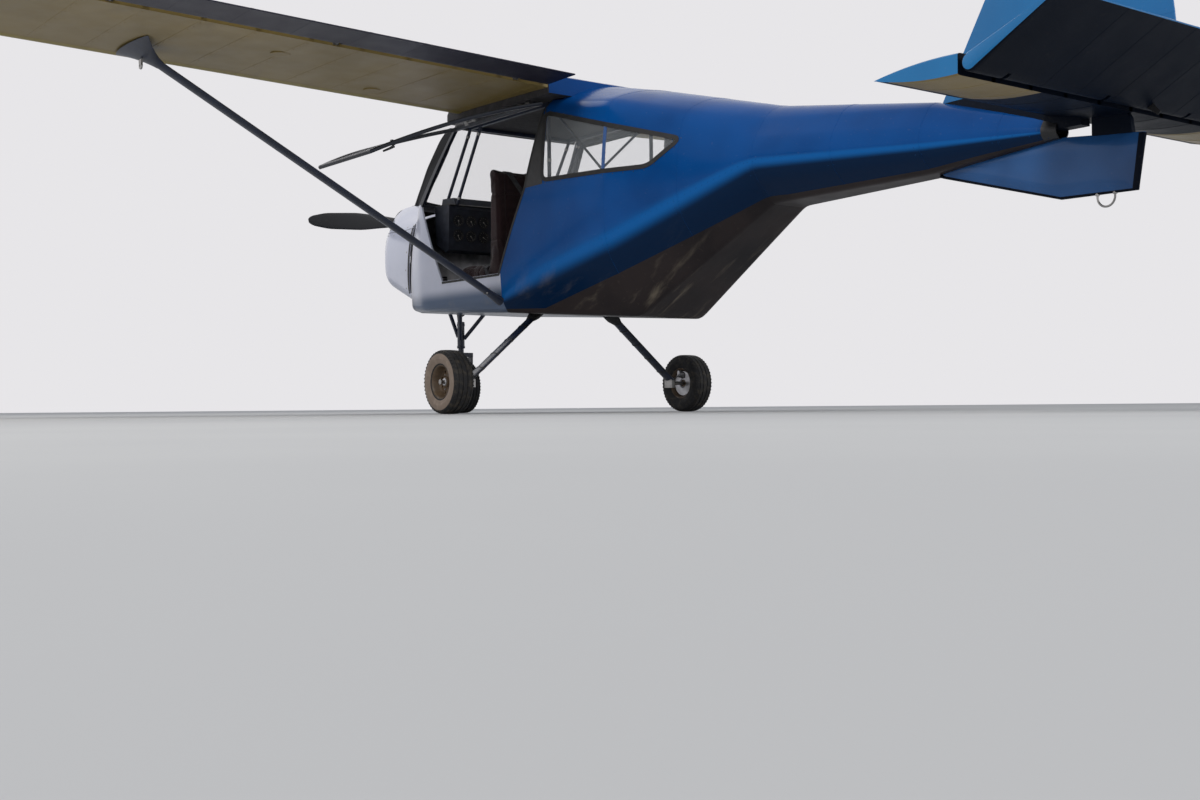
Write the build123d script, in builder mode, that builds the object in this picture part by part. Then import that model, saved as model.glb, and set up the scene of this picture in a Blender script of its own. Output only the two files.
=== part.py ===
"""Two-seat ultralight aircraft: strut-braced high wing, full-span flaperons, tricycle gear, tail boom.

Lengths are in millimetres and angles in degrees. +X points to the nose, +Y to port and +Z up.
Pieces are drawn with x = 0 over the main axle, y = 0 on the centre line and z = 0 on the ground.
keep() then moves each one so that the origin lies under the middle of the aircraft's length.
"""

import os
from math import cos, radians, sin, tan

from build123d import *

# Driving dimensions
NOSE_REACH = 2290
TAIL_REACH = 4428.5
AXLE_X = (TAIL_REACH - NOSE_REACH) / 2
HALF_SPAN = 4775
SKIN = 12

# Wing, measured along its chord line from the leading edge
WING_LE = (573, 2006)
WING_CHORD = 1406
INCIDENCE = 2.66
DIHEDRAL = 1.55
WING_ROOT_Y = 567
WING_TIP_CAP = 90
FIXED_SHARE = 0.78
ROOF_HALF = 560
ROOF_UNDERSIDE = 1905
ROOF_NOSE_X = 640

# Flaperons
FLAPERON_NOSE_R = 22
FLAPERON_CHORD = 262
FLAPERON_ROOT_Y = 590
FLAPERON_TIP_Y = 4690
FLAPERON_HINGE_BACK = 46
FLAPERON_STATIONS = (800, 1950, 3150, 4350)

# Hinge arms of every control surface
ARM_THICK = 8
ARM_BOSS_R = 11
SLOT_WIDTH = 22
SLOT_BACK = 18
PIN_R = 4
PIN_PLAY = 0.05
EDGE_HALF = 3

# Cabin and doors
CABIN_FRONT_X = 980
FIREWALL_X = 1200
FIREWALL_THICK = 12
SILL_Z = 875
DOOR_GAP = 8
DOOR_THICK = 24
DOOR_FRAME = 34
PANE_THICK = 5
DOOR_OPEN = 67
HINGE_Y = 515
HINGE_Z = 1892
KNUCKLE_R = 9
KNUCKLE_LENGTH = 44
KNUCKLE_REACH = 1.5 * KNUCKLE_LENGTH + 8
KNUCKLE_CLEAR = 5
HINGE_STATIONS = (420, -190)
GLASS_THICK = 6
SCUTTLE_Z = 1418

# Tail
BOOM_WALL = 8
BOOM_END_X = -3645
STABILISER_Z = 1300
STABILISER_HALF_SPAN = 1150
STABILISER_LE_X = -3577
STABILISER_LE_RISE = 14
STABILISER_REAR_X = -3993
STABILISER_HALF_THICK = 42
ELEVATOR_HINGE_X = -4042
ELEVATOR_NOSE_R = 38
ELEVATOR_CHORD = 425
ELEVATOR_UP = 25
ELEVATOR_STATIONS = (300, 950)
FIN_POST_X = -3762
FIN_TOP_Z = 2370
RUDDER_HINGE_X = -3800
RUDDER_FOOT_Z = 1400
RUDDER_FOOT_RISE = 75
RUDDER_STATIONS = (1600, 2150)

# Wheels and gear
WHEEL_R = 195
HALF_TRACK = 950
TYRE_WIDTH = 145
RIM_R = 106
AXLE_R = 12
NOSE_WHEEL_X = 1400
NOSE_WHEEL_R = 190
NOSE_TYRE_WIDTH = 118
NOSE_AXLE_R = 9
STEM_R = 20
RIM_SHARE = 0.40
RIM_THICK = 14
WEB_HALF = 8
HUB_WALL = 12
HUB_HALF = 28
TYRE_SHOULDER = 16
BAR_R = 14

# Propeller
SHAFT_Z = 1467
HUB_X = 2085
PROP_R = 850
BLADES = 3
BLADE_START = -3.4
HUB_R = 105
HUB_LENGTH = 84
SHAFT_R = 26

# Struts
STRUT_FOOT = (43, 535, 702)
STRUT_TOP = (213, 2860, 2045)
STRUT_CHORD = 92
STRUT_THICK = 34
TIEDOWN_R = 7
LUG_R = 20

os.makedirs("parts", exist_ok=True)


def keep(piece, name):
    """Moves a finished piece into the aircraft's frame, labels it and writes its file."""
    placed = piece.part.moved(Location((AXLE_X, 0, 0)))
    placed.label = name
    export_step(placed, f"parts/{name}.step")


def other_side(piece):
    """The starboard twin of a port piece."""
    with BuildPart() as twin:
        mirror(piece.part, about=Plane.XZ)
    return twin


def side_slab(points, y_low, y_high):
    """A slab whose outline is drawn in side view as (x, z), between two values of y."""
    with BuildPart() as slab:
        with BuildSketch(Plane.XZ.offset(-y_high)):
            with BuildLine():
                Polyline(*points, close=True)
            make_face()
        extrude(amount=y_high - y_low)
    return slab.part


def block(x_range, y_range, z_range):
    """A plain box between the given limits."""
    (x_low, x_high), (z_low, z_high) = x_range, z_range
    points = [(x_low, z_low), (x_high, z_low), (x_high, z_high), (x_low, z_high)]
    return side_slab(points, *y_range)


def rod(start, end, radius):
    """A round bar between two points."""
    run = Vector(end) - Vector(start)
    with BuildPart() as bar:
        with BuildSketch(Plane(origin=start, z_dir=run)):
            Circle(radius)
        extrude(amount=run.length)
    return bar.part


def lens(length, thick):
    """A faired bar's section: two arcs that meet at a leading and a trailing edge, along local X."""
    with BuildSketch() as outline:
        with BuildLine():
            ThreePointArc((-length / 2, 0), (0, thick / 2), (length / 2, 0))
            ThreePointArc((length / 2, 0), (0, -thick / 2), (-length / 2, 0))
        make_face()
    return outline.sketch


def faired_bar(start, end, chord, thick):
    """A lens-shaped bar between two points, its chord as near to X as the run allows."""
    run = Vector(*end) - Vector(*start)
    across = Vector(1, 0, 0) - run * (run.X / run.length**2)
    section = Plane(origin=start, x_dir=across, z_dir=run) * lens(chord, thick)
    with BuildPart() as bar:
        extrude(section, amount=run.length)
    return bar.part


# Sections of the fuselage skin. Columns: station x, belly z, belly half-width, crease z, crease half-width,
# side half-width at mid height, shoulder z, shoulder half-width, top z.
NOSE_END = (FIREWALL_X, 700, 430, 720, 505, 512, 1330, 470, 1425)
CABIN_FRONT = (CABIN_FRONT_X, 690, 500, 705, 560, 578, 1905, 505, 2130)
CABIN_REAR = (0, 630, 520, 705, 560, 578, 1905, 505, 2130)
BELLY_REAR = (-970, 560, 240, 935, 500, 508, 1790, 465, 1902)
RAMP_TOP = (-1960, 1110, 120, 1250, 285, 288, 1500, 225, 1640)
BOOM_MID = (-2970, 1130, 70, 1215, 170, 170, 1395, 130, 1480)
BOOM_END = (BOOM_END_X, 1200, 22, 1220, 45, 46, 1262, 36, 1283)


CREASE_ROUND = 100
CORNER_SHARE = 0.4


def body_section(row, wall=0):
    """The skin's closed outline at one station, inside it by the wall's thickness, with its creases rounded."""
    x, belly_z, belly_half, crease_z, crease_half, side_half, shoulder_z, shoulder_half, top_z = row
    low = belly_z + wall
    crease = crease_z + wall / 2
    shoulder = shoulder_z - wall / 2
    top = top_z - wall
    halves = [half - wall for half in (belly_half, crease_half, side_half, shoulder_half)]
    foot, edge, side, upper = halves
    ramp = Line((foot, low), (edge, crease))
    flank = ThreePointArc((edge, crease), (side, (crease + shoulder) / 2), (upper, shoulder))
    cut_back = min(CREASE_ROUND, CORNER_SHARE * ramp.length, CORNER_SHARE * flank.length)
    ramp_end = ramp @ (1 - cut_back / ramp.length)
    flank_foot = flank @ (cut_back / flank.length)
    flank_middle = flank @ 0.5
    slope = ramp % 1
    with BuildSketch(Plane.YZ.offset(x)) as outline:
        with BuildLine():
            Line((-foot, low), (foot, low))
            for hand in (1, -1):
                turn_from, turn_to, via = [(hand * p.X, p.Y) for p in (ramp_end, flank_foot, flank_middle)]
                Line((hand * foot, low), turn_from)
                TangentArc(turn_from, turn_to, tangent=(hand * slope.X, slope.Y))
                ThreePointArc(turn_to, via, (hand * upper, shoulder))
            ThreePointArc((upper, shoulder), (0, top), (-upper, shoulder))
        make_face()
    return outline.sketch


def skin_run(rows, wall=0):
    """The solid between neighbouring sections, made one run at a time."""
    sections = [body_section(row, wall) for row in rows]
    with BuildPart() as body:
        for front, rear in zip(sections, sections[1:]):
            loft([front, rear], ruled=True)
    return body.part


def between(front, rear, x):
    """The row of a section at station x on the straight run between two rows."""
    share = (x - front[0]) / (rear[0] - front[0])
    return tuple(a + share * (b - a) for a, b in zip(front, rear))


# Fuselage skins
BELOW = 400
ABOVE = 2400
WIDE = 1200
DOOR_REAR_EDGE = ((8, SILL_Z), (-243, 1360), (-383, ROOF_UNDERSIDE))
cabin_outer = skin_run([NOSE_END, CABIN_FRONT, CABIN_REAR])
cabin_inner = skin_run([NOSE_END, CABIN_FRONT, CABIN_REAR], SKIN)
rear_rows = [CABIN_REAR, BELLY_REAR, RAMP_TOP]
cavity_end = between(BELLY_REAR, RAMP_TOP, -1900)
rear_outer = skin_run(rear_rows)
rear_inner = skin_run([CABIN_REAR, BELLY_REAR, cavity_end], SKIN)

tub_cut = side_slab(
    [(-10, SILL_Z), (702, SILL_Z), (968, 1402), (CABIN_FRONT_X, SCUTTLE_Z), (FIREWALL_X + 10, SCUTTLE_Z + 12),
     (FIREWALL_X + 10, ABOVE), (-10, ABOVE)],
    -WIDE, WIDE,
)
scuttle_outline = side_slab(
    [(CABIN_FRONT_X - 8, SCUTTLE_Z - 14), (FIREWALL_X, SCUTTLE_Z - 14), (FIREWALL_X, SCUTTLE_Z),
     (CABIN_FRONT_X - 8, SCUTTLE_Z)],
    -WIDE, WIDE,
)
with BuildPart() as scuttle:
    add(scuttle_outline)
    add(cabin_outer, mode=Mode.INTERSECT)
with BuildPart() as cabin_tub:
    add(cabin_outer)
    add(cabin_inner, mode=Mode.SUBTRACT)
    add(tub_cut, mode=Mode.SUBTRACT)
    add(scuttle.part)
keep(cabin_tub, "cabin_tub")

nose_end_face = body_section(NOSE_END)
with BuildPart() as firewall:
    extrude(nose_end_face, amount=FIREWALL_THICK)
    add(block((FIREWALL_X - 10, FIREWALL_X + 30), (-WIDE, WIDE), (SCUTTLE_Z, ABOVE)), mode=Mode.SUBTRACT)
keep(firewall, "firewall")

door_rear_cut = side_slab(
    [(20, SILL_Z), *DOOR_REAR_EDGE, (-383, ROOF_UNDERSIDE + 1), (20, ROOF_UNDERSIDE + 1)], -WIDE, WIDE
)
roof_cut = block((WING_LE[0] - WING_CHORD * FIXED_SHARE, 20), (-WIDE, WIDE), (ROOF_UNDERSIDE, ABOVE))
window_hole = side_slab([(-400, 1815), (-420, 1400), (-1290, 1372), (-1500, 1500)], -WIDE, WIDE)
with BuildPart() as rear_fuselage:
    add(rear_outer)
    add(rear_inner, mode=Mode.SUBTRACT)
    add(door_rear_cut, mode=Mode.SUBTRACT)
    add(roof_cut, mode=Mode.SUBTRACT)
    add(window_hole, mode=Mode.SUBTRACT)
keep(rear_fuselage, "rear_fuselage")

with BuildPart() as glass_band:
    add(rear_outer)
    add(skin_run([CABIN_REAR, BELLY_REAR, cavity_end], GLASS_THICK), mode=Mode.SUBTRACT)
    add(window_hole, mode=Mode.INTERSECT)
with BuildPart() as rear_window:
    add(glass_band.part)
    add(block((-2000, 100), (-WIDE, 0), (BELOW, ABOVE)), mode=Mode.SUBTRACT)
keep(rear_window, "rear_window_port")
keep(other_side(rear_window), "rear_window_starboard")

boom_rows = [RAMP_TOP, BOOM_MID, BOOM_END]
boom_outer = skin_run(boom_rows)
boom_core = skin_run([RAMP_TOP, BOOM_MID, between(BOOM_MID, BOOM_END, -3480)], BOOM_WALL)
with BuildPart() as tail_boom:
    add(boom_outer)
    add(boom_core, mode=Mode.SUBTRACT)
keep(tail_boom, "tail_boom")


# Wing
def wing_point(share, height, y=WING_ROOT_Y):
    """(x, z) of a point given in shares of the chord, at spanwise place y."""
    turn = radians(INCIDENCE)
    back, up = share * WING_CHORD, height * WING_CHORD
    lift = (y - WING_ROOT_Y) * tan(radians(DIHEDRAL))
    return (
        WING_LE[0] - back * cos(turn) + up * sin(turn),
        WING_LE[1] - back * sin(turn) - up * -cos(turn) + lift,
    )


def wing_section(y, chord_share=1.0, thick_share=1.0):
    """The fixed wing's outline at y: nose, top in two arcs, rear face, flat bottom."""
    def at(share, height):
        about = 0.4
        return wing_point(about + (share - about) * chord_share, height * thick_share, y)

    with BuildSketch(Plane.XZ.offset(-y)) as outline:
        with BuildLine():
            ThreePointArc(at(0.09, -0.032), at(0.018, -0.019), at(0, 0.006))
            ThreePointArc(at(0, 0.006), at(0.08, 0.075), at(0.30, 0.112))
            ThreePointArc(at(0.30, 0.112), at(0.55, 0.092), at(FIXED_SHARE, 0.040))
            Line(at(FIXED_SHARE, 0.040), at(FIXED_SHARE, -0.014))
            Line(at(FIXED_SHARE, -0.014), at(0.09, -0.032))
        make_face()
    return outline.sketch


hinge_share = FIXED_SHARE + FLAPERON_HINGE_BACK / WING_CHORD
SPAN_DIR = Vector(0, cos(radians(DIHEDRAL)), sin(radians(DIHEDRAL)))
FLAPERON_AXIS_HEIGHT = 0.006


def flaperon_axis(y):
    """(x, z) of the flaperon's hinge line at y."""
    return wing_point(hinge_share, FLAPERON_AXIS_HEIGHT, y)


def hinge_arm(origin, span_dir, tail):
    """A hinge plate across its axis: a tail, drawn as (x, height) from the axis, with a round boss."""
    plane = Plane(origin=origin, x_dir=(1, 0, 0), z_dir=span_dir)
    with BuildPart() as plate:
        with BuildSketch(plane.offset(-ARM_THICK / 2)):
            with BuildLine():
                Polyline(*tail, close=True)
            make_face()
            Circle(ARM_BOSS_R)
            Circle(PIN_R + PIN_PLAY, mode=Mode.SUBTRACT)
        extrude(amount=ARM_THICK)
    return plate.part


def flaperon_arm(y):
    """One of the plates that carry the flaperon behind the wing."""
    ax, az = flaperon_axis(y)
    face_top = wing_point(FIXED_SHARE, 0.030, y)
    face_low = wing_point(FIXED_SHARE, -0.010, y)
    tail = [(face_top[0] - ax + 4, face_top[1] - az), (6, 9), (6, -9), (face_low[0] - ax + 4, face_low[1] - az)]
    return hinge_arm((ax, y, az), -SPAN_DIR, tail)


flaperon_arms = [flaperon_arm(y) for y in FLAPERON_STATIONS]
with BuildPart() as wing_port:
    loft([wing_section(WING_ROOT_Y), wing_section(HALF_SPAN - WING_TIP_CAP)], ruled=True)
    loft([wing_section(HALF_SPAN - WING_TIP_CAP), wing_section(HALF_SPAN, 0.86, 0.42)], ruled=True)
    for arm in flaperon_arms:
        add(arm)
keep(wing_port, "wing_port")
keep(other_side(wing_port), "wing_starboard")


def surface_profile(plane, nose_r, chord, edge_half=EDGE_HALF):
    """A control surface's section: round nose on the hinge line, straight sides to a thin edge."""
    with BuildSketch(plane) as outline:
        with BuildLine():
            ThreePointArc((0, -nose_r), (nose_r, 0), (0, nose_r))
            Line((0, nose_r), (-chord, edge_half))
            Line((-chord, edge_half), (-chord, -edge_half))
            Line((-chord, -edge_half), (0, -nose_r))
        make_face()
    return outline.sketch


def flaperon_plane(y):
    """The flaperon's section plane at y, its X along the chord towards the nose."""
    ax, az = flaperon_axis(y)
    along = Vector(cos(radians(INCIDENCE)), 0, sin(radians(INCIDENCE)))
    return Plane(origin=(ax, y, az), x_dir=along, z_dir=(0, -1, 0))


def hinge_slot(origin, forward, span_dir, nose_r):
    """The gap that a hinge arm stands in, with its pin across it."""
    plane = Plane(origin=origin, x_dir=forward, z_dir=span_dir)
    with BuildPart() as gap:
        with BuildSketch(plane.offset(-SLOT_WIDTH / 2)):
            with Locations(((nose_r + 10 - SLOT_BACK) / 2, 0)):
                Rectangle(nose_r + 10 + SLOT_BACK, 2 * nose_r + 20)
        extrude(amount=SLOT_WIDTH)
        with BuildSketch(plane.offset(-SLOT_WIDTH)):
            Circle(PIN_R)
        extrude(amount=2 * SLOT_WIDTH, mode=Mode.SUBTRACT)
    return gap.part


chord_dir = Vector(cos(radians(INCIDENCE)), 0, sin(radians(INCIDENCE)))
slot_forward = chord_dir - SPAN_DIR * chord_dir.dot(SPAN_DIR)
flaperon_slots = []
for y in FLAPERON_STATIONS:
    ax, az = flaperon_axis(y)
    flaperon_slots.append(hinge_slot((ax, y, az), slot_forward, SPAN_DIR, FLAPERON_NOSE_R))
with BuildPart() as flaperon_port:
    loft(
        [
            surface_profile(flaperon_plane(y), FLAPERON_NOSE_R, FLAPERON_CHORD)
            for y in (FLAPERON_ROOT_Y, FLAPERON_TIP_Y)
        ],
        ruled=True,
    )
    for slot in flaperon_slots:
        add(slot, mode=Mode.SUBTRACT)
keep(flaperon_port, "flaperon_port")
keep(other_side(flaperon_port), "flaperon_starboard")

# Roof between the wings, with the knuckles that carry the doors
with BuildPart() as roof_knuckles:
    for x in HINGE_STATIONS:
        for step in (-1, 1):
            middle = x + step * (KNUCKLE_LENGTH + 2)
            with BuildSketch(Plane.YZ.offset(middle - KNUCKLE_LENGTH / 2)):
                with Locations((HINGE_Y, HINGE_Z)):
                    Circle(KNUCKLE_R)
                with Locations((HINGE_Y, (HINGE_Z + ROOF_UNDERSIDE + 1) / 2)):
                    Rectangle(2 * KNUCKLE_R, ROOF_UNDERSIDE + 1 - HINGE_Z)
            extrude(amount=KNUCKLE_LENGTH)
        with BuildSketch(Plane.YZ.offset(x - KNUCKLE_LENGTH)):
            with Locations((HINGE_Y, HINGE_Z)):
                Circle(PIN_R)
        extrude(amount=2 * KNUCKLE_LENGTH)
starboard_knuckles = other_side(roof_knuckles)
ROOF_REAR_X = wing_point(FIXED_SHARE, 0)[0]
with BuildPart() as roof:
    with BuildSketch(Plane.XZ.offset(-ROOF_HALF)):
        with BuildLine():
            rear_low = (ROOF_REAR_X, ROOF_UNDERSIDE)
            crest = wing_point(0.30, 0.112)
            nose = (ROOF_NOSE_X, WING_LE[1] - 40)
            Line(rear_low, (ROOF_NOSE_X - 12, ROOF_UNDERSIDE))
            Line((ROOF_NOSE_X - 12, ROOF_UNDERSIDE), nose)
            ThreePointArc(nose, wing_point(0.07, 0.072), crest)
            ThreePointArc(crest, wing_point(0.55, 0.092), wing_point(FIXED_SHARE, 0.040))
            Line(wing_point(FIXED_SHARE, 0.040), rear_low)
        make_face()
    extrude(amount=2 * ROOF_HALF)
    add(roof_knuckles.part)
    add(starboard_knuckles.part)
keep(roof, "roof")

# Windscreen, a single curved sheet between the scuttle and the roof's nose
SCREEN_FOOT = (CABIN_FRONT_X + 12, 566, FIREWALL_X - 12)
SCREEN_HEAD = (ROOF_NOSE_X - 20, 504, ROOF_NOSE_X - 14)


def screen_section(z, edge_x, half, middle_x):
    """The sheet's outline in plan at height z: two arcs a glass thickness apart."""
    with BuildSketch(Plane.XY.offset(z)) as outline:
        with BuildLine():
            ThreePointArc((edge_x, -half), (middle_x, 0), (edge_x, half))
            Line((edge_x, half), (edge_x - GLASS_THICK, half - 4))
            inner_x, inner_half = edge_x - GLASS_THICK, half - 4
            ThreePointArc((inner_x, inner_half), (middle_x - GLASS_THICK, 0), (inner_x, -inner_half))
            Line((edge_x - GLASS_THICK, 4 - half), (edge_x, -half))
        make_face()
    return outline.sketch


with BuildPart() as windscreen:
    foot_edge, foot_half, foot_middle = SCREEN_FOOT
    head_edge, head_half, head_middle = SCREEN_HEAD
    loft(
        [
            screen_section(SCUTTLE_Z, foot_edge, foot_half, foot_middle),
            screen_section(ROOF_UNDERSIDE, head_edge, head_half, head_middle),
        ],
        ruled=True,
    )
    add(cabin_tub.part, mode=Mode.SUBTRACT)
keep(windscreen, "windscreen")

# Doors, drawn closed: a curved panel cut to the opening's outline in side view
DOOR_OUTLINE = [
    (8 + DOOR_GAP, SILL_Z + DOOR_GAP),
    (702 - DOOR_GAP, SILL_Z + DOOR_GAP),
    (952, 1402),
    (592, ROOF_UNDERSIDE - DOOR_GAP),
    (-383 + DOOR_GAP, ROOF_UNDERSIDE - DOOR_GAP),
    (-243 + DOOR_GAP, 1360),
]


def side_band(depth_from, depth_to):
    """The curved sheet of the cabin's side between two depths under its outer face."""
    _, _, _, crease_z, crease_half, side_half, shoulder_z, shoulder_half, _ = CABIN_REAR
    middle = (crease_z + shoulder_z) / 2
    with BuildPart() as band:
        with BuildSketch(Plane.YZ.offset(-420)):
            with BuildLine():
                outer = ThreePointArc(
                    (crease_half - depth_from, crease_z),
                    (side_half - depth_from, middle),
                    (shoulder_half - depth_from, shoulder_z),
                )
                inner = ThreePointArc(
                    (crease_half - depth_to, crease_z),
                    (side_half - depth_to, middle),
                    (shoulder_half - depth_to, shoulder_z),
                )
                Line(outer @ 0, inner @ 0)
                Line(outer @ 1, inner @ 1)
            make_face()
        extrude(amount=1450)
    return band.part


def inset_outline(points, amount):
    """A closed outline in side view, drawn inside the given one by the amount."""
    with BuildSketch(Plane.XZ.offset(-WIDE)) as outline:
        with BuildLine():
            Polyline(*points, close=True)
        make_face()
        if amount:
            offset(amount=-amount, kind=Kind.INTERSECTION, mode=Mode.REPLACE)
    with BuildPart() as slab:
        extrude(outline.sketch, amount=WIDE)
    return slab.part


door_whole = inset_outline(DOOR_OUTLINE, 0)
door_hole = inset_outline(DOOR_OUTLINE, DOOR_FRAME)
door_band = side_band(0, DOOR_THICK)
pane_band = side_band(6, 6 + PANE_THICK)
with BuildPart() as door_frame:
    add(door_band)
    add(door_whole, mode=Mode.INTERSECT)
    add(door_hole, mode=Mode.SUBTRACT)
    for x in HINGE_STATIONS:
        with BuildSketch(Plane.YZ.offset(x - KNUCKLE_REACH)):
            with Locations((HINGE_Y, HINGE_Z)):
                Circle(KNUCKLE_R + KNUCKLE_CLEAR)
        extrude(amount=2 * KNUCKLE_REACH, mode=Mode.SUBTRACT)
        with BuildSketch(Plane.YZ.offset(x - KNUCKLE_LENGTH / 2)):
            with Locations((HINGE_Y, HINGE_Z)):
                Circle(KNUCKLE_R)
            with Locations((HINGE_Y - 10, HINGE_Z - 16)):
                Rectangle(16, 26)
        extrude(amount=KNUCKLE_LENGTH)
        with BuildSketch(Plane.YZ.offset(x - KNUCKLE_LENGTH)):
            with Locations((HINGE_Y, HINGE_Z)):
                Circle(PIN_R + PIN_PLAY)
        extrude(amount=2 * KNUCKLE_LENGTH, mode=Mode.SUBTRACT)
with BuildPart() as door_pane:
    add(pane_band)
    add(door_hole, mode=Mode.INTERSECT)
HINGE_LINE = Axis((0, HINGE_Y, HINGE_Z), (1, 0, 0))
with BuildPart() as open_frame:
    add(door_frame.part.rotate(HINGE_LINE, DOOR_OPEN))
with BuildPart() as open_pane:
    add(door_pane.part.rotate(HINGE_LINE, DOOR_OPEN))
keep(open_frame, "door_frame_port")
keep(open_pane, "door_pane_port")
keep(other_side(door_frame), "door_frame_starboard")
keep(other_side(door_pane), "door_pane_starboard")

# Windscreen pillars, strips of the cabin's side between the screen and the door
pillar_slab = side_slab(
    [(961, 1402), (968, 1402), (CABIN_FRONT_X - 8, 1408), (CABIN_FRONT_X - 8, SCUTTLE_Z),
     (CABIN_FRONT_X + 18, SCUTTLE_Z + 1), (ROOF_NOSE_X - 12, ROOF_UNDERSIDE), (600, ROOF_UNDERSIDE)],
    0, WIDE,
)
with BuildPart() as pillar:
    add(side_band(0, DOOR_THICK))
    add(pillar_slab, mode=Mode.INTERSECT)
    add(windscreen.part, mode=Mode.SUBTRACT)
keep(pillar, "screen_pillar_port")
keep(other_side(pillar), "screen_pillar_starboard")

# Instrument panel with its hood
PANEL_HALF = 468
panel_outline = [
    (790, 1100), (830, 1085), (950, 1150),
    (CABIN_FRONT_X - 16, SCUTTLE_Z - 14), (800, SCUTTLE_Z - 14), (776, 1390),
]
with BuildPart() as instrument_panel:
    add(side_slab(panel_outline, -PANEL_HALF, PANEL_HALF))
    add(side_slab([(765, 1380), (960, 1400), (940, 1462), (800, 1455)], 60, 420))
keep(instrument_panel, "instrument_panel")

# Cabin frame: square rails under the roof, with round pillars, braces and posts between them
RAIL = 24
RAIL_Y = 404
RAIL_X = (-312, ROOF_NOSE_X - 40)
PILLAR_R = 11
POST_R = 12
DIAGONAL_R = 8
POST_X = -300
POST_FOOT_Z = 622
CROSS_Z = 1180
rail_zs = (ROOF_UNDERSIDE - RAIL, ROOF_UNDERSIDE)
rail_middle = ROOF_UNDERSIDE - RAIL / 2
with BuildPart() as cabin_frame:
    for x in RAIL_X:
        add(block((x - RAIL / 2, x + RAIL / 2), (-RAIL_Y, RAIL_Y), rail_zs))
    for side in (1, -1):
        y = side * RAIL_Y
        add(block(RAIL_X, (y - RAIL / 2, y + RAIL / 2), rail_zs))
        add(rod((POST_X, y, POST_FOOT_Z), (POST_X, y, rail_middle), POST_R))
        add(rod((CABIN_FRONT_X - 40, y, SCUTTLE_Z - 30), (RAIL_X[1], y, rail_middle), PILLAR_R))
        add(rod((CABIN_FRONT_X - 190, y, SCUTTLE_Z - 30), (RAIL_X[1] - 130, y, rail_middle), PILLAR_R))
        add(rod((POST_X, y, CROSS_Z), (POST_X, -y, rail_middle), DIAGONAL_R))
    add(rod((POST_X, -RAIL_Y, CROSS_Z), (POST_X, RAIL_Y, CROSS_Z), DIAGONAL_R + 1))
    add(instrument_panel.part, mode=Mode.SUBTRACT)
keep(cabin_frame, "cabin_frame")

# Seats on a common pan that stands on the floor
SEAT_YS = (240, -240)
SEAT_HALF = 215
PAN_X = (70, 700)


def floor_z(x):
    """Height of the tub's floor inside at station x."""
    slope = (CABIN_FRONT[1] - CABIN_REAR[1]) / CABIN_FRONT_X
    return CABIN_REAR[1] + SKIN + slope * x


with BuildPart() as seat_pan:
    pan_foot = [(x, floor_z(x)) for x in PAN_X]
    pan_outline = [*pan_foot, (690, 884), (180, 862), (130, 862)]
    pan_hollow = [(PAN_X[0] + 26, 650), (674, 690), (668, 870), (178, 850), (142, 850)]
    add(side_slab(pan_outline, -470, 470))
    add(side_slab(pan_hollow, -458, 458), mode=Mode.SUBTRACT)
keep(seat_pan, "seat_pan")
base_outline = [(372, 874), (684, 888), (688, 982), (372, 960)]
back_outline = [(180, 866), (368, 874), (352, 1000), (336, 1590), (258, 1598), (240, 1100)]
for label, seat_y in zip(("port", "starboard"), SEAT_YS):
    with BuildPart() as seat_base:
        add(side_slab(base_outline, seat_y - SEAT_HALF, seat_y + SEAT_HALF))
    keep(seat_base, f"seat_base_{label}")
    with BuildPart() as seat_back:
        add(side_slab(back_outline, seat_y - SEAT_HALF, seat_y + SEAT_HALF))
    keep(seat_back, f"seat_back_{label}")

# Control stick between the seats, with its grip
with BuildPart() as control_stick:
    add(block((705, 785), (-36, 36), (floor_z(785) - 2, 730)))
    add(rod((745, 0, 725), (735, 0, 1010), 10))
    add(rod((735, 0, 1000), (730, 0, 1075), 17))
    add(cabin_tub.part, mode=Mode.SUBTRACT)
keep(control_stick, "control_stick")

# Rudder pedals, a bar and two pads a side, joined by their cross shaft
with BuildPart() as rudder_pedals:
    add(rod((1040, -400, 745), (1040, 400, 745), 11))
    for y in (400, -400):
        add(block((1025, 1055), (y - 8, y + 8), (700, 755)))
    for y in (340, 160, -160, -340):
        add(rod((1040, y, 745), (1075, y, 900), 9))
        add(side_slab([(1062, 850), (1074, 848), (1098, 950), (1086, 953)], y - 38, y + 38))
    add(cabin_tub.part, mode=Mode.SUBTRACT)
keep(rudder_pedals, "rudder_pedals")

# Cowling: columns as for the fuselage sections
COWL_REAR_X = FIREWALL_X + FIREWALL_THICK
COWL_REAR = (COWL_REAR_X, 735, 400, 790, 500, 508, 1330, 465, 1430)
COWL_MID = (1800, 890, 250, 960, 385, 395, 1370, 345, 1545)
COWL_NOSE = (2045, 1040, 150, 1110, 250, 262, 1420, 205, 1582)
cowl_rows = [COWL_REAR, COWL_MID, COWL_NOSE]
cowl_outer = skin_run(cowl_rows)
cowl_core = skin_run([COWL_REAR, COWL_MID, between(COWL_MID, COWL_NOSE, 2045 - SKIN)], SKIN)
SLOT_LENGTH = 68
SLOT_Z = (840, 1345)
NOTCH_HALF = 36
NOTCH_TOP = 780
REAR_BAR_FOOT = Vector(NOSE_WHEEL_X, 0, 520)
REAR_BAR_HEADS = [Vector(COWL_REAR_X, side * 120, 752) for side in (1, -1)]
slot_box = block((COWL_REAR_X, COWL_REAR_X + SLOT_LENGTH), (-WIDE, WIDE), SLOT_Z)
nose_leg_hole = block((1440, 1760), (-150, 150), (BELOW, 930))
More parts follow.
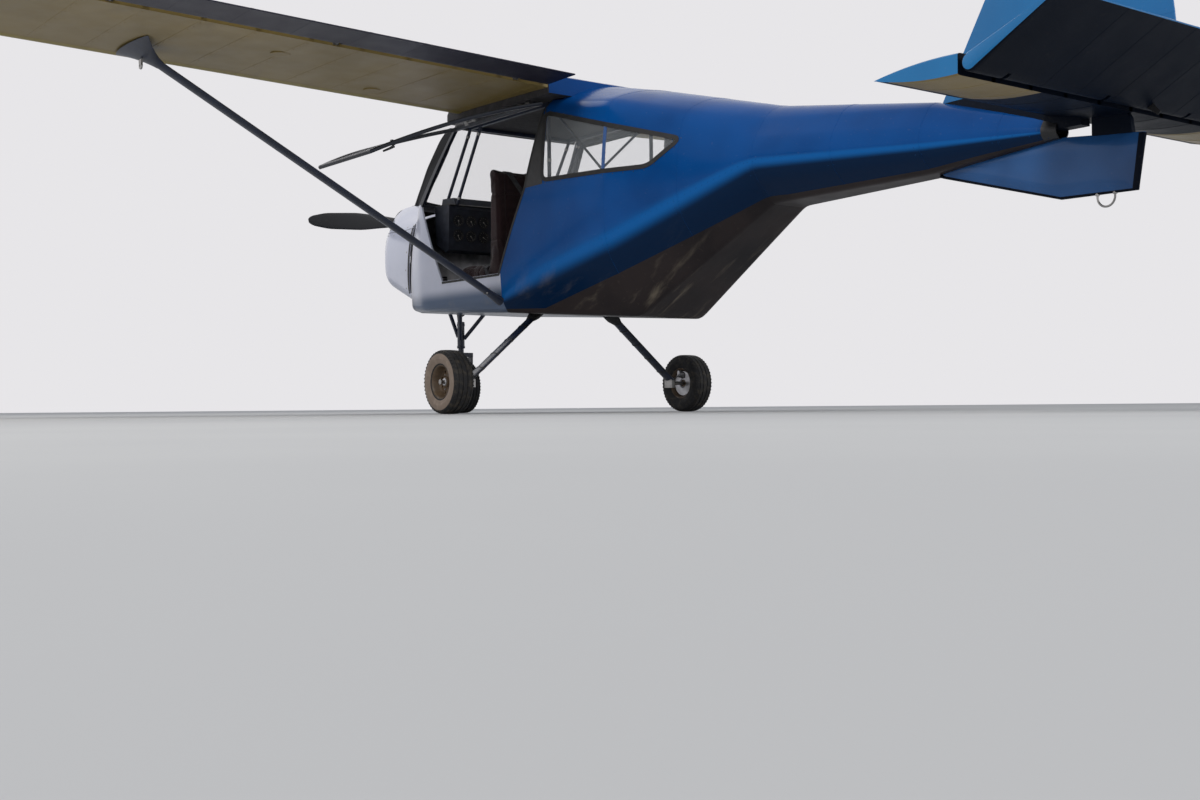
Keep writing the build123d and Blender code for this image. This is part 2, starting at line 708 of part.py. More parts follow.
with BuildPart() as cowl:
    add(cowl_outer)
    add(cowl_core, mode=Mode.SUBTRACT)
    add(slot_box, mode=Mode.SUBTRACT)
    add(nose_leg_hole, mode=Mode.SUBTRACT)
    for head in REAR_BAR_HEADS:
        notch_y = (head.Y - NOTCH_HALF, head.Y + NOTCH_HALF)
        add(block((COWL_REAR_X, COWL_REAR_X + SLOT_LENGTH), notch_y, (BELOW, NOTCH_TOP)), mode=Mode.SUBTRACT)
    with BuildSketch(Plane.YZ.offset(2045 - 3 * SKIN)):
        with Locations((0, SHAFT_Z)):
            Circle(62)
        with Locations((138, SHAFT_Z - 86), (-138, SHAFT_Z - 86)):
            SlotOverall(116, 74)
        with Locations((0, SHAFT_Z - 275)):
            SlotOverall(260, 100)
    extrude(amount=4 * SKIN, mode=Mode.SUBTRACT)
keep(cowl, "cowl")

# Engine, one plain block with its mount bars and the propeller shaft
ENGINE_X = (1430, 1900)
ENGINE_Z = (1085, 1400)
ENGINE_HALF = 250
with BuildPart() as engine:
    add(block(ENGINE_X, (-ENGINE_HALF, ENGINE_HALF), ENGINE_Z))
    add(block((ENGINE_X[1] - 60, ENGINE_X[1] + 55), (-70, 70), (SHAFT_Z - 120, SHAFT_Z + 66)))
    add(rod((ENGINE_X[1], 0, SHAFT_Z), (HUB_X + 30, 0, SHAFT_Z), SHAFT_R))
    for y in (-220, 220):
        for z in (ENGINE_Z[0] + 40, ENGINE_Z[1] - 40):
            add(rod((COWL_REAR_X, y, z), (ENGINE_X[0] + 20, y, z), 14))
keep(engine, "engine")

# Propeller: hub, three twisted blades, spinner
BLADE_ROWS = [(60, 62, 52, 58), (190, 120, 34, 40), (430, 150, 20, 25), (700, 128, 13, 17), (835, 70, 7, 14)]
BLADE_X = HUB_X + 42


def blade_section(radius, chord, thick, twist):
    """One section of the blade that points to port, twisted about its own axis."""
    turn = radians(twist)
    plane = Plane(origin=(BLADE_X, radius, SHAFT_Z), x_dir=(sin(turn), 0, cos(turn)), z_dir=(0, 1, 0))
    return plane * lens(chord, thick)


# Columns of BLADE_ROWS: radius, chord, thickness, twist
blade_sections = [blade_section(*row) for row in BLADE_ROWS]
tip_radius, tip_chord, tip_thick, tip_twist = BLADE_ROWS[-1]
blade_tip = blade_section(PROP_R, tip_chord * 0.45, tip_thick * 0.7, tip_twist)
with BuildPart() as blade:
    for inner, outer in zip(blade_sections, blade_sections[1:] + [blade_tip]):
        loft([inner, outer], ruled=True)
SHAFT_LINE = Axis((0, 0, SHAFT_Z), (1, 0, 0))
blades = [blade.part.rotate(SHAFT_LINE, BLADE_START + turn * 360 / BLADES) for turn in range(BLADES)]
with BuildPart() as propeller:
    with BuildSketch(Plane.YZ.offset(HUB_X)):
        with Locations((0, SHAFT_Z)):
            Circle(HUB_R)
    extrude(amount=HUB_LENGTH)
    for one in blades:
        add(one)
    with BuildSketch(Plane.YZ.offset(HUB_X - 10)):
        with Locations((0, SHAFT_Z)):
            Circle(SHAFT_R + PIN_PLAY)
    extrude(amount=45, mode=Mode.SUBTRACT)
keep(propeller, "propeller")
SPINNER_X = HUB_X + HUB_LENGTH
SPINNER_LENGTH = NOSE_REACH - SPINNER_X
SPINNER_TIP_R = 14
with BuildPart() as spinner:
    with BuildSketch(Plane.XZ):
        with BuildLine():
            Line((SPINNER_X, SHAFT_Z), (SPINNER_X, SHAFT_Z + HUB_R))
            ThreePointArc(
                (SPINNER_X, SHAFT_Z + HUB_R),
                (SPINNER_X + 0.62 * SPINNER_LENGTH, SHAFT_Z + 0.70 * HUB_R),
                (NOSE_REACH, SHAFT_Z + SPINNER_TIP_R),
            )
            Line((NOSE_REACH, SHAFT_Z + SPINNER_TIP_R), (NOSE_REACH, SHAFT_Z))
            Line((NOSE_REACH, SHAFT_Z), (SPINNER_X, SHAFT_Z))
        make_face()
    revolve(axis=SHAFT_LINE)
keep(spinner, "spinner")

# Stabiliser, fin and ventral fin
with BuildPart() as stabiliser:
    half = STABILISER_HALF_THICK
    leading = (STABILISER_LE_X, STABILISER_Z + STABILISER_LE_RISE)
    rear_top = (STABILISER_REAR_X, STABILISER_Z + half)
    rear_low = (STABILISER_REAR_X, STABILISER_Z - half)
    with BuildSketch(Plane.XZ.offset(-STABILISER_HALF_SPAN)):
        with BuildLine():
            ThreePointArc(leading, (STABILISER_LE_X - 140, STABILISER_Z + 0.84 * half), rear_top)
            Line(rear_top, rear_low)
            ThreePointArc(rear_low, (STABILISER_LE_X - 140, STABILISER_Z - 0.50 * half), leading)
        make_face()
    extrude(amount=2 * STABILISER_HALF_SPAN)
    add(boom_outer, mode=Mode.SUBTRACT)
    reach = STABILISER_REAR_X + 4 - ELEVATOR_HINGE_X
    for y in ELEVATOR_STATIONS:
        for side in (1, -1):
            axis_at = (ELEVATOR_HINGE_X, side * y, STABILISER_Z)
            add(hinge_arm(axis_at, (0, -1, 0), [(reach, 16), (0, 10), (0, -10), (reach, -16)]))
keep(stabiliser, "stabiliser")

elevator_forward = Vector(cos(radians(ELEVATOR_UP)), 0, -sin(radians(ELEVATOR_UP)))
elevator_plane = Plane(
    origin=(ELEVATOR_HINGE_X, STABILISER_HALF_SPAN, STABILISER_Z), x_dir=elevator_forward, z_dir=(0, -1, 0)
)
elevator_slots = [
    hinge_slot((ELEVATOR_HINGE_X, side * y, STABILISER_Z), elevator_forward, (0, 1, 0), ELEVATOR_NOSE_R)
    for y in ELEVATOR_STATIONS
    for side in (1, -1)
]
with BuildPart() as elevator:
    extrude(surface_profile(elevator_plane, ELEVATOR_NOSE_R, ELEVATOR_CHORD), amount=2 * STABILISER_HALF_SPAN)
    for slot in elevator_slots:
        add(slot, mode=Mode.SUBTRACT)
keep(elevator, "elevator")


def fin_section(z, front_x, rear_x, half):
    """The fin's outline in plan: two arcs from the leading edge to a flat rear face."""
    with BuildSketch(Plane.XY.offset(z)) as outline:
        with BuildLine():
            quarter = front_x + 0.3 * (rear_x - front_x)
            ThreePointArc((front_x, 0), (quarter, 0.72 * half), (rear_x, half))
            Line((rear_x, half), (rear_x, -half))
            ThreePointArc((rear_x, -half), (quarter, -0.72 * half), (front_x, 0))
        make_face()
    return outline.sketch


post_reach = FIN_POST_X + 4 - RUDDER_HINGE_X
fin_arms = [
    hinge_arm((RUDDER_HINGE_X, 0, z), (0, 0, 1), [(post_reach, 14), (0, 10), (0, -10), (post_reach, -14)])
    for z in RUDDER_STATIONS
]
FIN_FOOT_Z = 1240
with BuildPart() as fin:
    loft(
        [fin_section(FIN_FOOT_Z, -2855, FIN_POST_X, 32), fin_section(FIN_TOP_Z, -3505, FIN_POST_X, 24)],
        ruled=True,
    )
    add(boom_outer, mode=Mode.SUBTRACT)
    add(block((-4000, BOOM_END_X + 42), (-200, 200), (BELOW, STABILISER_Z)), mode=Mode.SUBTRACT)
    add(stabiliser.part, mode=Mode.SUBTRACT)
    for arm in fin_arms:
        add(arm)
keep(fin, "fin")

rudder_slots = [
    hinge_slot((RUDDER_HINGE_X, 0, z), (1, 0, 0), (0, 0, 1), 28) for z in RUDDER_STATIONS
]


def rudder_section(z, nose_r, chord):
    """The rudder's section in plan at height z."""
    plane = Plane(origin=(RUDDER_HINGE_X, 0, z), x_dir=(1, 0, 0), z_dir=(0, 0, 1))
    return surface_profile(plane, nose_r, chord)


foot_rise = side_slab(
    [(RUDDER_HINGE_X - 28, RUDDER_FOOT_Z - 10), (RUDDER_HINGE_X - 440, RUDDER_FOOT_Z - 10),
     (RUDDER_HINGE_X - 440, RUDDER_FOOT_Z + RUDDER_FOOT_RISE)],
    -60, 60,
)
with BuildPart() as rudder:
    loft([rudder_section(RUDDER_FOOT_Z, 28, 410), rudder_section(FIN_TOP_Z - 8, 21, 300)], ruled=True)
    add(foot_rise, mode=Mode.SUBTRACT)
    for slot in rudder_slots:
        add(slot, mode=Mode.SUBTRACT)
keep(rudder, "rudder")

VENTRAL_OUTLINE = [(-2960, 1190), (-3000, 1120), (-3640, 940), (-4010, 934), (-4045, 1168), (-3640, 1205)]
WEB_OUTLINE = [(-3800, 1100), (-3800, STABILISER_Z - 20), (-3960, STABILISER_Z - 20), (-3985, 1236), (-4000, 1100)]
with BuildPart() as ventral_fin:
    add(side_slab(VENTRAL_OUTLINE, -22, 22))
    add(side_slab(WEB_OUTLINE, -16, 16))
    add(boom_outer, mode=Mode.SUBTRACT)
    add(stabiliser.part, mode=Mode.SUBTRACT)
keep(ventral_fin, "ventral_fin")

# Wire loop under the ventral fin
LOOP_X = -3860
LOOP_R = 42
WIRE_R = 5
with BuildPart() as tail_loop:
    with BuildLine(Plane.XZ):
        Line((LOOP_X + LOOP_R, 948), (LOOP_X + LOOP_R, 918))
        ThreePointArc((LOOP_X + LOOP_R, 918), (LOOP_X, 918 - LOOP_R), (LOOP_X - LOOP_R, 918))
        Line((LOOP_X - LOOP_R, 918), (LOOP_X - LOOP_R, 948))
    with BuildSketch(Plane(origin=(LOOP_X + LOOP_R, 0, 948), z_dir=(0, 0, -1))):
        Circle(WIRE_R)
    sweep()
    add(ventral_fin.part, mode=Mode.SUBTRACT)
keep(tail_loop, "tail_loop")


# Wing struts, each ending in a gusset plate under the wing with a tie-down hole
strut_bar = faired_bar(STRUT_FOOT, STRUT_TOP, STRUT_CHORD, STRUT_THICK)
GUSSET_Y = 2740
GUSSET_THICK = 10
gusset_share = (GUSSET_Y - STRUT_FOOT[1]) / (STRUT_TOP[1] - STRUT_FOOT[1])
gusset_x = STRUT_FOOT[0] + gusset_share * (STRUT_TOP[0] - STRUT_FOOT[0])
gusset_z = STRUT_FOOT[2] + gusset_share * (STRUT_TOP[2] - STRUT_FOOT[2])
gusset_outline = [
    (gusset_x - 270, gusset_z + 60),
    (gusset_x + 280, gusset_z + 60),
    (gusset_x + 90, gusset_z - 50),
    (gusset_x - 60, gusset_z - 50),
]
with BuildPart() as strut_port:
    add(strut_bar)
    add(side_slab(gusset_outline, GUSSET_Y - GUSSET_THICK / 2, GUSSET_Y + GUSSET_THICK / 2))
    add(wing_port.part, mode=Mode.SUBTRACT)
    add(cabin_outer, mode=Mode.SUBTRACT)
    add(rear_outer, mode=Mode.SUBTRACT)
keep(strut_port, "strut_port")
keep(other_side(strut_port), "strut_starboard")

# Tie-down lugs, a plate with an eye under each gusset
lug_top = gusset_z - 50
lug_x = gusset_x + 15
with BuildPart() as tiedown_port:
    with BuildSketch(Plane.XZ.offset(-GUSSET_Y - GUSSET_THICK / 2)):
        with Locations((lug_x, lug_top - LUG_R)):
            Circle(LUG_R)
            Rectangle(2 * LUG_R, LUG_R, align=(Align.CENTER, Align.MIN))
            Circle(TIEDOWN_R, mode=Mode.SUBTRACT)
    extrude(amount=GUSSET_THICK)
    add(strut_bar, mode=Mode.SUBTRACT)
keep(tiedown_port, "tiedown_port")
keep(other_side(tiedown_port), "tiedown_starboard")

# Main gear legs, each with its stub axle and brake block
LEG_TOP = (0, 270, 655)
LEG_FOOT = (0, 800, 215)
leg_bar = faired_bar(LEG_TOP, LEG_FOOT, 88, 28)
TYRE_INNER_Y = HALF_TRACK - TYRE_WIDTH / 2
with BuildPart() as main_leg:
    add(leg_bar)
    add(block((-38, 38), (782, 812), (WHEEL_R - 38, WHEEL_R + 42)))
    add(rod((0, 790, WHEEL_R), (0, HALF_TRACK + 62, WHEEL_R), AXLE_R))
    add(rod((0, HALF_TRACK + 48, WHEEL_R), (0, HALF_TRACK + 62, WHEEL_R), AXLE_R + 6))
    add(cabin_outer, mode=Mode.SUBTRACT)
    add(rear_outer, mode=Mode.SUBTRACT)
keep(main_leg, "main_leg_port")
keep(other_side(main_leg), "main_leg_starboard")


def wheel(x, y, radius, width, rim_r, axle_r):
    """A dished rim and its tyre about an axle along Y, in sections of (y, distance from the axle)."""
    plane = Plane(origin=(x, y, radius), x_dir=(0, 1, 0), z_dir=(1, 0, 0))
    spin = Axis((x, y, radius), (0, 1, 0))
    rim_half = RIM_SHARE * width
    hub_r = axle_r + HUB_WALL
    rim_port_half = [
        (rim_half, rim_r), (rim_half, rim_r - RIM_THICK), (WEB_HALF, rim_r - RIM_THICK - WEB_HALF),
        (WEB_HALF, hub_r + 4), (HUB_HALF, hub_r), (HUB_HALF, axle_r + PIN_PLAY),
    ]
    side = width / 2
    tyre_port_half = [(side, rim_r), (side, radius - TYRE_SHOULDER), (side - TYRE_SHOULDER, radius)]
    solids = []
    for port_half in (rim_port_half, tyre_port_half):
        starboard_half = [(-across, out) for across, out in reversed(port_half)]
        with BuildPart() as ring:
            with BuildSketch(plane):
                with BuildLine():
                    Polyline(*port_half, *starboard_half, close=True)
                make_face()
            revolve(axis=spin)
        solids.append(ring)
    return solids


port_rim, port_tyre = wheel(0, HALF_TRACK, WHEEL_R, TYRE_WIDTH, RIM_R, AXLE_R)
keep(port_rim, "rim_port")
keep(port_tyre, "tyre_port")
keep(other_side(port_rim), "rim_starboard")
keep(other_side(port_tyre), "tyre_starboard")
nose_rim, nose_tyre = wheel(NOSE_WHEEL_X, 0, NOSE_WHEEL_R, NOSE_TYRE_WIDTH, RIM_R - 8, NOSE_AXLE_R)
keep(nose_rim, "rim_nose")
keep(nose_tyre, "tyre_nose")

# Nose leg: a sleeve held by two pairs of bars, and the steered fork whose stem turns in it
SLEEVE_Z = (470, 650)
with BuildPart() as nose_leg:
    add(rod((NOSE_WHEEL_X, 0, SLEEVE_Z[0]), (NOSE_WHEEL_X, 0, SLEEVE_Z[1]), STEM_R + 9))
    for side in (1, -1):
        add(rod((NOSE_WHEEL_X, 0, 545), (1640, side * 90, ENGINE_Z[0] + 5), BAR_R))
    for head in REAR_BAR_HEADS:
        add(rod(REAR_BAR_FOOT, head, BAR_R))
    bore_from, bore_to = (NOSE_WHEEL_X, 0, SLEEVE_Z[0] - 1), (NOSE_WHEEL_X, 0, SLEEVE_Z[1] + 40)
    add(rod(bore_from, bore_to, STEM_R + PIN_PLAY), mode=Mode.SUBTRACT)
    add(engine.part, mode=Mode.SUBTRACT)
    add(firewall.part, mode=Mode.SUBTRACT)
keep(nose_leg, "nose_leg")
CROWN_Z = (NOSE_WHEEL_R * 2 + 28, NOSE_WHEEL_R * 2 + 58)
BLADE_IN = NOSE_TYRE_WIDTH / 2 + 14
BLADE_OUT = BLADE_IN + 12
with BuildPart() as nose_fork:
    add(rod((NOSE_WHEEL_X, 0, CROWN_Z[1] - 2), (NOSE_WHEEL_X, 0, SLEEVE_Z[1] + 12), STEM_R))
    add(rod((NOSE_WHEEL_X, 0, SLEEVE_Z[1] + 1), (NOSE_WHEEL_X, 0, SLEEVE_Z[1] + 12), STEM_R + 7))
    add(block((NOSE_WHEEL_X - 36, NOSE_WHEEL_X + 36), (-BLADE_OUT, BLADE_OUT), CROWN_Z))
    for low, high in ((BLADE_IN, BLADE_OUT), (-BLADE_OUT, -BLADE_IN)):
        add(block((NOSE_WHEEL_X - 26, NOSE_WHEEL_X + 26), (low, high), (NOSE_WHEEL_R - 26, CROWN_Z[0] + 4)))
    axle_half = BLADE_OUT + 26
    add(rod((NOSE_WHEEL_X, -axle_half, NOSE_WHEEL_R), (NOSE_WHEEL_X, axle_half, NOSE_WHEEL_R), NOSE_AXLE_R))
keep(nose_fork, "nose_fork")
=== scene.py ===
import math

import bmesh
import bpy
from mathutils import Matrix, Vector


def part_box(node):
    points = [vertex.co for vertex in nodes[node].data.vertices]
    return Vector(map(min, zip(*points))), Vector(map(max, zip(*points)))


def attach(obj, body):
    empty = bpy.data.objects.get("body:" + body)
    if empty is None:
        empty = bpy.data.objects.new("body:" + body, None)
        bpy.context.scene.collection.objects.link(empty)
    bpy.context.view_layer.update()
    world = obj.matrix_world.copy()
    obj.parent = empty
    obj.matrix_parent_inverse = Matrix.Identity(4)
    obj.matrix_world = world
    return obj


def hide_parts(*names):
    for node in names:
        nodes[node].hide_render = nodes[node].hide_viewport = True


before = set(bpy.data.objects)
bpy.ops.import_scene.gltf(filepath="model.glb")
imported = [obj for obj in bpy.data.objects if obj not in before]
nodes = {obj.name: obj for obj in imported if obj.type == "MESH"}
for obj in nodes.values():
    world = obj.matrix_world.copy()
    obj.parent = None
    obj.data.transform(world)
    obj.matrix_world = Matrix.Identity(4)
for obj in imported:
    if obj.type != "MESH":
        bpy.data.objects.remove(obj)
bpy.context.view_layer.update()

# Shapes are drawn in metres with x measured from the main axle, and set down at AXLE_X in the frame
rim_low, rim_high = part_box("rim_port")
AXLE_X = (rim_low.x + rim_high.x) / 2
TAU = 2 * math.pi
PORT, STARBOARD = 1, -1
SIDES = (("port", PORT), ("starboard", STARBOARD))


# Material building blocks
def socket(shader, name, value):
    """Sets a constant on the shader's own socket."""
    shader.inputs[name].default_value = value


class Paint:
    """A node material that is built up in steps, with object coordinates as its only source of place."""

    def __init__(self, name, rough=0.4, metal=0.0, coat=0.0, coat_rough=0.05, alpha=1.0):
        self.material = bpy.data.materials.new(name)
        self.material.use_nodes = True
        self.tree = self.material.node_tree
        self.shader = self.tree.nodes["Principled BSDF"]
        socket(self.shader, "Roughness", rough)
        socket(self.shader, "Metallic", metal)
        socket(self.shader, "Coat Weight", coat)
        socket(self.shader, "Coat Roughness", coat_rough)
        socket(self.shader, "Alpha", alpha)
        self.place = self.node("ShaderNodeTexCoord").outputs["Object"]
        self.height = None

    def node(self, kind, **values):
        made = self.tree.nodes.new(kind)
        for key, value in values.items():
            setattr(made, key, value)
        return made

    def link(self, source, target):
        self.tree.links.new(source, target)

    def scaled(self, stretch):
        """Object coordinates stretched along each axis."""
        mapping = self.node("ShaderNodeMapping")
        mapping.inputs["Scale"].default_value = stretch
        self.link(self.place, mapping.inputs["Vector"])
        return mapping.outputs["Vector"]

    def noise(self, scale, detail=4.0, rough=0.5, stretch=None):
        made = self.node("ShaderNodeTexNoise")
        made.inputs["Scale"].default_value = scale
        made.inputs["Detail"].default_value = detail
        made.inputs["Roughness"].default_value = rough
        self.link(self.scaled(stretch) if stretch else self.place, made.inputs["Vector"])
        return made.outputs["Fac"]

    def wave(self, scale, direction):
        made = self.node("ShaderNodeTexWave", wave_type="BANDS", bands_direction=direction)
        made.inputs["Scale"].default_value = scale
        self.link(self.place, made.inputs["Vector"])
        return made.outputs["Fac"]

    def ramp(self, source, low, high):
        """Source mapped from low..high to 0..1 with a smooth step."""
        made = self.node("ShaderNodeMapRange", interpolation_type="SMOOTHSTEP")
        made.inputs["From Min"].default_value = low
        made.inputs["From Max"].default_value = high
        self.link(source, made.inputs["Value"])
        return made.outputs["Result"]

    def times(self, first, second):
        made = self.node("ShaderNodeMath", operation="MULTIPLY")
        self.link(first, made.inputs[0])
        if isinstance(second, float):
            made.inputs[1].default_value = second
        else:
            self.link(second, made.inputs[1])
        return made.outputs[0]

    def mix(self, share, first, second):
        """Colour first where share is 0 and second where it is 1. Each is a colour or an output."""
        made = self.node("ShaderNodeMix", data_type="RGBA")
        self.link(share, made.inputs["Factor"])
        for value, key in ((first, "A"), (second, "B")):
            entry = next(i for i in made.inputs if i.name == key and i.type == "RGBA")
            if isinstance(value, tuple):
                entry.default_value = (*value, 1)
            else:
                self.link(value, entry)
        return next(o for o in made.outputs if o.type == "RGBA")

    def colour(self, output):
        self.link(output, self.shader.inputs["Base Color"])
        return self

    def roughness(self, source, low, high):
        made = self.node("ShaderNodeMapRange")
        made.inputs["To Min"].default_value = low
        made.inputs["To Max"].default_value = high
        self.link(source, made.inputs["Value"])
        self.link(made.outputs["Result"], self.shader.inputs["Roughness"])
        return self

    def bump(self, source, distance, strength=1.0):
        """Adds a bump on top of the ones before it."""
        made = self.node("ShaderNodeBump")
        made.inputs["Strength"].default_value = strength
        made.inputs["Distance"].default_value = distance
        self.link(source, made.inputs["Height"])
        if self.height is not None:
            self.link(self.height, made.inputs["Normal"])
        self.height = made.outputs["Normal"]
        self.link(self.height, self.shader.inputs["Normal"])
        return self

    def upright(self, vector, low, high):
        """0 to 1 as a vector's height goes from one value to another."""
        parts = self.node("ShaderNodeSeparateXYZ")
        self.link(vector, parts.inputs[0])
        return self.ramp(parts.outputs["Z"], low, high)

    def above(self, low, high):
        """0 below a height and 1 above another."""
        return self.upright(self.place, low, high)

    def leaning(self, low, high):
        """0 to 1 as the surface's normal turns from one height to another. A height of -1 faces down."""
        return self.upright(self.node("ShaderNodeNewGeometry").outputs["Normal"], low, high)

    def worn(self, colour, bare, amount=0.55):
        """Colour with its convex edges worn to another colour in patches."""
        geometry = self.node("ShaderNodeNewGeometry")
        edges = self.ramp(geometry.outputs["Pointiness"], amount + 0.03, amount + 0.12)
        patches = self.ramp(self.noise(60, 6), 0.52, 0.70)
        return self.mix(self.times(self.times(edges, patches), 0.3), colour, bare)


DUST = (0.34, 0.29, 0.21)
# Heights between which the tub's painted shade low down, the dust and the belly's two bands (a painted
# highlight on the crease and a painted shade below it) fade in
LOW_SHADE_Z, DUST_Z = (0.745, 0.835), (0.55, 1.25)
HIGHLIGHT_LEAN, SHADE_LEAN = (-0.03, -0.16), (-0.20, -0.42)


def gloss_paint(name, colour, deeper, rough=0.16, dust=0.28, coat=0.10, shine=0.30, low_shade=None,
                crease=None):
    """Sprayed gloss paint: slow drift of tone, fine orange peel, dust that gathers low down."""
    paint = Paint(name, coat=coat, coat_rough=0.06)
    socket(paint.shader, "Specular IOR Level", shine)
    tone = paint.mix(paint.ramp(paint.noise(1.7, 3), 0.35, 0.68), colour, deeper)
    specks = paint.ramp(paint.noise(46, 8, 0.62), 0.60, 0.78)
    tone = paint.mix(paint.times(specks, 0.10), tone, DUST)
    # Painted shade: a darker tone low down, where the surface turns under
    if low_shade:
        tone = paint.mix(paint.above(*LOW_SHADE_Z), low_shade, tone)
    # Painted highlight on the rounded crease, and painted shade on the faces below it that turn downwards
    if crease:
        crease_highlight, crease_shade = crease
        tone = paint.mix(paint.leaning(*HIGHLIGHT_LEAN), tone, crease_highlight)
        tone = paint.mix(paint.leaning(*SHADE_LEAN), tone, crease_shade)
    streaks = paint.ramp(paint.noise(5, 6, 0.6, stretch=(0.5, 3.0, 0.35)), 0.52, 0.80)
    low = paint.ramp(paint.above(*DUST_Z), 1.0, 0.0)
    tone = paint.mix(paint.times(paint.times(streaks, low), dust), tone, DUST)
    paint.colour(tone)
    paint.roughness(paint.noise(9, 5), rough - 0.05, rough + 0.16)
    paint.bump(paint.noise(330, 2), 0.00016, 0.5)
    paint.bump(paint.noise(6, 2), 0.0016, 0.35)
    return paint.material


def cover_cloth(name, colour, deeper, rough=0.42, coat=0.15, shine=0.35):
    """Doped polyester over ribs: fine weave, broad stains, satin finish."""
    paint = Paint(name, coat=coat, coat_rough=0.22)
    socket(paint.shader, "Specular IOR Level", shine)
    tone = paint.mix(paint.ramp(paint.noise(1.1, 5, 0.55), 0.34, 0.70), colour, deeper)
    stains = paint.ramp(paint.noise(3.2, 7, 0.6, stretch=(0.45, 1.6, 1.0)), 0.56, 0.80)
    tone = paint.mix(paint.times(stains, 0.35), tone, tuple(0.45 * c for c in deeper))
    specks = paint.ramp(paint.noise(70, 6), 0.62, 0.76)
    tone = paint.mix(paint.times(specks, 0.05), tone, DUST)
    paint.colour(tone)
    paint.roughness(paint.noise(7, 5), rough - 0.10, rough + 0.14)
    for direction in "XY":
        paint.bump(paint.wave(620, direction), 0.00008, 0.4)
    return paint.material


def coated_metal(name, colour, rough=0.38, bare=(0.42, 0.42, 0.43)):
    """Powder-coated or anodised tube and plate, rubbed through on its edges."""
    paint = Paint(name, coat=0.15, coat_rough=0.25)
    tone = paint.mix(paint.ramp(paint.noise(14, 5), 0.35, 0.7), colour, tuple(0.62 * c for c in colour))
    paint.colour(paint.worn(tone, bare))
    paint.roughness(paint.noise(30, 5), rough - 0.08, rough + 0.15)
    paint.bump(paint.noise(260, 3), 0.00012, 0.5)
    return paint.material


def bare_metal(name, colour, rough=0.32):
    """Bare alloy or steel with fine directional scratches and dull patches."""
    paint = Paint(name, metal=1.0)
    tone = paint.mix(paint.ramp(paint.noise(9, 6), 0.38, 0.68), colour, tuple(0.55 * c for c in colour))
    paint.colour(tone)
    scratch = paint.noise(40, 3, stretch=(1.0, 9.0, 9.0))
    paint.roughness(scratch, rough - 0.10, rough + 0.18)
    paint.bump(scratch, 0.00008, 0.5)
    return paint.material


def rubber(name, colour, dusty, rough=0.72, dust=0.5):
    """Weathered rubber with dried mud in its low places."""
    paint = Paint(name)
    mud = paint.ramp(paint.noise(26, 7, 0.62), 0.46, 0.70)
    tone = paint.mix(paint.times(mud, dust), colour, dusty)
    paint.colour(tone)
    paint.roughness(paint.noise(60, 4), rough - 0.12, rough + 0.14)
    paint.bump(paint.noise(240, 5), 0.0004, 0.6)
    return paint.material


def moulded(name, colour, rough=0.5):
    """Moulded plastic with a fine leather-like grain."""
    paint = Paint(name)
    tone = paint.mix(paint.ramp(paint.noise(22, 5), 0.4, 0.7), colour,
                     tuple(1.5 * c + 0.004 for c in colour))
    paint.colour(paint.worn(tone, tuple(min(1, 1.8 * c + 0.02) for c in colour), 0.57))
    paint.roughness(paint.noise(45, 4), rough - 0.08, rough + 0.12)
    grain = paint.node("ShaderNodeTexVoronoi", feature="DISTANCE_TO_EDGE")
    grain.inputs["Scale"].default_value = 420
    paint.link(paint.place, grain.inputs["Vector"])
    paint.bump(grain.outputs["Distance"], 0.0003, 0.5)
    return paint.material


def seat_cloth(name, colour, deeper):
    """Woven upholstery with a coarse basket weave, sheen and faded patches."""
    paint = Paint(name, rough=0.85)
    socket(paint.shader, "Sheen Weight", 0.35)
    socket(paint.shader, "Sheen Roughness", 0.4)
    tone = paint.mix(paint.ramp(paint.noise(6, 6), 0.36, 0.68), colour, deeper)
    threads = paint.times(paint.wave(150, "X"), paint.wave(150, "Z"))
    across = paint.times(paint.wave(150, "Y"), paint.wave(150, "Z"))
    tone = paint.mix(paint.times(threads, 0.35), tone, tuple(1.9 * c for c in colour))
    paint.colour(tone)
    paint.bump(threads, 0.0006, 0.5)
    paint.bump(across, 0.0006, 0.5)
    return paint.material


def clear_sheet(name, colour, alpha):
    """Clear acrylic: mostly open, with faint haze and fine scratches in its gloss."""
    paint = Paint(name, alpha=alpha, coat=1.0, coat_rough=0.02)
    haze = paint.ramp(paint.noise(8, 6), 0.45, 0.75)
    paint.colour(paint.mix(paint.times(haze, 0.5), colour, tuple(0.8 * c for c in colour)))
    paint.roughness(paint.noise(120, 6, stretch=(1, 4, 1)), 0.02, 0.14)
    return paint.material


# Its crease tones are a painted highlight along the lower crease and a painted shade on the faces turned
# down below it
BLUE = gloss_paint("blue_gloss", (0.0025, 0.080, 0.310), (0.0015, 0.056, 0.225), coat=0.03, shine=0.10,
                   crease=((0.006, 0.130, 0.430), (0.0015, 0.018, 0.060)))
FIN_BLUE = gloss_paint("fin_blue_gloss", (0.014, 0.200, 0.480), (0.010, 0.160, 0.400), dust=0.1)
# Near-black navy that stands for shade: painted shade on the elevator's and stabiliser's undersides, the
# fin's foot and the ventral fin's edges and web
SHADE_NAVY = cover_cloth("navy_painted_shade_cover", (0.0022, 0.0055, 0.014), (0.0014, 0.0035, 0.009),
                        rough=0.45, coat=0.02, shine=0.08)
FLAP_NAVY = cover_cloth("flaperon_navy_cover", (0.022, 0.020, 0.036), (0.012, 0.014, 0.030),
                        rough=0.38, coat=0.10, shine=0.30)
# Its low tone is painted shade on the tub and cowl low down
PALE = gloss_paint("pale_gloss", (0.74, 0.76, 0.88), (0.64, 0.67, 0.80), dust=0.4,
                   low_shade=(0.115, 0.165, 0.265))
# Painted shade on the belly below the crease, its brownish tone a painted reflection of the ground
SHADED_BELLY = gloss_paint("belly_painted_shade", (0.034, 0.026, 0.026), (0.014, 0.012, 0.014), 0.34, dust=0.6, coat=0.0,
                    shine=0.15)
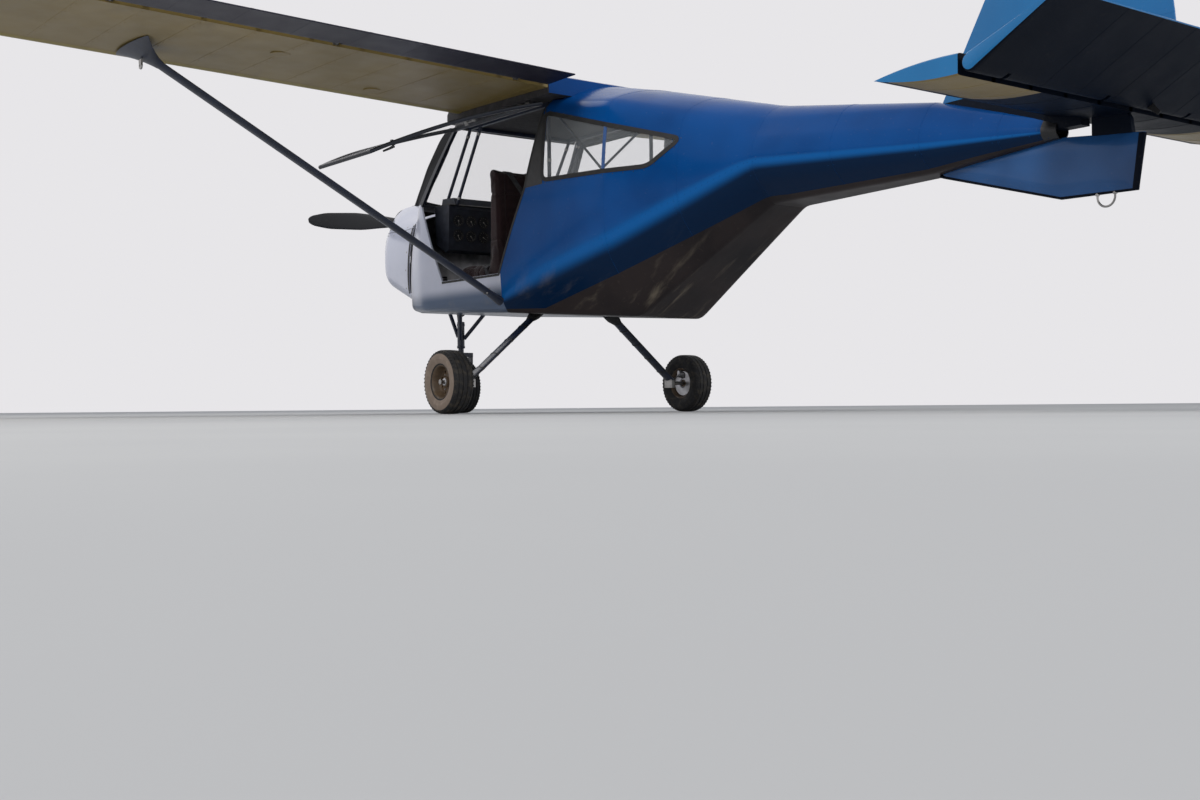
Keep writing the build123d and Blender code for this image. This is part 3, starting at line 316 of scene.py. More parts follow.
# Painted shade: the tub's underside below the crease in a darker grey-blue
SHADED_TUB_BELLY = gloss_paint("tub_belly_painted_shade", (0.090, 0.130, 0.210), (0.060, 0.090, 0.150), 0.26, dust=0.4)
# The olive underside is a painted shade of the yellow top cover
SHADED_COVER = cover_cloth("olive_cover_painted_shade", (0.280, 0.200, 0.062), (0.215, 0.155, 0.050))
COVER_TOP = cover_cloth("olive_cover_top", (0.310, 0.240, 0.052), (0.250, 0.190, 0.042))
VENTRAL_BLUE = gloss_paint("ventral_blue_gloss", (0.030, 0.120, 0.330), (0.010, 0.055, 0.170), dust=0.1)
LINING = moulded("cabin_lining", (0.030, 0.028, 0.030), 0.7)
DARK_METAL = coated_metal("dark_coated_tube", (0.014, 0.022, 0.050))
BLACK_METAL = coated_metal("black_coated_plate", (0.012, 0.012, 0.014))
ALLOY = bare_metal("bare_alloy", (0.58, 0.58, 0.60))
STEEL = bare_metal("bare_steel", (0.42, 0.41, 0.40), 0.28)
TYRE = rubber("tyre_rubber", (0.012, 0.012, 0.013), (0.10, 0.080, 0.055))
# A pale ring on the outer sidewall of the port tyre only
TYRE_RING = rubber("pale_sidewall", (0.30, 0.23, 0.18), (0.42, 0.33, 0.26), dust=0.7)
SEAL = rubber("seal_rubber", (0.010, 0.010, 0.011), (0.05, 0.045, 0.04), 0.6, 0.25)
# A brown coat, partly a painted reflection of the ground in the dish
RIM = coated_metal("rim_coat_and_reflection", (0.16, 0.105, 0.060), 0.42, bare=(0.45, 0.43, 0.40))
DASH = moulded("dash_plastic", (0.018, 0.022, 0.034))
BLACK_PLASTIC = moulded("black_plastic", (0.010, 0.010, 0.011), 0.42)
DARK_BAR = coated_metal("navy_coated_bar", (0.010, 0.018, 0.045), 0.30)
DOOR_DARK = coated_metal("door_frame_coat", (0.010, 0.014, 0.026), 0.34)
UPHOLSTERY = seat_cloth("brown_upholstery", (0.030, 0.009, 0.010), (0.017, 0.006, 0.007))
WEBBING = seat_cloth("belt_webbing", (0.020, 0.022, 0.030), (0.012, 0.012, 0.016))
CLEAR = clear_sheet("clear_acrylic", (0.80, 0.86, 0.90), 0.09)
BLADE = gloss_paint("blade_satin", (0.010, 0.011, 0.014), (0.006, 0.007, 0.009), 0.30, dust=0.1)
CASTING = coated_metal("engine_casting", (0.13, 0.13, 0.135), 0.5)
DIAL_FACE = moulded("dial_face", (0.014, 0.015, 0.018), 0.35)
DIAL_MARK = moulded("dial_mark", (0.62, 0.60, 0.55), 0.5)


# Mesh building blocks
WELD = 1e-6
BEVEL_FROM = math.radians(40)


class Form:
    """Gathers vertices and faces, with a material index for each face."""

    def __init__(self):
        self.verts, self.faces, self.marks = [], [], []

    def point(self, p):
        self.verts.append(Vector(p))
        return len(self.verts) - 1

    def face(self, corners, mark=0):
        self.faces.append(tuple(corners))
        self.marks.append(mark)

    def skin(self, rings, mark=0, closed=True, caps=(True, True), flip=False):
        """Quads between rings of as many points each. Mark is an index or a function of ring and step."""
        rows = [[self.point(p) for p in ring] for ring in rings]
        count = len(rows[0])
        for r, (low, high) in enumerate(zip(rows, rows[1:])):
            for i in range(count if closed else count - 1):
                j = (i + 1) % count
                corners = (low[i], low[j], high[j], high[i])
                self.face(corners[::-1] if flip else corners, mark(r, i) if callable(mark) else mark)
        end_mark = mark(0, 0) if callable(mark) else mark
        if closed and caps[0]:
            self.face(rows[0] if flip else rows[0][::-1], end_mark)
        if closed and caps[1]:
            self.face(rows[-1][::-1] if flip else rows[-1], end_mark)
        return rows

    def tube(self, points, radius, sides=12):
        """A round bar along a line of points, with radius a number or one for each point."""
        line = [Vector(p) for p in points]
        radii = radius if isinstance(radius, (list, tuple)) else [radius] * len(line)
        runs = [(b - a).normalized() for a, b in zip(line, line[1:])]
        lean = [runs[0]] + [(a + b).normalized() for a, b in zip(runs, runs[1:])] + [runs[-1]]
        side = lean[0].orthogonal().normalized()
        rings = []
        for p, d, r in zip(line, lean, radii):
            side = (side - d * side.dot(d)).normalized()
            other = d.cross(side)
            steps = [TAU * i / sides for i in range(sides)]
            rings.append([p + side * (r * math.cos(a)) + other * (r * math.sin(a)) for a in steps])
        self.skin(rings)
        return self

    def turned(self, profile, centre, axis, count=48, mark=0, closed=False):
        """A profile of (along the axis, radius) turned about it. Mark may be a function of its step."""
        centre, axis = Vector(centre), Vector(axis).normalized()
        side = axis.orthogonal().normalized()
        other = axis.cross(side)
        rings = []
        for i in range(count):
            a = TAU * i / count
            out = side * math.cos(a) + other * math.sin(a)
            rings.append([centre + axis * t + out * r for t, r in profile])
        rows = [[self.point(p) for p in ring] for ring in rings]
        steps = len(profile)
        for r in range(count):
            low, high = rows[r], rows[(r + 1) % count]
            for i in range(steps if closed else steps - 1):
                j = (i + 1) % steps
                self.face((low[i], high[i], high[j], low[j]), mark(i) if callable(mark) else mark)
        if not closed:
            for i, order in ((0, 1), (steps - 1, -1)):
                if profile[i][1] > 1e-6:
                    corners = [row[i] for row in rows]
                    self.face(corners[::-order], mark(i) if callable(mark) else mark)
        return self

    def slab(self, outline, across, mark=0):
        """A prism: an outline of points and the vector to its other face."""
        across = Vector(across)
        low = [Vector(p) for p in outline]
        self.skin([low, [p + across for p in low]], mark)
        return self

    def box(self, low, high):
        (a, b, c), (d, e, f) = low, high
        return self.slab([(a, b, c), (d, b, c), (d, e, c), (a, e, c)], (0, 0, f - c))

    def dome(self, centre, normal, radius, height, sides=8, mark=0):
        """A low rivet or screw head."""
        profile = [(0, radius), (0.65 * height, 0.86 * radius), (height, 0.55 * radius)]
        return self.turned(profile, centre, normal, sides, mark)

    def mirrored(self):
        """The same form on the other side of the centre line."""
        twin = Form()
        twin.verts = [Vector((v.x, -v.y, v.z)) for v in self.verts]
        twin.faces = [f[::-1] for f in self.faces]
        twin.marks = list(self.marks)
        return twin

    def turned_about(self, centre, axis, angle):
        """Turns every point about an axis through a centre."""
        spin = Matrix.Rotation(angle, 4, Vector(axis))
        c = Vector(centre)
        self.verts = [spin @ (v - c) + c for v in self.verts]
        return self

    def join(self, other):
        shift = len(self.verts)
        self.verts += other.verts
        self.faces += [tuple(i + shift for i in f) for f in other.faces]
        self.marks += other.marks
        return self

    def mesh(self, name, materials, sharp=35):
        data = bpy.data.meshes.new(name)
        data.from_pydata([(v.x + AXLE_X, v.y, v.z) for v in self.verts], [], self.faces)
        for m in materials:
            data.materials.append(m)
        data.polygons.foreach_set("material_index", self.marks)
        work = bmesh.new()
        work.from_mesh(data)
        bmesh.ops.remove_doubles(work, verts=work.verts, dist=WELD)
        bmesh.ops.dissolve_degenerate(work, edges=work.edges, dist=WELD / 10)
        bmesh.ops.recalc_face_normals(work, faces=work.faces)
        work.to_mesh(data)
        work.free()
        finish_shading(data, sharp)
        return data


def finish_shading(data, sharp):
    data.shade_smooth()
    data.set_sharp_from_angle(angle=math.radians(sharp))


def place(form, name, materials, body="airframe", slot=None, replaces=(), bevel=0.0, sharp=35):
    """Makes an object of a form, gives it its materials and sets it riding on a body."""
    piece = bpy.data.objects.new(name, form.mesh(name, materials, sharp))
    bpy.context.scene.collection.objects.link(piece)
    if bevel:
        edge = piece.modifiers.new("edge", "BEVEL")
        edge.width, edge.segments, edge.limit_method = bevel, 2, "ANGLE"
        edge.angle_limit = BEVEL_FROM
        edge.harden_normals = True
    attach(piece, body)
    if replaces:
        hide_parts(*replaces)
    return piece


def place_both(rows, body="airframe"):
    """Places each row's form at port and its mirror image at starboard, with the side added to each name.

    A row is name, form, material, slot, CAD node that it replaces or None, bevel and sharp angle.
    """
    for side_name, side in SIDES:
        for name, form, material, slot, node, bevel, sharp in rows:
            made = form if side == PORT else form.mirrored()
            materials = material if isinstance(material, list) else [material]
            hidden = [f"{node}_{side_name}"] if node else []
            on = body.format(side_name)
            place(made, f"{name}_{side_name}", materials, on, slot, hidden, bevel, sharp)


def cut(piece, form, sharp=35):
    """Takes a form out of a piece's mesh."""
    tool = bpy.data.objects.new("cutter", form.mesh("cutter", piece.data.materials[:], 1))
    bpy.context.scene.collection.objects.link(tool)
    difference = piece.modifiers.new("cut", "BOOLEAN")
    difference.object, difference.operation, difference.solver = tool, "DIFFERENCE", "EXACT"
    depsgraph = bpy.context.evaluated_depsgraph_get()
    result = bpy.data.meshes.new_from_object(piece.evaluated_get(depsgraph))
    piece.modifiers.remove(difference)
    old = piece.data
    piece.data = result
    result.name = piece.name
    bpy.data.meshes.remove(old)
    bpy.data.objects.remove(tool)
    finish_shading(piece.data, sharp)


def dress(node, material):
    """Gives a CAD node its material."""
    data = nodes[node].data
    data.materials.clear()
    data.materials.append(material)
    finish_shading(data, 30)


def arc(start, via, end, count):
    """Points on the circle through three points of a plane, from the first to the last."""
    (ax, ay), (bx, by), (cx, cy) = start, via, end
    d = 2 * (ax * (by - cy) + bx * (cy - ay) + cx * (ay - by))
    if abs(d) < 1e-12:
        return [(ax + (cx - ax) * i / (count - 1), ay + (cy - ay) * i / (count - 1))
                for i in range(count)]
    a2, b2, c2 = ax * ax + ay * ay, bx * bx + by * by, cx * cx + cy * cy
    ux = (a2 * (by - cy) + b2 * (cy - ay) + c2 * (ay - by)) / d
    uy = (a2 * (cx - bx) + b2 * (ax - cx) + c2 * (bx - ax)) / d
    radius = math.hypot(ax - ux, ay - uy)
    a, b, c = (math.atan2(y - uy, x - ux) for x, y in (start, via, end))
    sweep = (c - a) % TAU
    if (b - a) % TAU > sweep:
        sweep -= TAU
    angles = [a + sweep * i / (count - 1) for i in range(count)]
    return [(ux + radius * math.cos(t), uy + radius * math.sin(t)) for t in angles]


def lengths(line):
    total = [0.0]
    for p, q in zip(line, line[1:]):
        total.append(total[-1] + (Vector(q) - Vector(p)).length)
    return total


def resample(line, count, start=0.0, end=None):
    """Evenly spaced points of a line between two distances along it."""
    marks = lengths(line)
    end = marks[-1] if end is None else end
    found, k = [], 0
    for i in range(count):
        want = start + (end - start) * i / (count - 1)
        while k < len(marks) - 2 and marks[k + 1] < want:
            k += 1
        span = marks[k + 1] - marks[k]
        share = (want - marks[k]) / span if span > 1e-12 else 0.0
        found.append(Vector(line[k]).lerp(Vector(line[k + 1]), min(max(share, 0), 1)))
    return found


# Fuselage sections. Columns: station x, belly z, belly half-width, crease z, crease half-width,
# side half-width at mid height, shoulder z, shoulder half-width, top z
BODY_ROWS = (
    (1.200, 0.700, 0.430, 0.720, 0.505, 0.512, 1.330, 0.470, 1.425),
    (0.980, 0.690, 0.500, 0.705, 0.560, 0.578, 1.905, 0.505, 2.130),
    (0.000, 0.630, 0.520, 0.705, 0.560, 0.578, 1.905, 0.505, 2.130),
    (-0.970, 0.560, 0.240, 0.935, 0.500, 0.508, 1.790, 0.465, 1.902),
    (-1.960, 1.110, 0.120, 1.250, 0.285, 0.288, 1.500, 0.225, 1.640),
    (-2.970, 1.130, 0.070, 1.215, 0.170, 0.170, 1.395, 0.130, 1.480),
    (-3.645, 1.200, 0.022, 1.220, 0.045, 0.046, 1.262, 0.036, 1.283),
)
COWL_ROWS = (
    (2.045, 1.040, 0.150, 1.110, 0.250, 0.262, 1.420, 0.205, 1.582),
    (1.800, 0.890, 0.250, 0.960, 0.385, 0.395, 1.370, 0.345, 1.545),
    (1.212, 0.735, 0.400, 0.790, 0.500, 0.508, 1.330, 0.465, 1.430),
)
SKIN_THICK = 0.012
SMOOTHING = 0.05


def row_at(rows, x):
    """The row of a section at station x, straight between rows."""
    if x >= rows[0][0]:
        return rows[0][1:]
    for front, rear in zip(rows, rows[1:]):
        if x >= rear[0]:
            share = (front[0] - x) / (front[0] - rear[0])
            return tuple(a + share * (b - a) for a, b in zip(front[1:], rear[1:]))
    return rows[-1][1:]


def smooth_row(rows, x):
    """The section at x with the kinks between runs rounded over a short reach."""
    steps = 7
    offsets = [SMOOTHING * (2 * i / (steps - 1) - 1) for i in range(steps)]
    found = [row_at(rows, x + o) for o in offsets]
    weights = [1.0 - 0.8 * abs(o) / SMOOTHING for o in offsets]
    total = sum(weights)
    return tuple(sum(w * f[k] for w, f in zip(weights, found)) / total for k in range(8))


# Points kept on each stretch of the port half of a section: belly, ramp, side and top
STRETCHES = (5, 5, 18, 12)
# Points that a stretch is first drawn with
FLAT_DRAWN, SIDE_DRAWN, TOP_DRAWN = 12, 40, 31
# Round taken off each corner between the stretches, and steps on it
CORNER_ROUND = (0.020, 0.100, 0.060)
CORNER_STEPS = 7
# Distance that the side's colour reaches down the ramp from the crease
PAINT_REACH = 0.165


def half_section(row, wall=0.0):
    """The port half of a section as (y, z) from the keel to the spine, its corners rounded."""
    belly_z, belly_half, crease_z, crease_half, side_half, shoulder_z, shoulder_half, top_z = row
    foot = (belly_half - wall, belly_z + wall)
    edge = (crease_half - wall, crease_z + wall / 2)
    upper = (shoulder_half - wall, shoulder_z - wall / 2)
    middle = (side_half - wall, (edge[1] + upper[1]) / 2)
    lines = [
        arc((0, foot[1]), (foot[0] / 2, foot[1]), foot, FLAT_DRAWN),
        arc(foot, ((foot[0] + edge[0]) / 2, (foot[1] + edge[1]) / 2), edge, FLAT_DRAWN),
        arc(edge, middle, upper, SIDE_DRAWN),
        arc(upper, (0, top_z - wall), (-upper[0], upper[1]), 2 * TOP_DRAWN - 1)[:TOP_DRAWN],
    ]
    spans = [lengths([(0, *p) for p in line])[-1] for line in lines]
    trims = [min(r, 0.42 * a, 0.42 * b) for r, a, b in zip(CORNER_ROUND, spans, spans[1:])]
    pieces = []
    for i, (line, count) in enumerate(zip(lines, STRETCHES)):
        start = trims[i - 1] if i else 0.0
        end = spans[i] - (trims[i] if i < len(trims) else 0.0)
        run = [(0, *q) for q in line]
        if i == 1:
            fifth = 0.2 * (end - start)
            edge_at = min(max(spans[i] - PAINT_REACH, start + fifth), start + 4 * fifth)
            places = resample(run, 3, start, edge_at)[:-1] + resample(run, 3, edge_at, end)
        else:
            places = resample(run, count, start, end)
        pieces.append([(p.y, p.z) for p in places])
    points = list(pieces[0])
    for i, piece in enumerate(pieces[1:]):
        a, b, c = points[-1], lines[i + 1][0], piece[0]
        for k in range(1, CORNER_STEPS):
            t = k / CORNER_STEPS
            u = 1 - t
            points.append(tuple(u * u * p + 2 * u * t * q + t * t * r for p, q, r in zip(a, b, c)))
        points += piece
    return points


HALF_COUNT = sum(STRETCHES) + 3 * (CORNER_STEPS - 1)
# Steps of the half section below the paint's edge on the ramp
BELLY_STEPS = STRETCHES[0] + CORNER_STEPS - 1 + 2


def full_ring(rows, x, wall=0.0):
    """A closed ring of points at station x, from the keel over port and the spine to starboard."""
    half = half_section(smooth_row(rows, x), wall)
    ring = [Vector((x, y, z)) for y, z in half]
    return ring + [Vector((x, -y, z)) for y, z in half[-2:0:-1]]


def under(_, step):
    """Mark 1 for the faces below the creases, which take the belly's painted shade."""
    count = 2 * HALF_COUNT - 2
    return 1 if min(step, count - 1 - step) < BELLY_STEPS else 0


def stations(start, end, step=0.035):
    count = max(2, round(abs(end - start) / step) + 1)
    return [start + (end - start) * i / (count - 1) for i in range(count)]


def shell(rows, front, rear, wall=SKIN_THICK, lining=2):
    """A hollow run of the skin: outer face, inner face and the rims at both ends."""
    form = Form()
    xs = stations(front, rear)
    outer = form.skin([full_ring(rows, x) for x in xs], under, caps=(False, False), flip=True)
    inner = form.skin([full_ring(rows, x, wall) for x in xs], lining, caps=(False, False))
    for ring_a, ring_b in ((outer[0], inner[0]), (outer[-1], inner[-1])):
        count = len(ring_a)
        for i in range(count):
            j = (i + 1) % count
            form.face((ring_a[i], ring_a[j], ring_b[j], ring_b[i]), lining)
    return form


def side_y(x, z, rows=BODY_ROWS):
    """Half-width of the skin at a height on its side."""
    half = half_section(smooth_row(rows, x))
    for (y0, z0), (y1, z1) in zip(half, half[1:]):
        if z0 <= z <= z1 and z1 > z0:
            return y0 + (y1 - y0) * (z - z0) / (z1 - z0)
    return half[-1][0]


def prism(outline, half=1.3):
    """A side-view outline of (x, z) carried across the whole width."""
    return Form().slab([(x, -half, z) for x, z in outline], (0, 2 * half, 0))


def rounded(outline, radius, steps=6):
    """A closed outline of points with its corners rounded by curves."""
    found = []
    count = len(outline)
    for i, p in enumerate(outline):
        a, b, c = Vector(outline[i - 1]), Vector(p), Vector(outline[(i + 1) % count])
        reach = min(radius, 0.45 * (a - b).length, 0.45 * (c - b).length)
        start, end = b + (a - b).normalized() * reach, b + (c - b).normalized() * reach
        for k in range(steps + 1):
            t = k / steps
            found.append(tuple(start * (1 - t) ** 2 + b * (2 * t * (1 - t)) + end * t * t))
    return found


def rounded_box(low, high, radius, steps):
    """A rectangle between two corners, with its corners rounded."""
    (a, b), (c, d) = low, high
    return rounded([(a, b), (c, b), (c, d), (a, d)], radius, steps)


def dense(outline, step=0.03, closed=True):
    """A side-view line with points added so that none are further apart than the step."""
    found = []
    ends = list(outline[1:]) + ([outline[0]] if closed else [])
    for p, q in zip(outline, ends):
        a, b = Vector(p), Vector(q)
        count = max(1, math.ceil((b - a).length / step))
        found += [tuple(a.lerp(b, i / count)) for i in range(count)]
    if not closed:
        found.append(tuple(outline[-1]))
    return found


def skin_strip(form, line, width, lift, thick, side=PORT, closed=True, rows=BODY_ROWS):
    """A flat strip that lies on the skin's side along a side-view line of (x, z)."""
    points = dense(line, closed=closed)
    count = len(points)
    rings = []
    for i, p in enumerate(points):
        before = points[i - 1] if closed or i else p
        after = points[(i + 1) % count] if closed or i < count - 1 else p
        along = Vector((after[0] - before[0], after[1] - before[1])).normalized()
        off = Vector((-along.y, along.x)) * width / 2
        ring = []
        for sign, height in ((-1, lift - thick), (-1, lift), (1, lift), (1, lift - thick)):
            x, z = p[0] + sign * off.x, p[1] + sign * off.y
            ring.append((x, side * (side_y(x, z, rows) + height), z))
        rings.append(ring)
    if closed:
        rings.append(rings[0])
    form.skin(rings, caps=(not closed, not closed))


def ring_band(form, x, width, lift, first):
    """A strap round the skin at station x, from a step of the half section up, on both sides."""
    for side in (PORT, STARBOARD):
        edge_rings = []
        for end in (-width / 2, width / 2):
            half = half_section(smooth_row(BODY_ROWS, x + end))
            middle_z = half[len(half) // 2][1]
            line = []
            for y, z in half[first:]:
                away = Vector((y, (z - middle_z) * 0.6)).normalized() * lift
                line.append(Vector((x + end, side * (y + away.x), z + away.y)))
            edge_rings.append(line)
        inner = [[Vector((p.x, p.y * 0.99, p.z - math.copysign(0.002, p.z - 1.3))) for p in line]
                 for line in edge_rings]
        form.skin([list(points) for points in zip(inner[0], edge_rings[0], edge_rings[1], inner[1])])


def rivets(form, points, radius=0.0030, height=0.0011):
    """Rivet heads at (place, outward direction) pairs."""
    for p, out in points:
        form.dome(Vector(p) - Vector(out).normalized() * 0.0004, out, radius, height, 6)


def side_rivets(line, pitch, side, rows=BODY_ROWS, closed=False):
    """Places on the skin's side along a side-view line, at an even pitch."""
    run = [(x, 0.0, z) for x, z in (list(line) + [line[0]] if closed else line)]
    total = lengths(run)[-1]
    count = max(2, round(total / pitch) + 1)
    found = []
    for p in resample(run, count):
        slope = (side_y(p.x, p.z + 0.01, rows) - side_y(p.x, p.z - 0.01, rows)) / 0.02
        found.append(((p.x, side * side_y(p.x, p.z, rows), p.z), (0, side, -slope)))
    return found


# Cabin tub, rear fuselage and tail boom
SILL_Z = 0.875
WINDOW = [(-0.400, 1.815), (-0.420, 1.400), (-1.290, 1.372), (-1.500, 1.500)]
WINDOW_ROUND = 0.05
ROOF_REAR_X, ROOF_UNDERSIDE = -0.523, 1.905
FIREWALL_X, BOOM_FRONT_X, BOOM_REAR_X = 1.200, -1.960, -3.645
# Station from which the boom's end is dark, and the rim and depth of its open end
BOOM_DARK_X, END_WALL, END_DEEP_WALL, END_DEEP_X = -3.545, 0.004, 0.006, -3.600

tub = shell(BODY_ROWS, FIREWALL_X, 0.0)
tub_piece = place(tub, "tub_shell", [PALE, SHADED_TUB_BELLY, LINING], slot="pale_paint", replaces=["cabin_tub"])
cut(tub_piece, prism([
    (-0.05, SILL_Z), (0.702, SILL_Z), (0.968, 1.402), (0.980, 1.418), (1.25, 1.430), (1.25, 2.4),
    (-0.05, 2.4)
]))
scuttle = Form()
scuttle_rings = []
scuttle_low, scuttle_high = 1.404, 1.4145
for x in stations(0.974, FIREWALL_X):
    low_half, high_half = side_y(x, scuttle_low) - 0.004, side_y(x, scuttle_high) - 0.006
    scuttle_rings.append([(x, -low_half, scuttle_low), (x, low_half, scuttle_low),
                          (x, high_half, scuttle_high), (x, -high_half, scuttle_high)])
scuttle.skin(scuttle_rings)
place(scuttle, "scuttle", [DASH], slot="pale_paint", sharp=30)

rear = shell(BODY_ROWS, 0.0, BOOM_FRONT_X)
rear_piece = place(rear, "rear_shell", [BLUE, SHADED_BELLY, LINING], slot="blue_paint",
                   replaces=["rear_fuselage"])
cut(rear_piece, prism([
    (0.05, SILL_Z), (0.008, SILL_Z), (-0.243, 1.360), (-0.383, ROOF_UNDERSIDE), (-0.383, 2.4), (0.05, 2.4)
]))
cut(rear_piece, Form().box((ROOF_REAR_X, -1.3, ROOF_UNDERSIDE), (0.05, 1.3, 2.5)))
cut(rear_piece, prism(rounded(WINDOW, WINDOW_ROUND)))

boom = Form()
boom_xs = stations(BOOM_FRONT_X, BOOM_REAR_X)
boom_dark_from = sum(1 for x in boom_xs if x > BOOM_DARK_X)
boom.skin([full_ring(BODY_ROWS, x) for x in boom_xs],
          lambda r, i: 2 if r >= boom_dark_from else under(r, i),
          caps=(True, False), flip=True)
open_end = ((BOOM_REAR_X, 0.0), (BOOM_REAR_X, END_WALL), (END_DEEP_X, END_DEEP_WALL))
boom.skin([full_ring(BODY_ROWS, x, wall) for x, wall in open_end], 2, caps=(False, True), flip=True)
place(boom, "boom_shell", [BLUE, SHADED_BELLY, BLACK_METAL], slot="blue_paint", replaces=["tail_boom"])

# Straps over the skin's seams, and rivets along the straps, the creases and the spine
SEAM_STATIONS = (-0.970, -1.480, -1.960, -2.460, -2.970, -3.360)
seams = Form()
seam_rivets = Form()
for x in SEAM_STATIONS:
    ring_band(seams, x, 0.022, 0.0008, BELLY_STEPS)
    half = half_section(smooth_row(BODY_ROWS, x))
    z_low, z_high = half[BELLY_STEPS + 5][1], half[BELLY_STEPS + 20][1]
    for side in (PORT, STARBOARD):
        for dx in (-0.017, 0.017):
            line = [(x + dx, z_low), (x + dx, z_high)]
            rivets(seam_rivets, side_rivets(line, 0.034, side))
place(seams, "skin_seams", [BLUE], slot="blue_paint", sharp=30)
for side in (PORT, STARBOARD):
    # Columns 2 and 5 of a row without its station are the crease's and the shoulder's heights
    for front_x, column, off in ((-0.03, 2, 0.075), (-0.56, 5, -0.065)):
        line = [(x, smooth_row(BODY_ROWS, x)[column] + off)
                for x in (front_x, -0.97, -1.96, -2.97, -3.60)]
        rivets(seam_rivets, side_rivets(line, 0.040, side))
place(seam_rivets, "skin_rivets", [BLUE], slot="blue_paint")

# Windows of the rear fuselage: panes kept, with seals and screws round them
glazing = Form()
glazing_screws = Form()
for side in (PORT, STARBOARD):
    skin_strip(glazing, rounded(WINDOW, WINDOW_ROUND), 0.026, 0.0028, 0.004, side)
    grown = [(-0.378, 1.838), (-0.399, 1.379), (-1.296, 1.350), (-1.535, 1.496)]
    rivets(glazing_screws, side_rivets(rounded(grown, 0.06), 0.075, side, closed=True), 0.0042, 0.0018)
place(glazing, "window_seals", [SEAL], slot="dark_plastic")
place(glazing_screws, "window_screws", [BLACK_METAL], slot="bare_wire")
for name in ("rear_window_port", "rear_window_starboard", "windscreen", "door_pane_port",
             "door_pane_starboard"):
    dress(name, CLEAR)

# A dark trim on the skin between the door's rear edge and the window
post_trim = Form()
POST_FRONT = Vector((-0.392, 1.880)), Vector((-0.262, 1.372))
POST_BACK = Vector((-0.407, 1.828)), Vector((-0.424, 1.378))
POST_SECTION = ((0, -0.002), (0, 0.0014), (0.33, 0.0014), (0.66, 0.0014), (1, 0.0014), (1, -0.002))
POST_STEPS = 14
for side in (PORT, STARBOARD):
    rings = []
    for i in range(POST_STEPS + 1):
        t = i / POST_STEPS
        a, b = POST_FRONT[0].lerp(POST_FRONT[1], t), POST_BACK[0].lerp(POST_BACK[1], t)
        places = [(a.lerp(b, share), lift) for share, lift in POST_SECTION]
        rings.append([Vector((p.x, side * (side_y(p.x, p.y) + lift), p.y)) for p, lift in places])
    post_trim.skin(rings)
place(post_trim, "post_trim", [BLACK_PLASTIC], slot="dark_plastic", sharp=30)

# Door seals on the body, and sill plates
door_seals = Form()
for side in (PORT, STARBOARD):
    line = [(0.014, 0.867), (-0.250, 1.362), (-0.392, 1.897)]
    skin_strip(door_seals, line, 0.016, 0.0022, 0.006, side, closed=False)
    sill = [(0.012, 0.866), (0.700, 0.866)]
    skin_strip(door_seals, sill, 0.014, 0.0022, 0.006, side, closed=False)
place(door_seals, "door_seals", [SEAL], slot="dark_plastic")


# Wings: shares of the chord give places on a section
WING_LE = (0.573, 2.006)
WING_CHORD = 1.406
INCIDENCE = math.radians(2.66)
DIHEDRAL = math.radians(1.55)
WING_ROOT_Y = 0.567
HALF_SPAN = 4.775
TIP_CAP = 0.090
FIXED_SHARE = 0.78
RIB_PITCH = 0.294
FIRST_RIB = 0.62
SAG = 0.0036
# Shares of the chord: the end of the stiff nose, and the place that the tip is drawn in to
STIFF_NOSE, CAP_MIDDLE = 0.13, 0.4
FLAPERON_AXIS = (FIXED_SHARE + 0.046 / WING_CHORD, 0.006)
ARM_STATIONS = (0.800, 1.950, 3.150, 4.350)


def wing_point(share, height, y):
    """A point of the wing given in shares of the chord, at spanwise place y."""
    back, up = share * WING_CHORD, height * WING_CHORD
    lift = (y - WING_ROOT_Y) * math.tan(DIHEDRAL)
    x = WING_LE[0] - back * math.cos(INCIDENCE) + up * math.sin(INCIDENCE)
    z = WING_LE[1] - back * math.sin(INCIDENCE) + up * math.cos(INCIDENCE) + lift
    return Vector((x, y, z))


NOSE_STEPS, FRONT_STEPS, REAR_STEPS, FACE_STEPS, FLAT_STEPS = 9, 14, 18, 3, 20
WING_OUTLINE = (
    arc((0.09, -0.032), (0.018, -0.019), (0, 0.006), NOSE_STEPS)[:-1]
    + arc((0, 0.006), (0.08, 0.075), (0.30, 0.112), FRONT_STEPS)[:-1]
    + arc((0.30, 0.112), (0.55, 0.092), (FIXED_SHARE, 0.040), REAR_STEPS)[:-1]
    + [(FIXED_SHARE, 0.040 - 0.054 * i / FACE_STEPS) for i in range(FACE_STEPS)]
    + [(FIXED_SHARE + (0.09 - FIXED_SHARE) * i / FLAT_STEPS, -0.014 - 0.018 * i / FLAT_STEPS)
       for i in range(FLAT_STEPS)]
)
TOP_STEPS = NOSE_STEPS + FRONT_STEPS + REAR_STEPS - 3


def bay_sag(y, first=FIRST_RIB, pitch=RIB_PITCH):
    """0 on a rib and 1 halfway between two."""
    t = ((y - first) / pitch) % 1.0
    return 1.0 - (2.0 * t - 1.0) ** 2


def fade(value, reach):
    """0 below 0, 1 above the reach and straight between."""
    return min(max(value / reach, 0.0), 1.0)


def wing_ring(y, chord_share=1.0, thick_share=1.0, sag=0.0, lift=0.0):
    """The wing's outline at y. The cloth sags between ribs, behind the stiff nose."""
    ring = []
    for step, (share, height) in enumerate(WING_OUTLINE):
        slack = fade(share - STIFF_NOSE, 0.10) * fade(FIXED_SHARE - 0.01 - share, 0.08)
        inward = (sag * slack - lift) / WING_CHORD * (1 if step < TOP_STEPS else -1)
        drawn = CAP_MIDDLE + (share - CAP_MIDDLE) * chord_share
        ring.append(wing_point(drawn, height * thick_share - inward, y))
    return ring


def tape(form, ring_at, place_at, mark, half=0.010, high=0.0006, flip=False):
    """A rib's finishing tape: rings of a surface close together, the middle two lifted off it."""
    edges = ((-half, -0.0004), (0.001 - half, high), (half - 0.001, high), (half, -0.0004))
    form.skin([ring_at(place_at + d, lift) for d, lift in edges], mark, caps=(False, False), flip=flip)


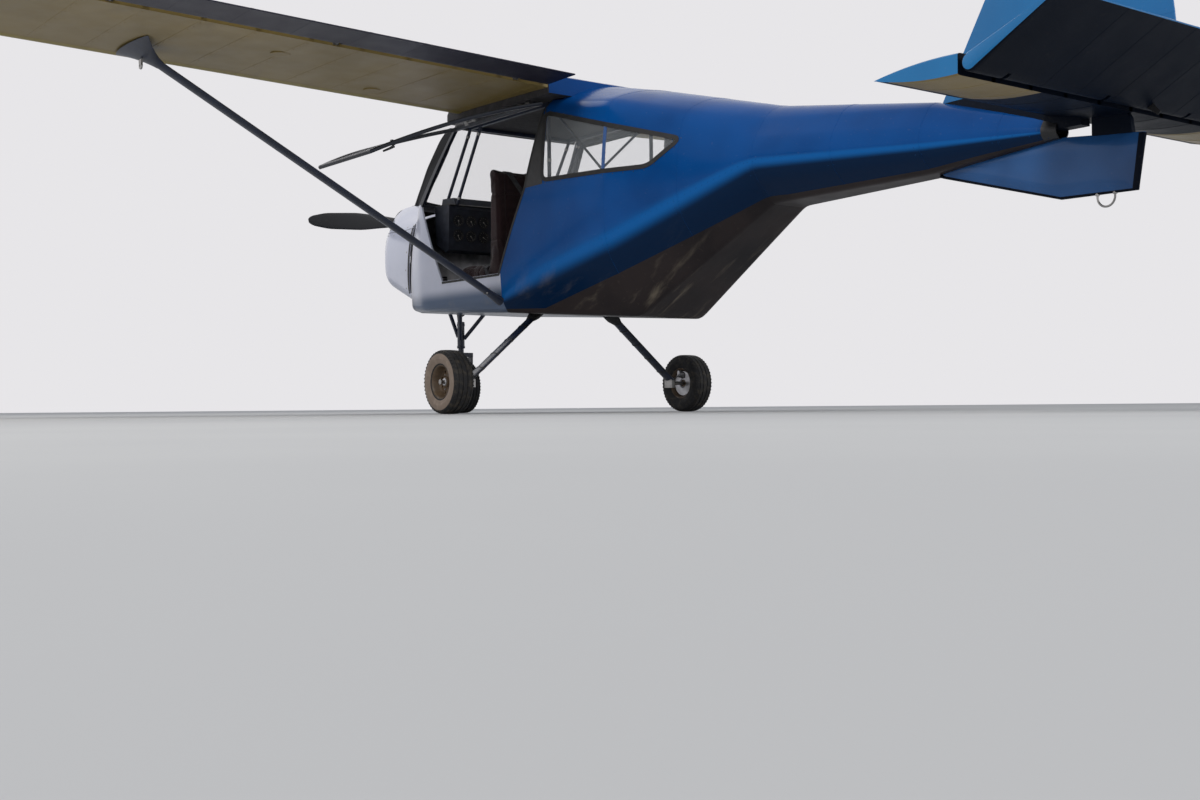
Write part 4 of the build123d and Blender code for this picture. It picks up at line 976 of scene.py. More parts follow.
def bay_stations(start, end, first=FIRST_RIB, pitch=RIB_PITCH, steps=6):
    """Spanwise places: each rib and some between it and the next."""
    found = [start]
    k = math.floor((start - first) / pitch) * steps
    while first + pitch * k / steps < end:
        y = first + pitch * k / steps
        if y > start + 0.01 and y < end - 0.01:
            found.append(y)
        k += 1
    return found + [end]


def wing_side(_, step):
    """Mark 0 on the wing's top and 1 below."""
    return 0 if step < TOP_STEPS else 1


RIB_COUNT = int((HALF_SPAN - TIP_CAP - FIRST_RIB) / RIB_PITCH) + 1


def wing_skin():
    """The covered wing with its rounded tip."""
    form = Form()
    flat_end = HALF_SPAN - TIP_CAP
    rings = [wing_ring(y, sag=SAG * bay_sag(y)) for y in bay_stations(WING_ROOT_Y, flat_end)]
    cap_steps = 8
    for i in range(1, cap_steps + 1):
        a = i / cap_steps * math.pi / 2
        rings.append(wing_ring(flat_end + TIP_CAP * math.sin(a) * 0.999, 1 - 0.15 * (1 - math.cos(a)),
                               0.06 + 0.94 * math.cos(a)))
    form.skin(rings, wing_side, flip=True)
    return form


def wing_tapes():
    """A finishing tape over each rib."""
    form = Form()
    for k in range(RIB_COUNT):
        tape(form, lambda y, lift: wing_ring(y, lift=lift), FIRST_RIB + RIB_PITCH * k, wing_side,
             half=0.015, high=0.0007, flip=True)
    return form


def stitch_knots():
    """Rows of small lacing knots on the ribs, top and bottom."""
    form = Form()
    pitch = 0.075
    for k in range(RIB_COUNT):
        ring = wing_ring(FIRST_RIB + RIB_PITCH * k, lift=0.0006)
        for line, up in ((ring[NOSE_STEPS + 6:TOP_STEPS - 1], 1),
                         (ring[TOP_STEPS + FACE_STEPS + 1:-2], -1)):
            total = lengths(line)[-1]
            for p in resample(line, round(total / pitch)):
                form.dome(p, (0, 0, up), 0.0042, 0.0016, 6, 0 if up > 0 else 1)
    return form


def discs(places, radius, lift):
    """Inspection covers under the wing and the filler cap on top of it."""
    form = Form()
    for share, y, up in places:
        line = WING_OUTLINE[:TOP_STEPS] if up > 0 else WING_OUTLINE[TOP_STEPS + FACE_STEPS:]
        near = min(line, key=lambda q: abs(q[0] - share))
        centre = wing_point(share, near[1], y)
        profile = [(-0.004, radius), (lift, radius), (lift + 0.0012, radius - 0.003),
                   (lift + 0.0006, 0.6 * radius),
                   (lift + 0.0014, 0.0001)]
        form.turned(profile, centre, (0, 0, up), 28)
    return form


def hinge_arms():
    """Plates that carry the flaperon, each with a root flange, a pin, a bolt head and a nut."""
    form = Form()
    half = 0.004
    for y in ARM_STATIONS:
        axis = wing_point(*FLAPERON_AXIS, y)
        low, high = wing_point(FIXED_SHARE, -0.011, y), wing_point(FIXED_SHARE, 0.031, y)
        boss = [(axis.x + 0.011 * math.cos(a), axis.z + 0.011 * math.sin(a)) for a in
                [math.radians(60 + 240 * i / 12) for i in range(13)]]
        outline = [(high.x + 0.004, high.z)] + boss + [(low.x + 0.004, low.z)]
        form.slab([(x, y - half, z) for x, z in outline], (0, 2 * half, 0))
        form.box((low.x - 0.003, y - 0.019, low.z + 0.003), (low.x + 0.004, y + 0.019, high.z - 0.003))
        form.tube([axis + Vector((0, -0.0125, 0)), axis + Vector((0, 0.0125, 0))], 0.0038, 10)
        for end in (-0.0055, 0.0055):
            form.tube([axis + Vector((0, end + d, 0)) for d in (-0.0012, 0.0012)], 0.0068, 6)
    return form


COVERS = [COVER_TOP, SHADED_COVER]
LOWER_COVERS = [(0.20, 1.30, -1), (0.52, 2.10, -1), (0.20, 3.65, -1), (0.52, 3.65, -1)]
place_both((
    ("wing_skin", wing_skin(), COVERS, "wing_cover", "wing", 0, 40),
    ("wing_tapes", wing_tapes(), COVERS, "wing_cover", None, 0, 40),
    ("wing_stitches", stitch_knots(), COVERS, "wing_cover", None, 0, 40),
    ("wing_covers", discs(LOWER_COVERS, 0.055, 0.0012), SHADED_COVER, "wing_cover", None, 0, 35),
    ("filler_cap", discs([(0.24, 0.90, 1)], 0.038, 0.010), ALLOY, "bare_wire", None, 0, 35),
    ("flaperon_brackets", hinge_arms(), STEEL, "bare_wire", None, 0, 30),
))


# Control surfaces: a round nose on the hinge line, ribs under cloth, a thin rear edge
SURFACE_NOSE, SURFACE_SIDE = 11, 12


def surface_ring(origin, forward, across, nose_r, chord, sag=0.0, edge=0.0035):
    """A closed outline round the hinge line's point, from below over the nose to the upper side."""
    origin, forward, across = Vector(origin), Vector(forward), Vector(across)
    found = []
    for i in range(SURFACE_NOSE):
        a = -math.pi / 2 + math.pi * i / (SURFACE_NOSE - 1)
        found.append((nose_r * math.cos(a), nose_r * math.sin(a)))
    upper = []
    for i in range(1, SURFACE_SIDE + 1):
        t = i / SURFACE_SIDE
        slack = sag * math.sin(math.pi * min(1, t * 1.05)) if t < 0.95 else 0.0
        upper.append((-chord * t, nose_r + (edge - nose_r) * t - slack))
    found += upper + [(-chord - 0.6 * edge, 0.0)] + [(a, -b) for a, b in reversed(upper)]
    return [origin + forward * a + across * b for a, b in found]


def upper_side(_, step):
    """Mark 0 on the upper side and its nose, 1 below."""
    return 0 if SURFACE_NOSE - 1 <= step <= SURFACE_NOSE + SURFACE_SIDE else 1


CHORD_DIR = Vector((math.cos(INCIDENCE), 0, math.sin(INCIDENCE)))
CHORD_UP = Vector((-math.sin(INCIDENCE), 0, math.cos(INCIDENCE)))
FLAPERON_SPAN = (0.590, 4.690)
FLAPERON_NOSE_R = 0.022
FLAPERON_CHORD = 0.262
FLAPERON_PITCH = 0.327
SLOT_HALF = 0.011
SLOT_BACK = 0.018


def end_rounded(make, start, end, stations_list):
    """Rings along a surface with both ends drawn in over a few millimetres."""
    rings = [make(start, 0.80), make(start + 0.003, 0.94), make(start + 0.008, 1.0)]
    rings += [make(s, 1.0) for s in stations_list if start + 0.02 < s < end - 0.02]
    return rings + [make(end - 0.008, 1.0), make(end - 0.003, 0.94), make(end, 0.80)]


def flaperon_form():
    """The covered flaperon, its cloth sagging between ribs."""
    first, last = FLAPERON_SPAN

    def make(y, size):
        sag = 0.0022 * bay_sag(y, first, FLAPERON_PITCH)
        return surface_ring(wing_point(*FLAPERON_AXIS, y), CHORD_DIR, CHORD_UP, FLAPERON_NOSE_R * size,
                            FLAPERON_CHORD - 0.004 * (1 - size), sag)

    form = Form()
    stations_list = bay_stations(first, last, first, FLAPERON_PITCH, 5)
    form.skin(end_rounded(make, first, last, stations_list), upper_side, flip=True)
    return form


def flaperon_tapes():
    """A finishing tape over each of the flaperon's ribs."""
    form = Form()
    first, last = FLAPERON_SPAN

    def tape_ring(y, grow):
        return surface_ring(wing_point(*FLAPERON_AXIS, y), CHORD_DIR, CHORD_UP, FLAPERON_NOSE_R + grow,
                            FLAPERON_CHORD, edge=0.0035 + grow)

    for k in range(1, int((last - first) / FLAPERON_PITCH) + 1):
        tape(form, tape_ring, first + FLAPERON_PITCH * k, upper_side, flip=True)
    return form


def hinge_cheeks(axes, span_dir, forward, up, radius):
    """Two small plates at the sides of each hinge's slot."""
    form = Form()
    span_dir, forward, up = Vector(span_dir).normalized(), Vector(forward), Vector(up)
    for axis in axes:
        axis = Vector(axis)
        for sign in (-1, 1):
            at = axis + span_dir * sign * (SLOT_HALF - 0.0005)
            ring = []
            for i in range(17):
                a = -math.pi / 2 + math.pi * i / 16
                ring.append(at + forward * (radius * math.cos(a)) + up * (radius * math.sin(a)))
            ring += [at - forward * 0.030 + up * radius * 0.7, at - forward * 0.030 - up * radius * 0.7]
            form.slab(ring, -span_dir * sign * 0.0016)
    return form


FLAPERON_AXES = [wing_point(*FLAPERON_AXIS, y) for y in ARM_STATIONS]
SPAN_DIR = Vector((0, math.cos(DIHEDRAL), math.sin(DIHEDRAL)))


def slot_cutter(axes, span_dir, forward, up, nose_r, mark=0):
    """Blocks that clear the hinge arms out of a surface's nose."""
    form = Form()
    span_dir, forward, up = Vector(span_dir).normalized(), Vector(forward), Vector(up)
    for axis in axes:
        low = Vector(axis) - span_dir * SLOT_HALF - forward * SLOT_BACK - up * (nose_r + 0.01)
        along = forward * (SLOT_BACK + nose_r + 0.01)
        high = up * 2 * (nose_r + 0.01)
        form.slab([low, low + along, low + along + high, low + high], span_dir * 2 * SLOT_HALF, mark)
    return form


flap_slots = slot_cutter(FLAPERON_AXES, SPAN_DIR, CHORD_DIR, CHORD_UP, FLAPERON_NOSE_R)
flap_cheeks = hinge_cheeks(FLAPERON_AXES, SPAN_DIR, CHORD_DIR, CHORD_UP, 0.017)
place_both((
    ("flaperon_skin", flaperon_form(), [FLAP_NAVY, FLAP_NAVY], "dark_tube", "flaperon", 0, 40),
    ("flaperon_tapes", flaperon_tapes(), [FLAP_NAVY, FLAP_NAVY], "dark_tube", None, 0, 40),
    ("flaperon_cheeks", flap_cheeks, STEEL, "bare_wire", None, 0, 30),
), body="{}_flaperon")
cut(bpy.data.objects["flaperon_skin_port"], flap_slots, 40)
cut(bpy.data.objects["flaperon_skin_starboard"], flap_slots.mirrored(), 40)


# Tail surfaces
STABILISER_Z = 1.300
STABILISER_X = (-3.577, -3.993)
STABILISER_HALF_SPAN = 1.150
STABILISER_HALF = 0.042
STABILISER_RISE = 0.014
ELEVATOR_AXIS = (-4.042, 1.300)
ELEVATOR_NOSE_R = 0.038
ELEVATOR_CHORD = 0.425
ELEVATOR_UP = math.radians(25)
ELEVATOR_STATIONS = (-0.950, -0.300, 0.300, 0.950)
TAIL_FIRST_RIB = -STABILISER_HALF_SPAN + 0.02
TAIL_PITCH = 0.230
TAIL_SAG = 0.0018
SHADED_CENTRE = 0.64


def tail_slack(share, sag):
    """The cloth's sag at a share of a tail section, none at its nose and its rear edge."""
    return sag * min(1, share / 0.3) * min(1, (1 - share) / 0.15) if 0 < share < 1 else 0


def stabiliser_ring(y, size=1.0, sag=0.0, grow=0.0):
    """The stabiliser's section at y, drawn in towards its middle by the size."""
    front, rear = STABILISER_X
    half = STABILISER_HALF
    middle = (front + rear) / 2
    top = arc((front, STABILISER_RISE), (front - 0.140, 0.84 * half), (rear, half), 17)
    low = arc((rear, -half), (front - 0.140, -0.50 * half), (front, STABILISER_RISE), 17)
    ring = []
    for i, (x, z) in enumerate(top + low[:-1]):
        slack = tail_slack((front - x) / (front - rear), sag)
        push = (grow - slack) * (1 if i < len(top) else -1)
        drawn = middle + (x - middle) * (0.9 + 0.1 * size)
        ring.append(Vector((drawn, y, STABILISER_Z + z * size + push)))
    return ring


def stabiliser_form():
    """The covered stabiliser from tip to tip, with painted shade on its middle below, on its rear edge and
    under its nose.
    """
    tip = STABILISER_HALF_SPAN
    ys = [-tip, -tip + 0.004, -tip + 0.014]
    sizes = [0.86, 0.96, 1.0]
    inner = bay_stations(-tip + 0.03, tip - 0.03, TAIL_FIRST_RIB, TAIL_PITCH, 5)
    splits = sorted(inner + [-SHADED_CENTRE, SHADED_CENTRE])
    ys, sizes = ys + splits + [-y for y in ys[::-1]], sizes + [1.0] * len(splits) + sizes[::-1]
    form = Form()
    rings = [stabiliser_ring(y, s, TAIL_SAG * bay_sag(y, TAIL_FIRST_RIB, TAIL_PITCH))
             for y, s in zip(ys, sizes)]

    def mark(r, i):
        if i < 16:
            return 0
        return 2 if i == 16 or i > 29 or abs(ys[r] + ys[r + 1]) < 2 * SHADED_CENTRE else 1

    form.skin(rings, mark)
    return form


def stabiliser_tapes():
    """A finishing tape over each of the stabiliser's ribs."""
    form = Form()
    count = int(2 * (STABILISER_HALF_SPAN - 0.02) / TAIL_PITCH)
    for k in range(1, count + 1):
        y = TAIL_FIRST_RIB + TAIL_PITCH * k
        low = 2 if abs(y) < SHADED_CENTRE else 1
        tape(form, lambda y, g: stabiliser_ring(y, grow=g), y,
             lambda r, i, low=low: 0 if i < 16 else (2 if i == 16 or i > 29 else low), high=0.0007)
    return form


def plate_arm(origin, span_dir, reach, high):
    """A hinge plate from a carrying face, its boss round the pin, with a bolt head and a nut."""
    form = Form()
    origin, span_dir = Vector(origin), Vector(span_dir).normalized()
    up = Vector((1, 0, 0)).cross(span_dir)
    forward = Vector((1, 0, 0))
    ring = []
    for i in range(13):
        a = math.radians(60 + 240 * i / 12)
        ring.append(origin + forward * (0.011 * math.cos(a)) + up * (0.011 * math.sin(a)))
    ring = [origin + forward * reach + up * high] + ring + [origin + forward * reach - up * high]
    form.slab([p - span_dir * 0.004 for p in ring], span_dir * 0.008)
    base = [origin + forward * (reach - 0.005) + up * s * (high + 0.004) for s in (1, -1)]
    base += [origin + forward * reach + up * s * (high + 0.004) for s in (-1, 1)]
    form.slab([p - span_dir * 0.018 for p in base], span_dir * 0.036)
    form.tube([origin - span_dir * 0.013, origin + span_dir * 0.013], 0.0038, 10)
    for end in (-0.0056, 0.0056):
        form.tube([origin + span_dir * (end - 0.0013), origin + span_dir * (end + 0.0013)], 0.0070, 6)
    return form


place(stabiliser_form(), "stabiliser_skin", [FIN_BLUE, SHADED_COVER, SHADE_NAVY], slot="wing_cover",
      replaces=["stabiliser"], sharp=40)
place(stabiliser_tapes(), "stabiliser_tapes", [FIN_BLUE, SHADED_COVER, SHADE_NAVY], slot="wing_cover", sharp=40)
tail_arms = Form()
ELEVATOR_AXES = [(ELEVATOR_AXIS[0], y, ELEVATOR_AXIS[1]) for y in ELEVATOR_STATIONS]
for axis in ELEVATOR_AXES:
    tail_arms.join(plate_arm(axis, (0, -1, 0), STABILISER_X[1] - ELEVATOR_AXIS[0], 0.016))

ELEVATOR_DIR = Vector((math.cos(ELEVATOR_UP), 0, -math.sin(ELEVATOR_UP)))
ELEVATOR_RISE = Vector((math.sin(ELEVATOR_UP), 0, math.cos(ELEVATOR_UP)))


def elevator_ring(y, size=1.0, sag=0.0, grow=0.0):
    """The elevator's section at y, as it rests with its rear edge up."""
    return surface_ring((ELEVATOR_AXIS[0], y, ELEVATOR_AXIS[1]), ELEVATOR_DIR, ELEVATOR_RISE,
                        (ELEVATOR_NOSE_R + grow) * size, ELEVATOR_CHORD - 0.004 * (1 - size),
                        sag, 0.004 + grow)


elevator = Form()
tip = STABILISER_HALF_SPAN
tail_bays = bay_stations(-tip, tip, TAIL_FIRST_RIB, TAIL_PITCH, 5)


def sagging_elevator(y, size):
    return elevator_ring(y, size, TAIL_SAG * bay_sag(y, TAIL_FIRST_RIB, TAIL_PITCH))


# The elevator's underside takes the navy painted shade; its top and end caps stay blue
elevator.skin(end_rounded(sagging_elevator, -tip, tip, tail_bays), upper_side, flip=True)
for cap_face in (len(elevator.faces) - 2, len(elevator.faces) - 1):
    elevator.marks[cap_face] = 0
elevator_piece = place(elevator, "elevator_skin", [FIN_BLUE, SHADE_NAVY], "elevator", "wing_cover",
                       ["elevator"], sharp=40)
cut(elevator_piece, slot_cutter(ELEVATOR_AXES, (0, 1, 0), ELEVATOR_DIR, ELEVATOR_RISE, ELEVATOR_NOSE_R,
                                1), 40)
elevator_tapes = Form()
for k in range(1, int(2 * (tip - 0.02) / TAIL_PITCH) + 1):
    y = TAIL_FIRST_RIB + TAIL_PITCH * k
    if min(abs(y - s) for s in ELEVATOR_STATIONS) >= 0.025:
        tape(elevator_tapes, lambda y, g: elevator_ring(y, grow=g), y, upper_side, flip=True)
place(elevator_tapes, "elevator_tapes", [FIN_BLUE, SHADE_NAVY], "elevator", "wing_cover", sharp=40)
place(hinge_cheeks(ELEVATOR_AXES, (0, 1, 0), ELEVATOR_DIR, ELEVATOR_RISE, 0.026), "elevator_cheeks",
      [STEEL], "elevator", "bare_wire")

# Fin and rudder
FIN_ROWS = ((1.240, -2.855, -3.762, 0.032), (2.370, -3.505, -3.762, 0.024))
FIN_SHADE_Z = 1.470
RUDDER_X = -3.800
RUDDER_ROWS = ((1.400, 0.028, 0.410), (2.362, 0.021, 0.300))
RUDDER_FOOT = ((-3.772, 1.400), (-4.240, 1.484))
RUDDER_STATIONS = (1.600, 2.150)
FIN_FIRST_RIB, FIN_PITCH = 1.400, 0.246


def between_rows(rows, z):
    low, high = rows
    t = (z - low[0]) / (high[0] - low[0])
    return [a + (b - a) * t for a, b in zip(low[1:], high[1:])]


def fin_ring(z, size=1.0, sag=0.0):
    """The fin's section at height z."""
    front, rear, half = between_rows(FIN_ROWS, z)
    front += (1 - size) * 0.10
    front = min(front, rear + 0.9)
    half *= size
    quarter = front + 0.3 * (rear - front)
    port = arc((front, 0), (quarter, 0.72 * half), (rear, half), 17)
    ring = []
    for x, y in port:
        ring.append((x, y - tail_slack((front - x) / (front - rear), sag)))
    return [Vector((x, y, z)) for x, y in ring] + [Vector((x, -y, z)) for x, y in ring[:0:-1]]


fin = Form()
fin_top = FIN_ROWS[1][0]
zs = [1.240, 1.30, 1.40, FIN_SHADE_Z] + bay_stations(1.50, fin_top - 0.03, FIN_FIRST_RIB, FIN_PITCH, 5)
fin_rings = [fin_ring(z, 1.0, 0.0016 * bay_sag(z, FIN_FIRST_RIB, FIN_PITCH) if z > 1.38 else 0)
             for z in zs]
for t in (0.35, 0.7, 1.0):
    z = fin_top - 0.03 + 0.03 * t
    fin_rings.append([p + Vector((-0.05 * t * t * max(0, (p.x + 3.762) / 0.26), 0, 0))
                      for p in fin_ring(z, 1 - 0.35 * t * t)])
# The fin's foot, its first three runs, takes the navy painted shade
fin.skin(fin_rings, lambda r, i: 1 if r < 3 else 0)
place(fin, "fin_skin", [FIN_BLUE, SHADE_NAVY], slot="light_blue_paint", replaces=["fin"], sharp=40)
for z in RUDDER_STATIONS:
    tail_arms.join(plate_arm((RUDDER_X, 0, z), (0, 0, 1), FIN_ROWS[0][2] - RUDDER_X, 0.014))
place(tail_arms, "tail_hinge_plates", [STEEL], slot="bare_wire", sharp=30)


def rudder_ring(z, size=1.0, sag=0.0, grow=0.0):
    """The rudder's section at height z."""
    nose_r, chord = between_rows(RUDDER_ROWS, max(z, RUDDER_ROWS[0][0]))
    return surface_ring((RUDDER_X, 0, z), (1, 0, 0), (0, 1, 0), (nose_r + grow) * size,
                        chord - 0.004 * (1 - size), sag, 0.004 + grow)


rudder = Form()
low, high = RUDDER_ROWS[0][0], RUDDER_ROWS[1][0]


def sagging_rudder(z, size):
    return rudder_ring(z, size, 0.0014 * bay_sag(z, FIN_FIRST_RIB, FIN_PITCH))


rudder.skin(end_rounded(sagging_rudder, low, high, bay_stations(low, high, FIN_FIRST_RIB, FIN_PITCH, 5)))
rudder_piece = place(rudder, "rudder_skin", [FIN_BLUE], "rudder", "light_blue_paint", ["rudder"],
                     sharp=40)
cut(rudder_piece, prism([(-3.760, 1.380), (-4.260, 1.380), RUDDER_FOOT[1], RUDDER_FOOT[0],
                         (-3.760, 1.400)], 0.08))
RUDDER_AXES = [(RUDDER_X, 0, z) for z in RUDDER_STATIONS]
cut(rudder_piece, slot_cutter(RUDDER_AXES, (0, 0, 1), (1, 0, 0), (0, 1, 0), 0.028), 40)
rudder_trim = Form()
for k in range(1, 4):
    tape(rudder_trim, lambda z, g: rudder_ring(z, grow=g), FIN_FIRST_RIB + FIN_PITCH * k, 0)
place(rudder_trim, "rudder_tapes", [FIN_BLUE], "rudder", "light_blue_paint", sharp=40)
place(hinge_cheeks(RUDDER_AXES, (0, 0, 1), (1, 0, 0), (0, 1, 0), 0.020), "rudder_cheeks", [STEEL],
      "rudder", "bare_wire")

# Ventral fin with its edges and its web up to the stabiliser in painted shade, and the tie-down loop
VENTRAL = [(-2.960, 1.190), (-3.000, 1.120), (-3.640, 0.940), (-4.010, 0.934), (-4.045, 1.168),
           (-3.640, 1.205)]
WEB = [(-3.800, 1.186), (-3.800, 1.280), (-3.960, 1.280), (-3.985, 1.236), (-3.994, 1.172)]


def lens_panel(outline, half, edge, steps=8):
    """A panel that is thickest in its middle: rings from its rim to its middle on both sides."""
    middle = Vector((sum(p[0] for p in outline) / len(outline),
                     sum(p[1] for p in outline) / len(outline)))
    rim = [Vector(p) for p in dense(outline, 0.05)]
    form = Form()
    for side in (PORT, STARBOARD):
        rings = []
        for i in range(steps):
            t = i / steps
            y = edge + (half - edge) * math.sin(min(1, 2.2 * t) * math.pi / 2)
            rings.append([Vector((q.x, side * y, q.y)) for q in (middle.lerp(p, 1 - t) for p in rim)])
        rings.append([Vector((q.x, side * half, q.y)) for q in (middle.lerp(p, 0.02) for p in rim)])
        form.skin(rings, caps=(False, True), flip=side == STARBOARD)
    for i in range(len(rim)):
        j = (i + 1) % len(rim)
        form.skin([[Vector((rim[k].x, y, rim[k].y)) for k in (i, j)] for y in (-edge, edge)],
                  closed=False)
    return form


ventral = lens_panel(VENTRAL, 0.021, 0.006)
place(ventral, "ventral_skin", [VENTRAL_BLUE], slot="light_blue_paint", replaces=["ventral_fin"],
      sharp=40)
lower_line = ((-2.975, 1.126), (-3.000, 1.118), (-3.640, 0.940), (-4.008, 0.934), (-4.043, 1.166))
ventral_edge = Form().tube([(x, 0, z) for x, z in lower_line], 0.0085, 10)
for side in (PORT, STARBOARD):
    strip = [(-4.010, 0.936), (-4.043, 1.166), (-4.022, 1.167), (-3.990, 0.937)]
    ventral_edge.slab([(x, side * 0.0060, z) for x, z in strip], (0, side * 0.0045, 0))
place(ventral_edge, "ventral_edges", [SHADE_NAVY], slot="dark_tube", sharp=40)
web = Form()
web.slab([(x, -0.015, z) for x, z in WEB], (0, 0.030, 0))
place(web, "ventral_web", [SHADE_NAVY], slot="dark_tube", bevel=0.004)
loop = Form()
loop_line = [(-3.818, 0, 0.950), (-3.818, 0, 0.930), (-3.818, 0, 0.918)]
loop_line += [(-3.860 + 0.042 * math.cos(a), 0, 0.918 - 0.042 * math.sin(a))
              for a in [math.pi * i / 18 for i in range(1, 18)]]
loop_line += [(-3.902, 0, 0.918), (-3.902, 0, 0.930), (-3.902, 0, 0.950)]
loop.tube(loop_line, 0.0048, 10)
for x in (-3.818, -3.902):
    loop.tube([(x, 0, 0.936), (x, 0, 0.926)], 0.0095, 6)
place(loop, "tail_tie_loop", [STEEL], slot="bare_wire", replaces=["tail_loop"])

# Elevator horn, which leans back so far that it hangs straight down at the elevator's lowest place
HORN_LEAN = math.radians(45)
horn_outline = []
for ahead, high in ((0.022, -0.010), (-0.018, -0.010), (-0.010, -0.095), (0.006, -0.095)):
    x = ahead * math.cos(HORN_LEAN) + high * math.sin(HORN_LEAN)
    z = high * math.cos(HORN_LEAN) - ahead * math.sin(HORN_LEAN)
    horn_outline.append((ELEVATOR_AXIS[0] + x, -0.0025, ELEVATOR_AXIS[1] + z))
horn = Form().slab(horn_outline, (0, 0.005, 0))
place(horn, "elevator_horn", [BLACK_METAL], "elevator", "dark_tube", bevel=0.001)


# Cowl, with its cooling openings, rear slots and fastenings
SHAFT_Z = 1.467
COWL_REAR_X, COWL_NOSE_X = 1.212, 2.045
cowl = Form()
cowl_xs = stations(COWL_REAR_X, COWL_NOSE_X - 0.045)
cowl_rings = [full_ring(COWL_ROWS, x) for x in cowl_xs]
nose_middle = Vector((COWL_NOSE_X, 0, 1.35))
for t in (0.2, 0.4, 0.6, 0.75, 0.88, 1.0):
    ring = full_ring(COWL_ROWS, COWL_NOSE_X - 0.045 + 0.045 * t)
    size = 1 - 0.10 * (1 - math.cos(t * math.pi / 2)) ** 1.2
    cowl_rings.append([Vector((p.x, p.y * size, nose_middle.z + (p.z - nose_middle.z) * size))
                       for p in ring])
cowl.skin(cowl_rings, flip=True)
cowl_piece = place(cowl, "cowl_shell", [PALE], slot="pale_paint", replaces=["cowl"])
core = Form()
core_xs = [COWL_REAR_X - 0.02] + stations(COWL_REAR_X, COWL_NOSE_X - 0.020, 0.06)
core.skin([full_ring(COWL_ROWS, x, 0.010) for x in core_xs], flip=True)
cut(cowl_piece, core)
cut(cowl_piece, Form().box((COWL_REAR_X - 0.01, -0.7, 0.840), (COWL_REAR_X + 0.068, 0.7, 1.345)))
for y in (0.120, -0.120):
    cut(cowl_piece, Form().box((COWL_REAR_X - 0.01, y - 0.036, 0.60),
                               (COWL_REAR_X + 0.068, y + 0.036, 0.780)))
cut(cowl_piece, Form().box((1.440, -0.150, 0.60), (1.760, 0.150, 0.930)))


def slot_outline(y, z, length, high, count=14):
    """A round-ended opening's outline as (y, z)."""
    r = high / 2
    found = []
    for sign in (1, -1):
        for i in range(count):
            a = sign * math.pi / 2 - math.pi * i / (count - 1)
            found.append((y + sign * (length / 2 - r) + r * math.cos(a), z + r * math.sin(a)))
    return found


OPENINGS = (
    (0.0, SHAFT_Z, 0.124, 0.124),
    (0.138, SHAFT_Z - 0.086, 0.116, 0.074),
    (-0.138, SHAFT_Z - 0.086, 0.116, 0.074),
    (0.0, SHAFT_Z - 0.275, 0.260, 0.100),
)
lips = Form()
for y, z, length, high in OPENINGS:
    outline = slot_outline(y, z, length, high)
    cut(cowl_piece, Form().slab([(COWL_NOSE_X - 0.06, p, q) for p, q in outline], (0.09, 0, 0)))
    ring = [(COWL_NOSE_X - 0.004, p, q) for p, q in slot_outline(y, z, length + 0.008, high + 0.008)]
    lips.tube(ring + ring[:2], 0.0058, 8)
place(lips, "cowl_lips", [PALE], slot="pale_paint")
mesh_screen = Form()
for i in range(19):
    y = -0.126 + 0.014 * i
    mesh_screen.tube([(COWL_NOSE_X - 0.028, y, SHAFT_Z - 0.322),
                      (COWL_NOSE_X - 0.028, y, SHAFT_Z - 0.228)], 0.0012, 5)
for i in range(7):
    z = SHAFT_Z - 0.319 + 0.0146 * i
    mesh_screen.tube([(COWL_NOSE_X - 0.026, -0.128, z), (COWL_NOSE_X - 0.026, 0.128, z)], 0.0012, 5)
place(mesh_screen, "cowl_screen", [STEEL], slot="bare_wire")

cowl_trim = Form()
cowl_screws = Form()
SPLIT_LINE = [(COWL_REAR_X + 0.074, 1.300), (1.50, 1.300), (1.80, 1.325), (COWL_NOSE_X - 0.05, 1.350)]
for side in (PORT, STARBOARD):
    skin_strip(cowl_trim, SPLIT_LINE, 0.0030, 0.0008, 0.003, side, closed=False, rows=COWL_ROWS)
    for lift in (0.022, -0.022):
        line = [(x, z + lift) for x, z in SPLIT_LINE[:3]]
        rivets(cowl_screws, side_rivets(line, 0.125, side, COWL_ROWS), 0.0075, 0.0022)
    lower = [(COWL_REAR_X + 0.125, 0.88), (COWL_REAR_X + 0.125, 1.26)]
    rivets(cowl_screws, side_rivets(lower, 0.11, side, COWL_ROWS), 0.0075, 0.0022)
    edge = [(COWL_REAR_X + 0.0775, 0.840), (COWL_REAR_X + 0.0775, 1.345)]
    skin_strip(cowl_trim, edge, 0.019, 0.0012, 0.003, side, closed=False, rows=COWL_ROWS)
place(cowl_trim, "cowl_lines", [SEAL], slot="dark_plastic")
place(cowl_screws, "cowl_screws", [STEEL], slot="bare_wire", sharp=25)

# A dark baffle with louvres behind the slot on each side of the cowl
baffle = Form()
for side in (PORT, STARBOARD):
    middle = [(COWL_REAR_X + 0.034, 0.842), (COWL_REAR_X + 0.034, 1.343)]
    skin_strip(baffle, middle, 0.064, -0.012, 0.002, side, closed=False, rows=COWL_ROWS)
    for i in range(7):
        z = 0.875 + 0.072 * i
        y = side_y(COWL_REAR_X + 0.034, z, COWL_ROWS)
        baffle.slab([(COWL_REAR_X + 0.006, side * (y - 0.060), z),
                     (COWL_REAR_X + 0.064, side * (y - 0.060), z + 0.02),
                     (COWL_REAR_X + 0.064, side * (y - 0.020), z + 0.02),
                     (COWL_REAR_X + 0.006, side * (y - 0.020), z)],
                    (0, 0, 0.0025))
place(baffle, "slot_baffles", [BLACK_METAL], slot="dark_tube")

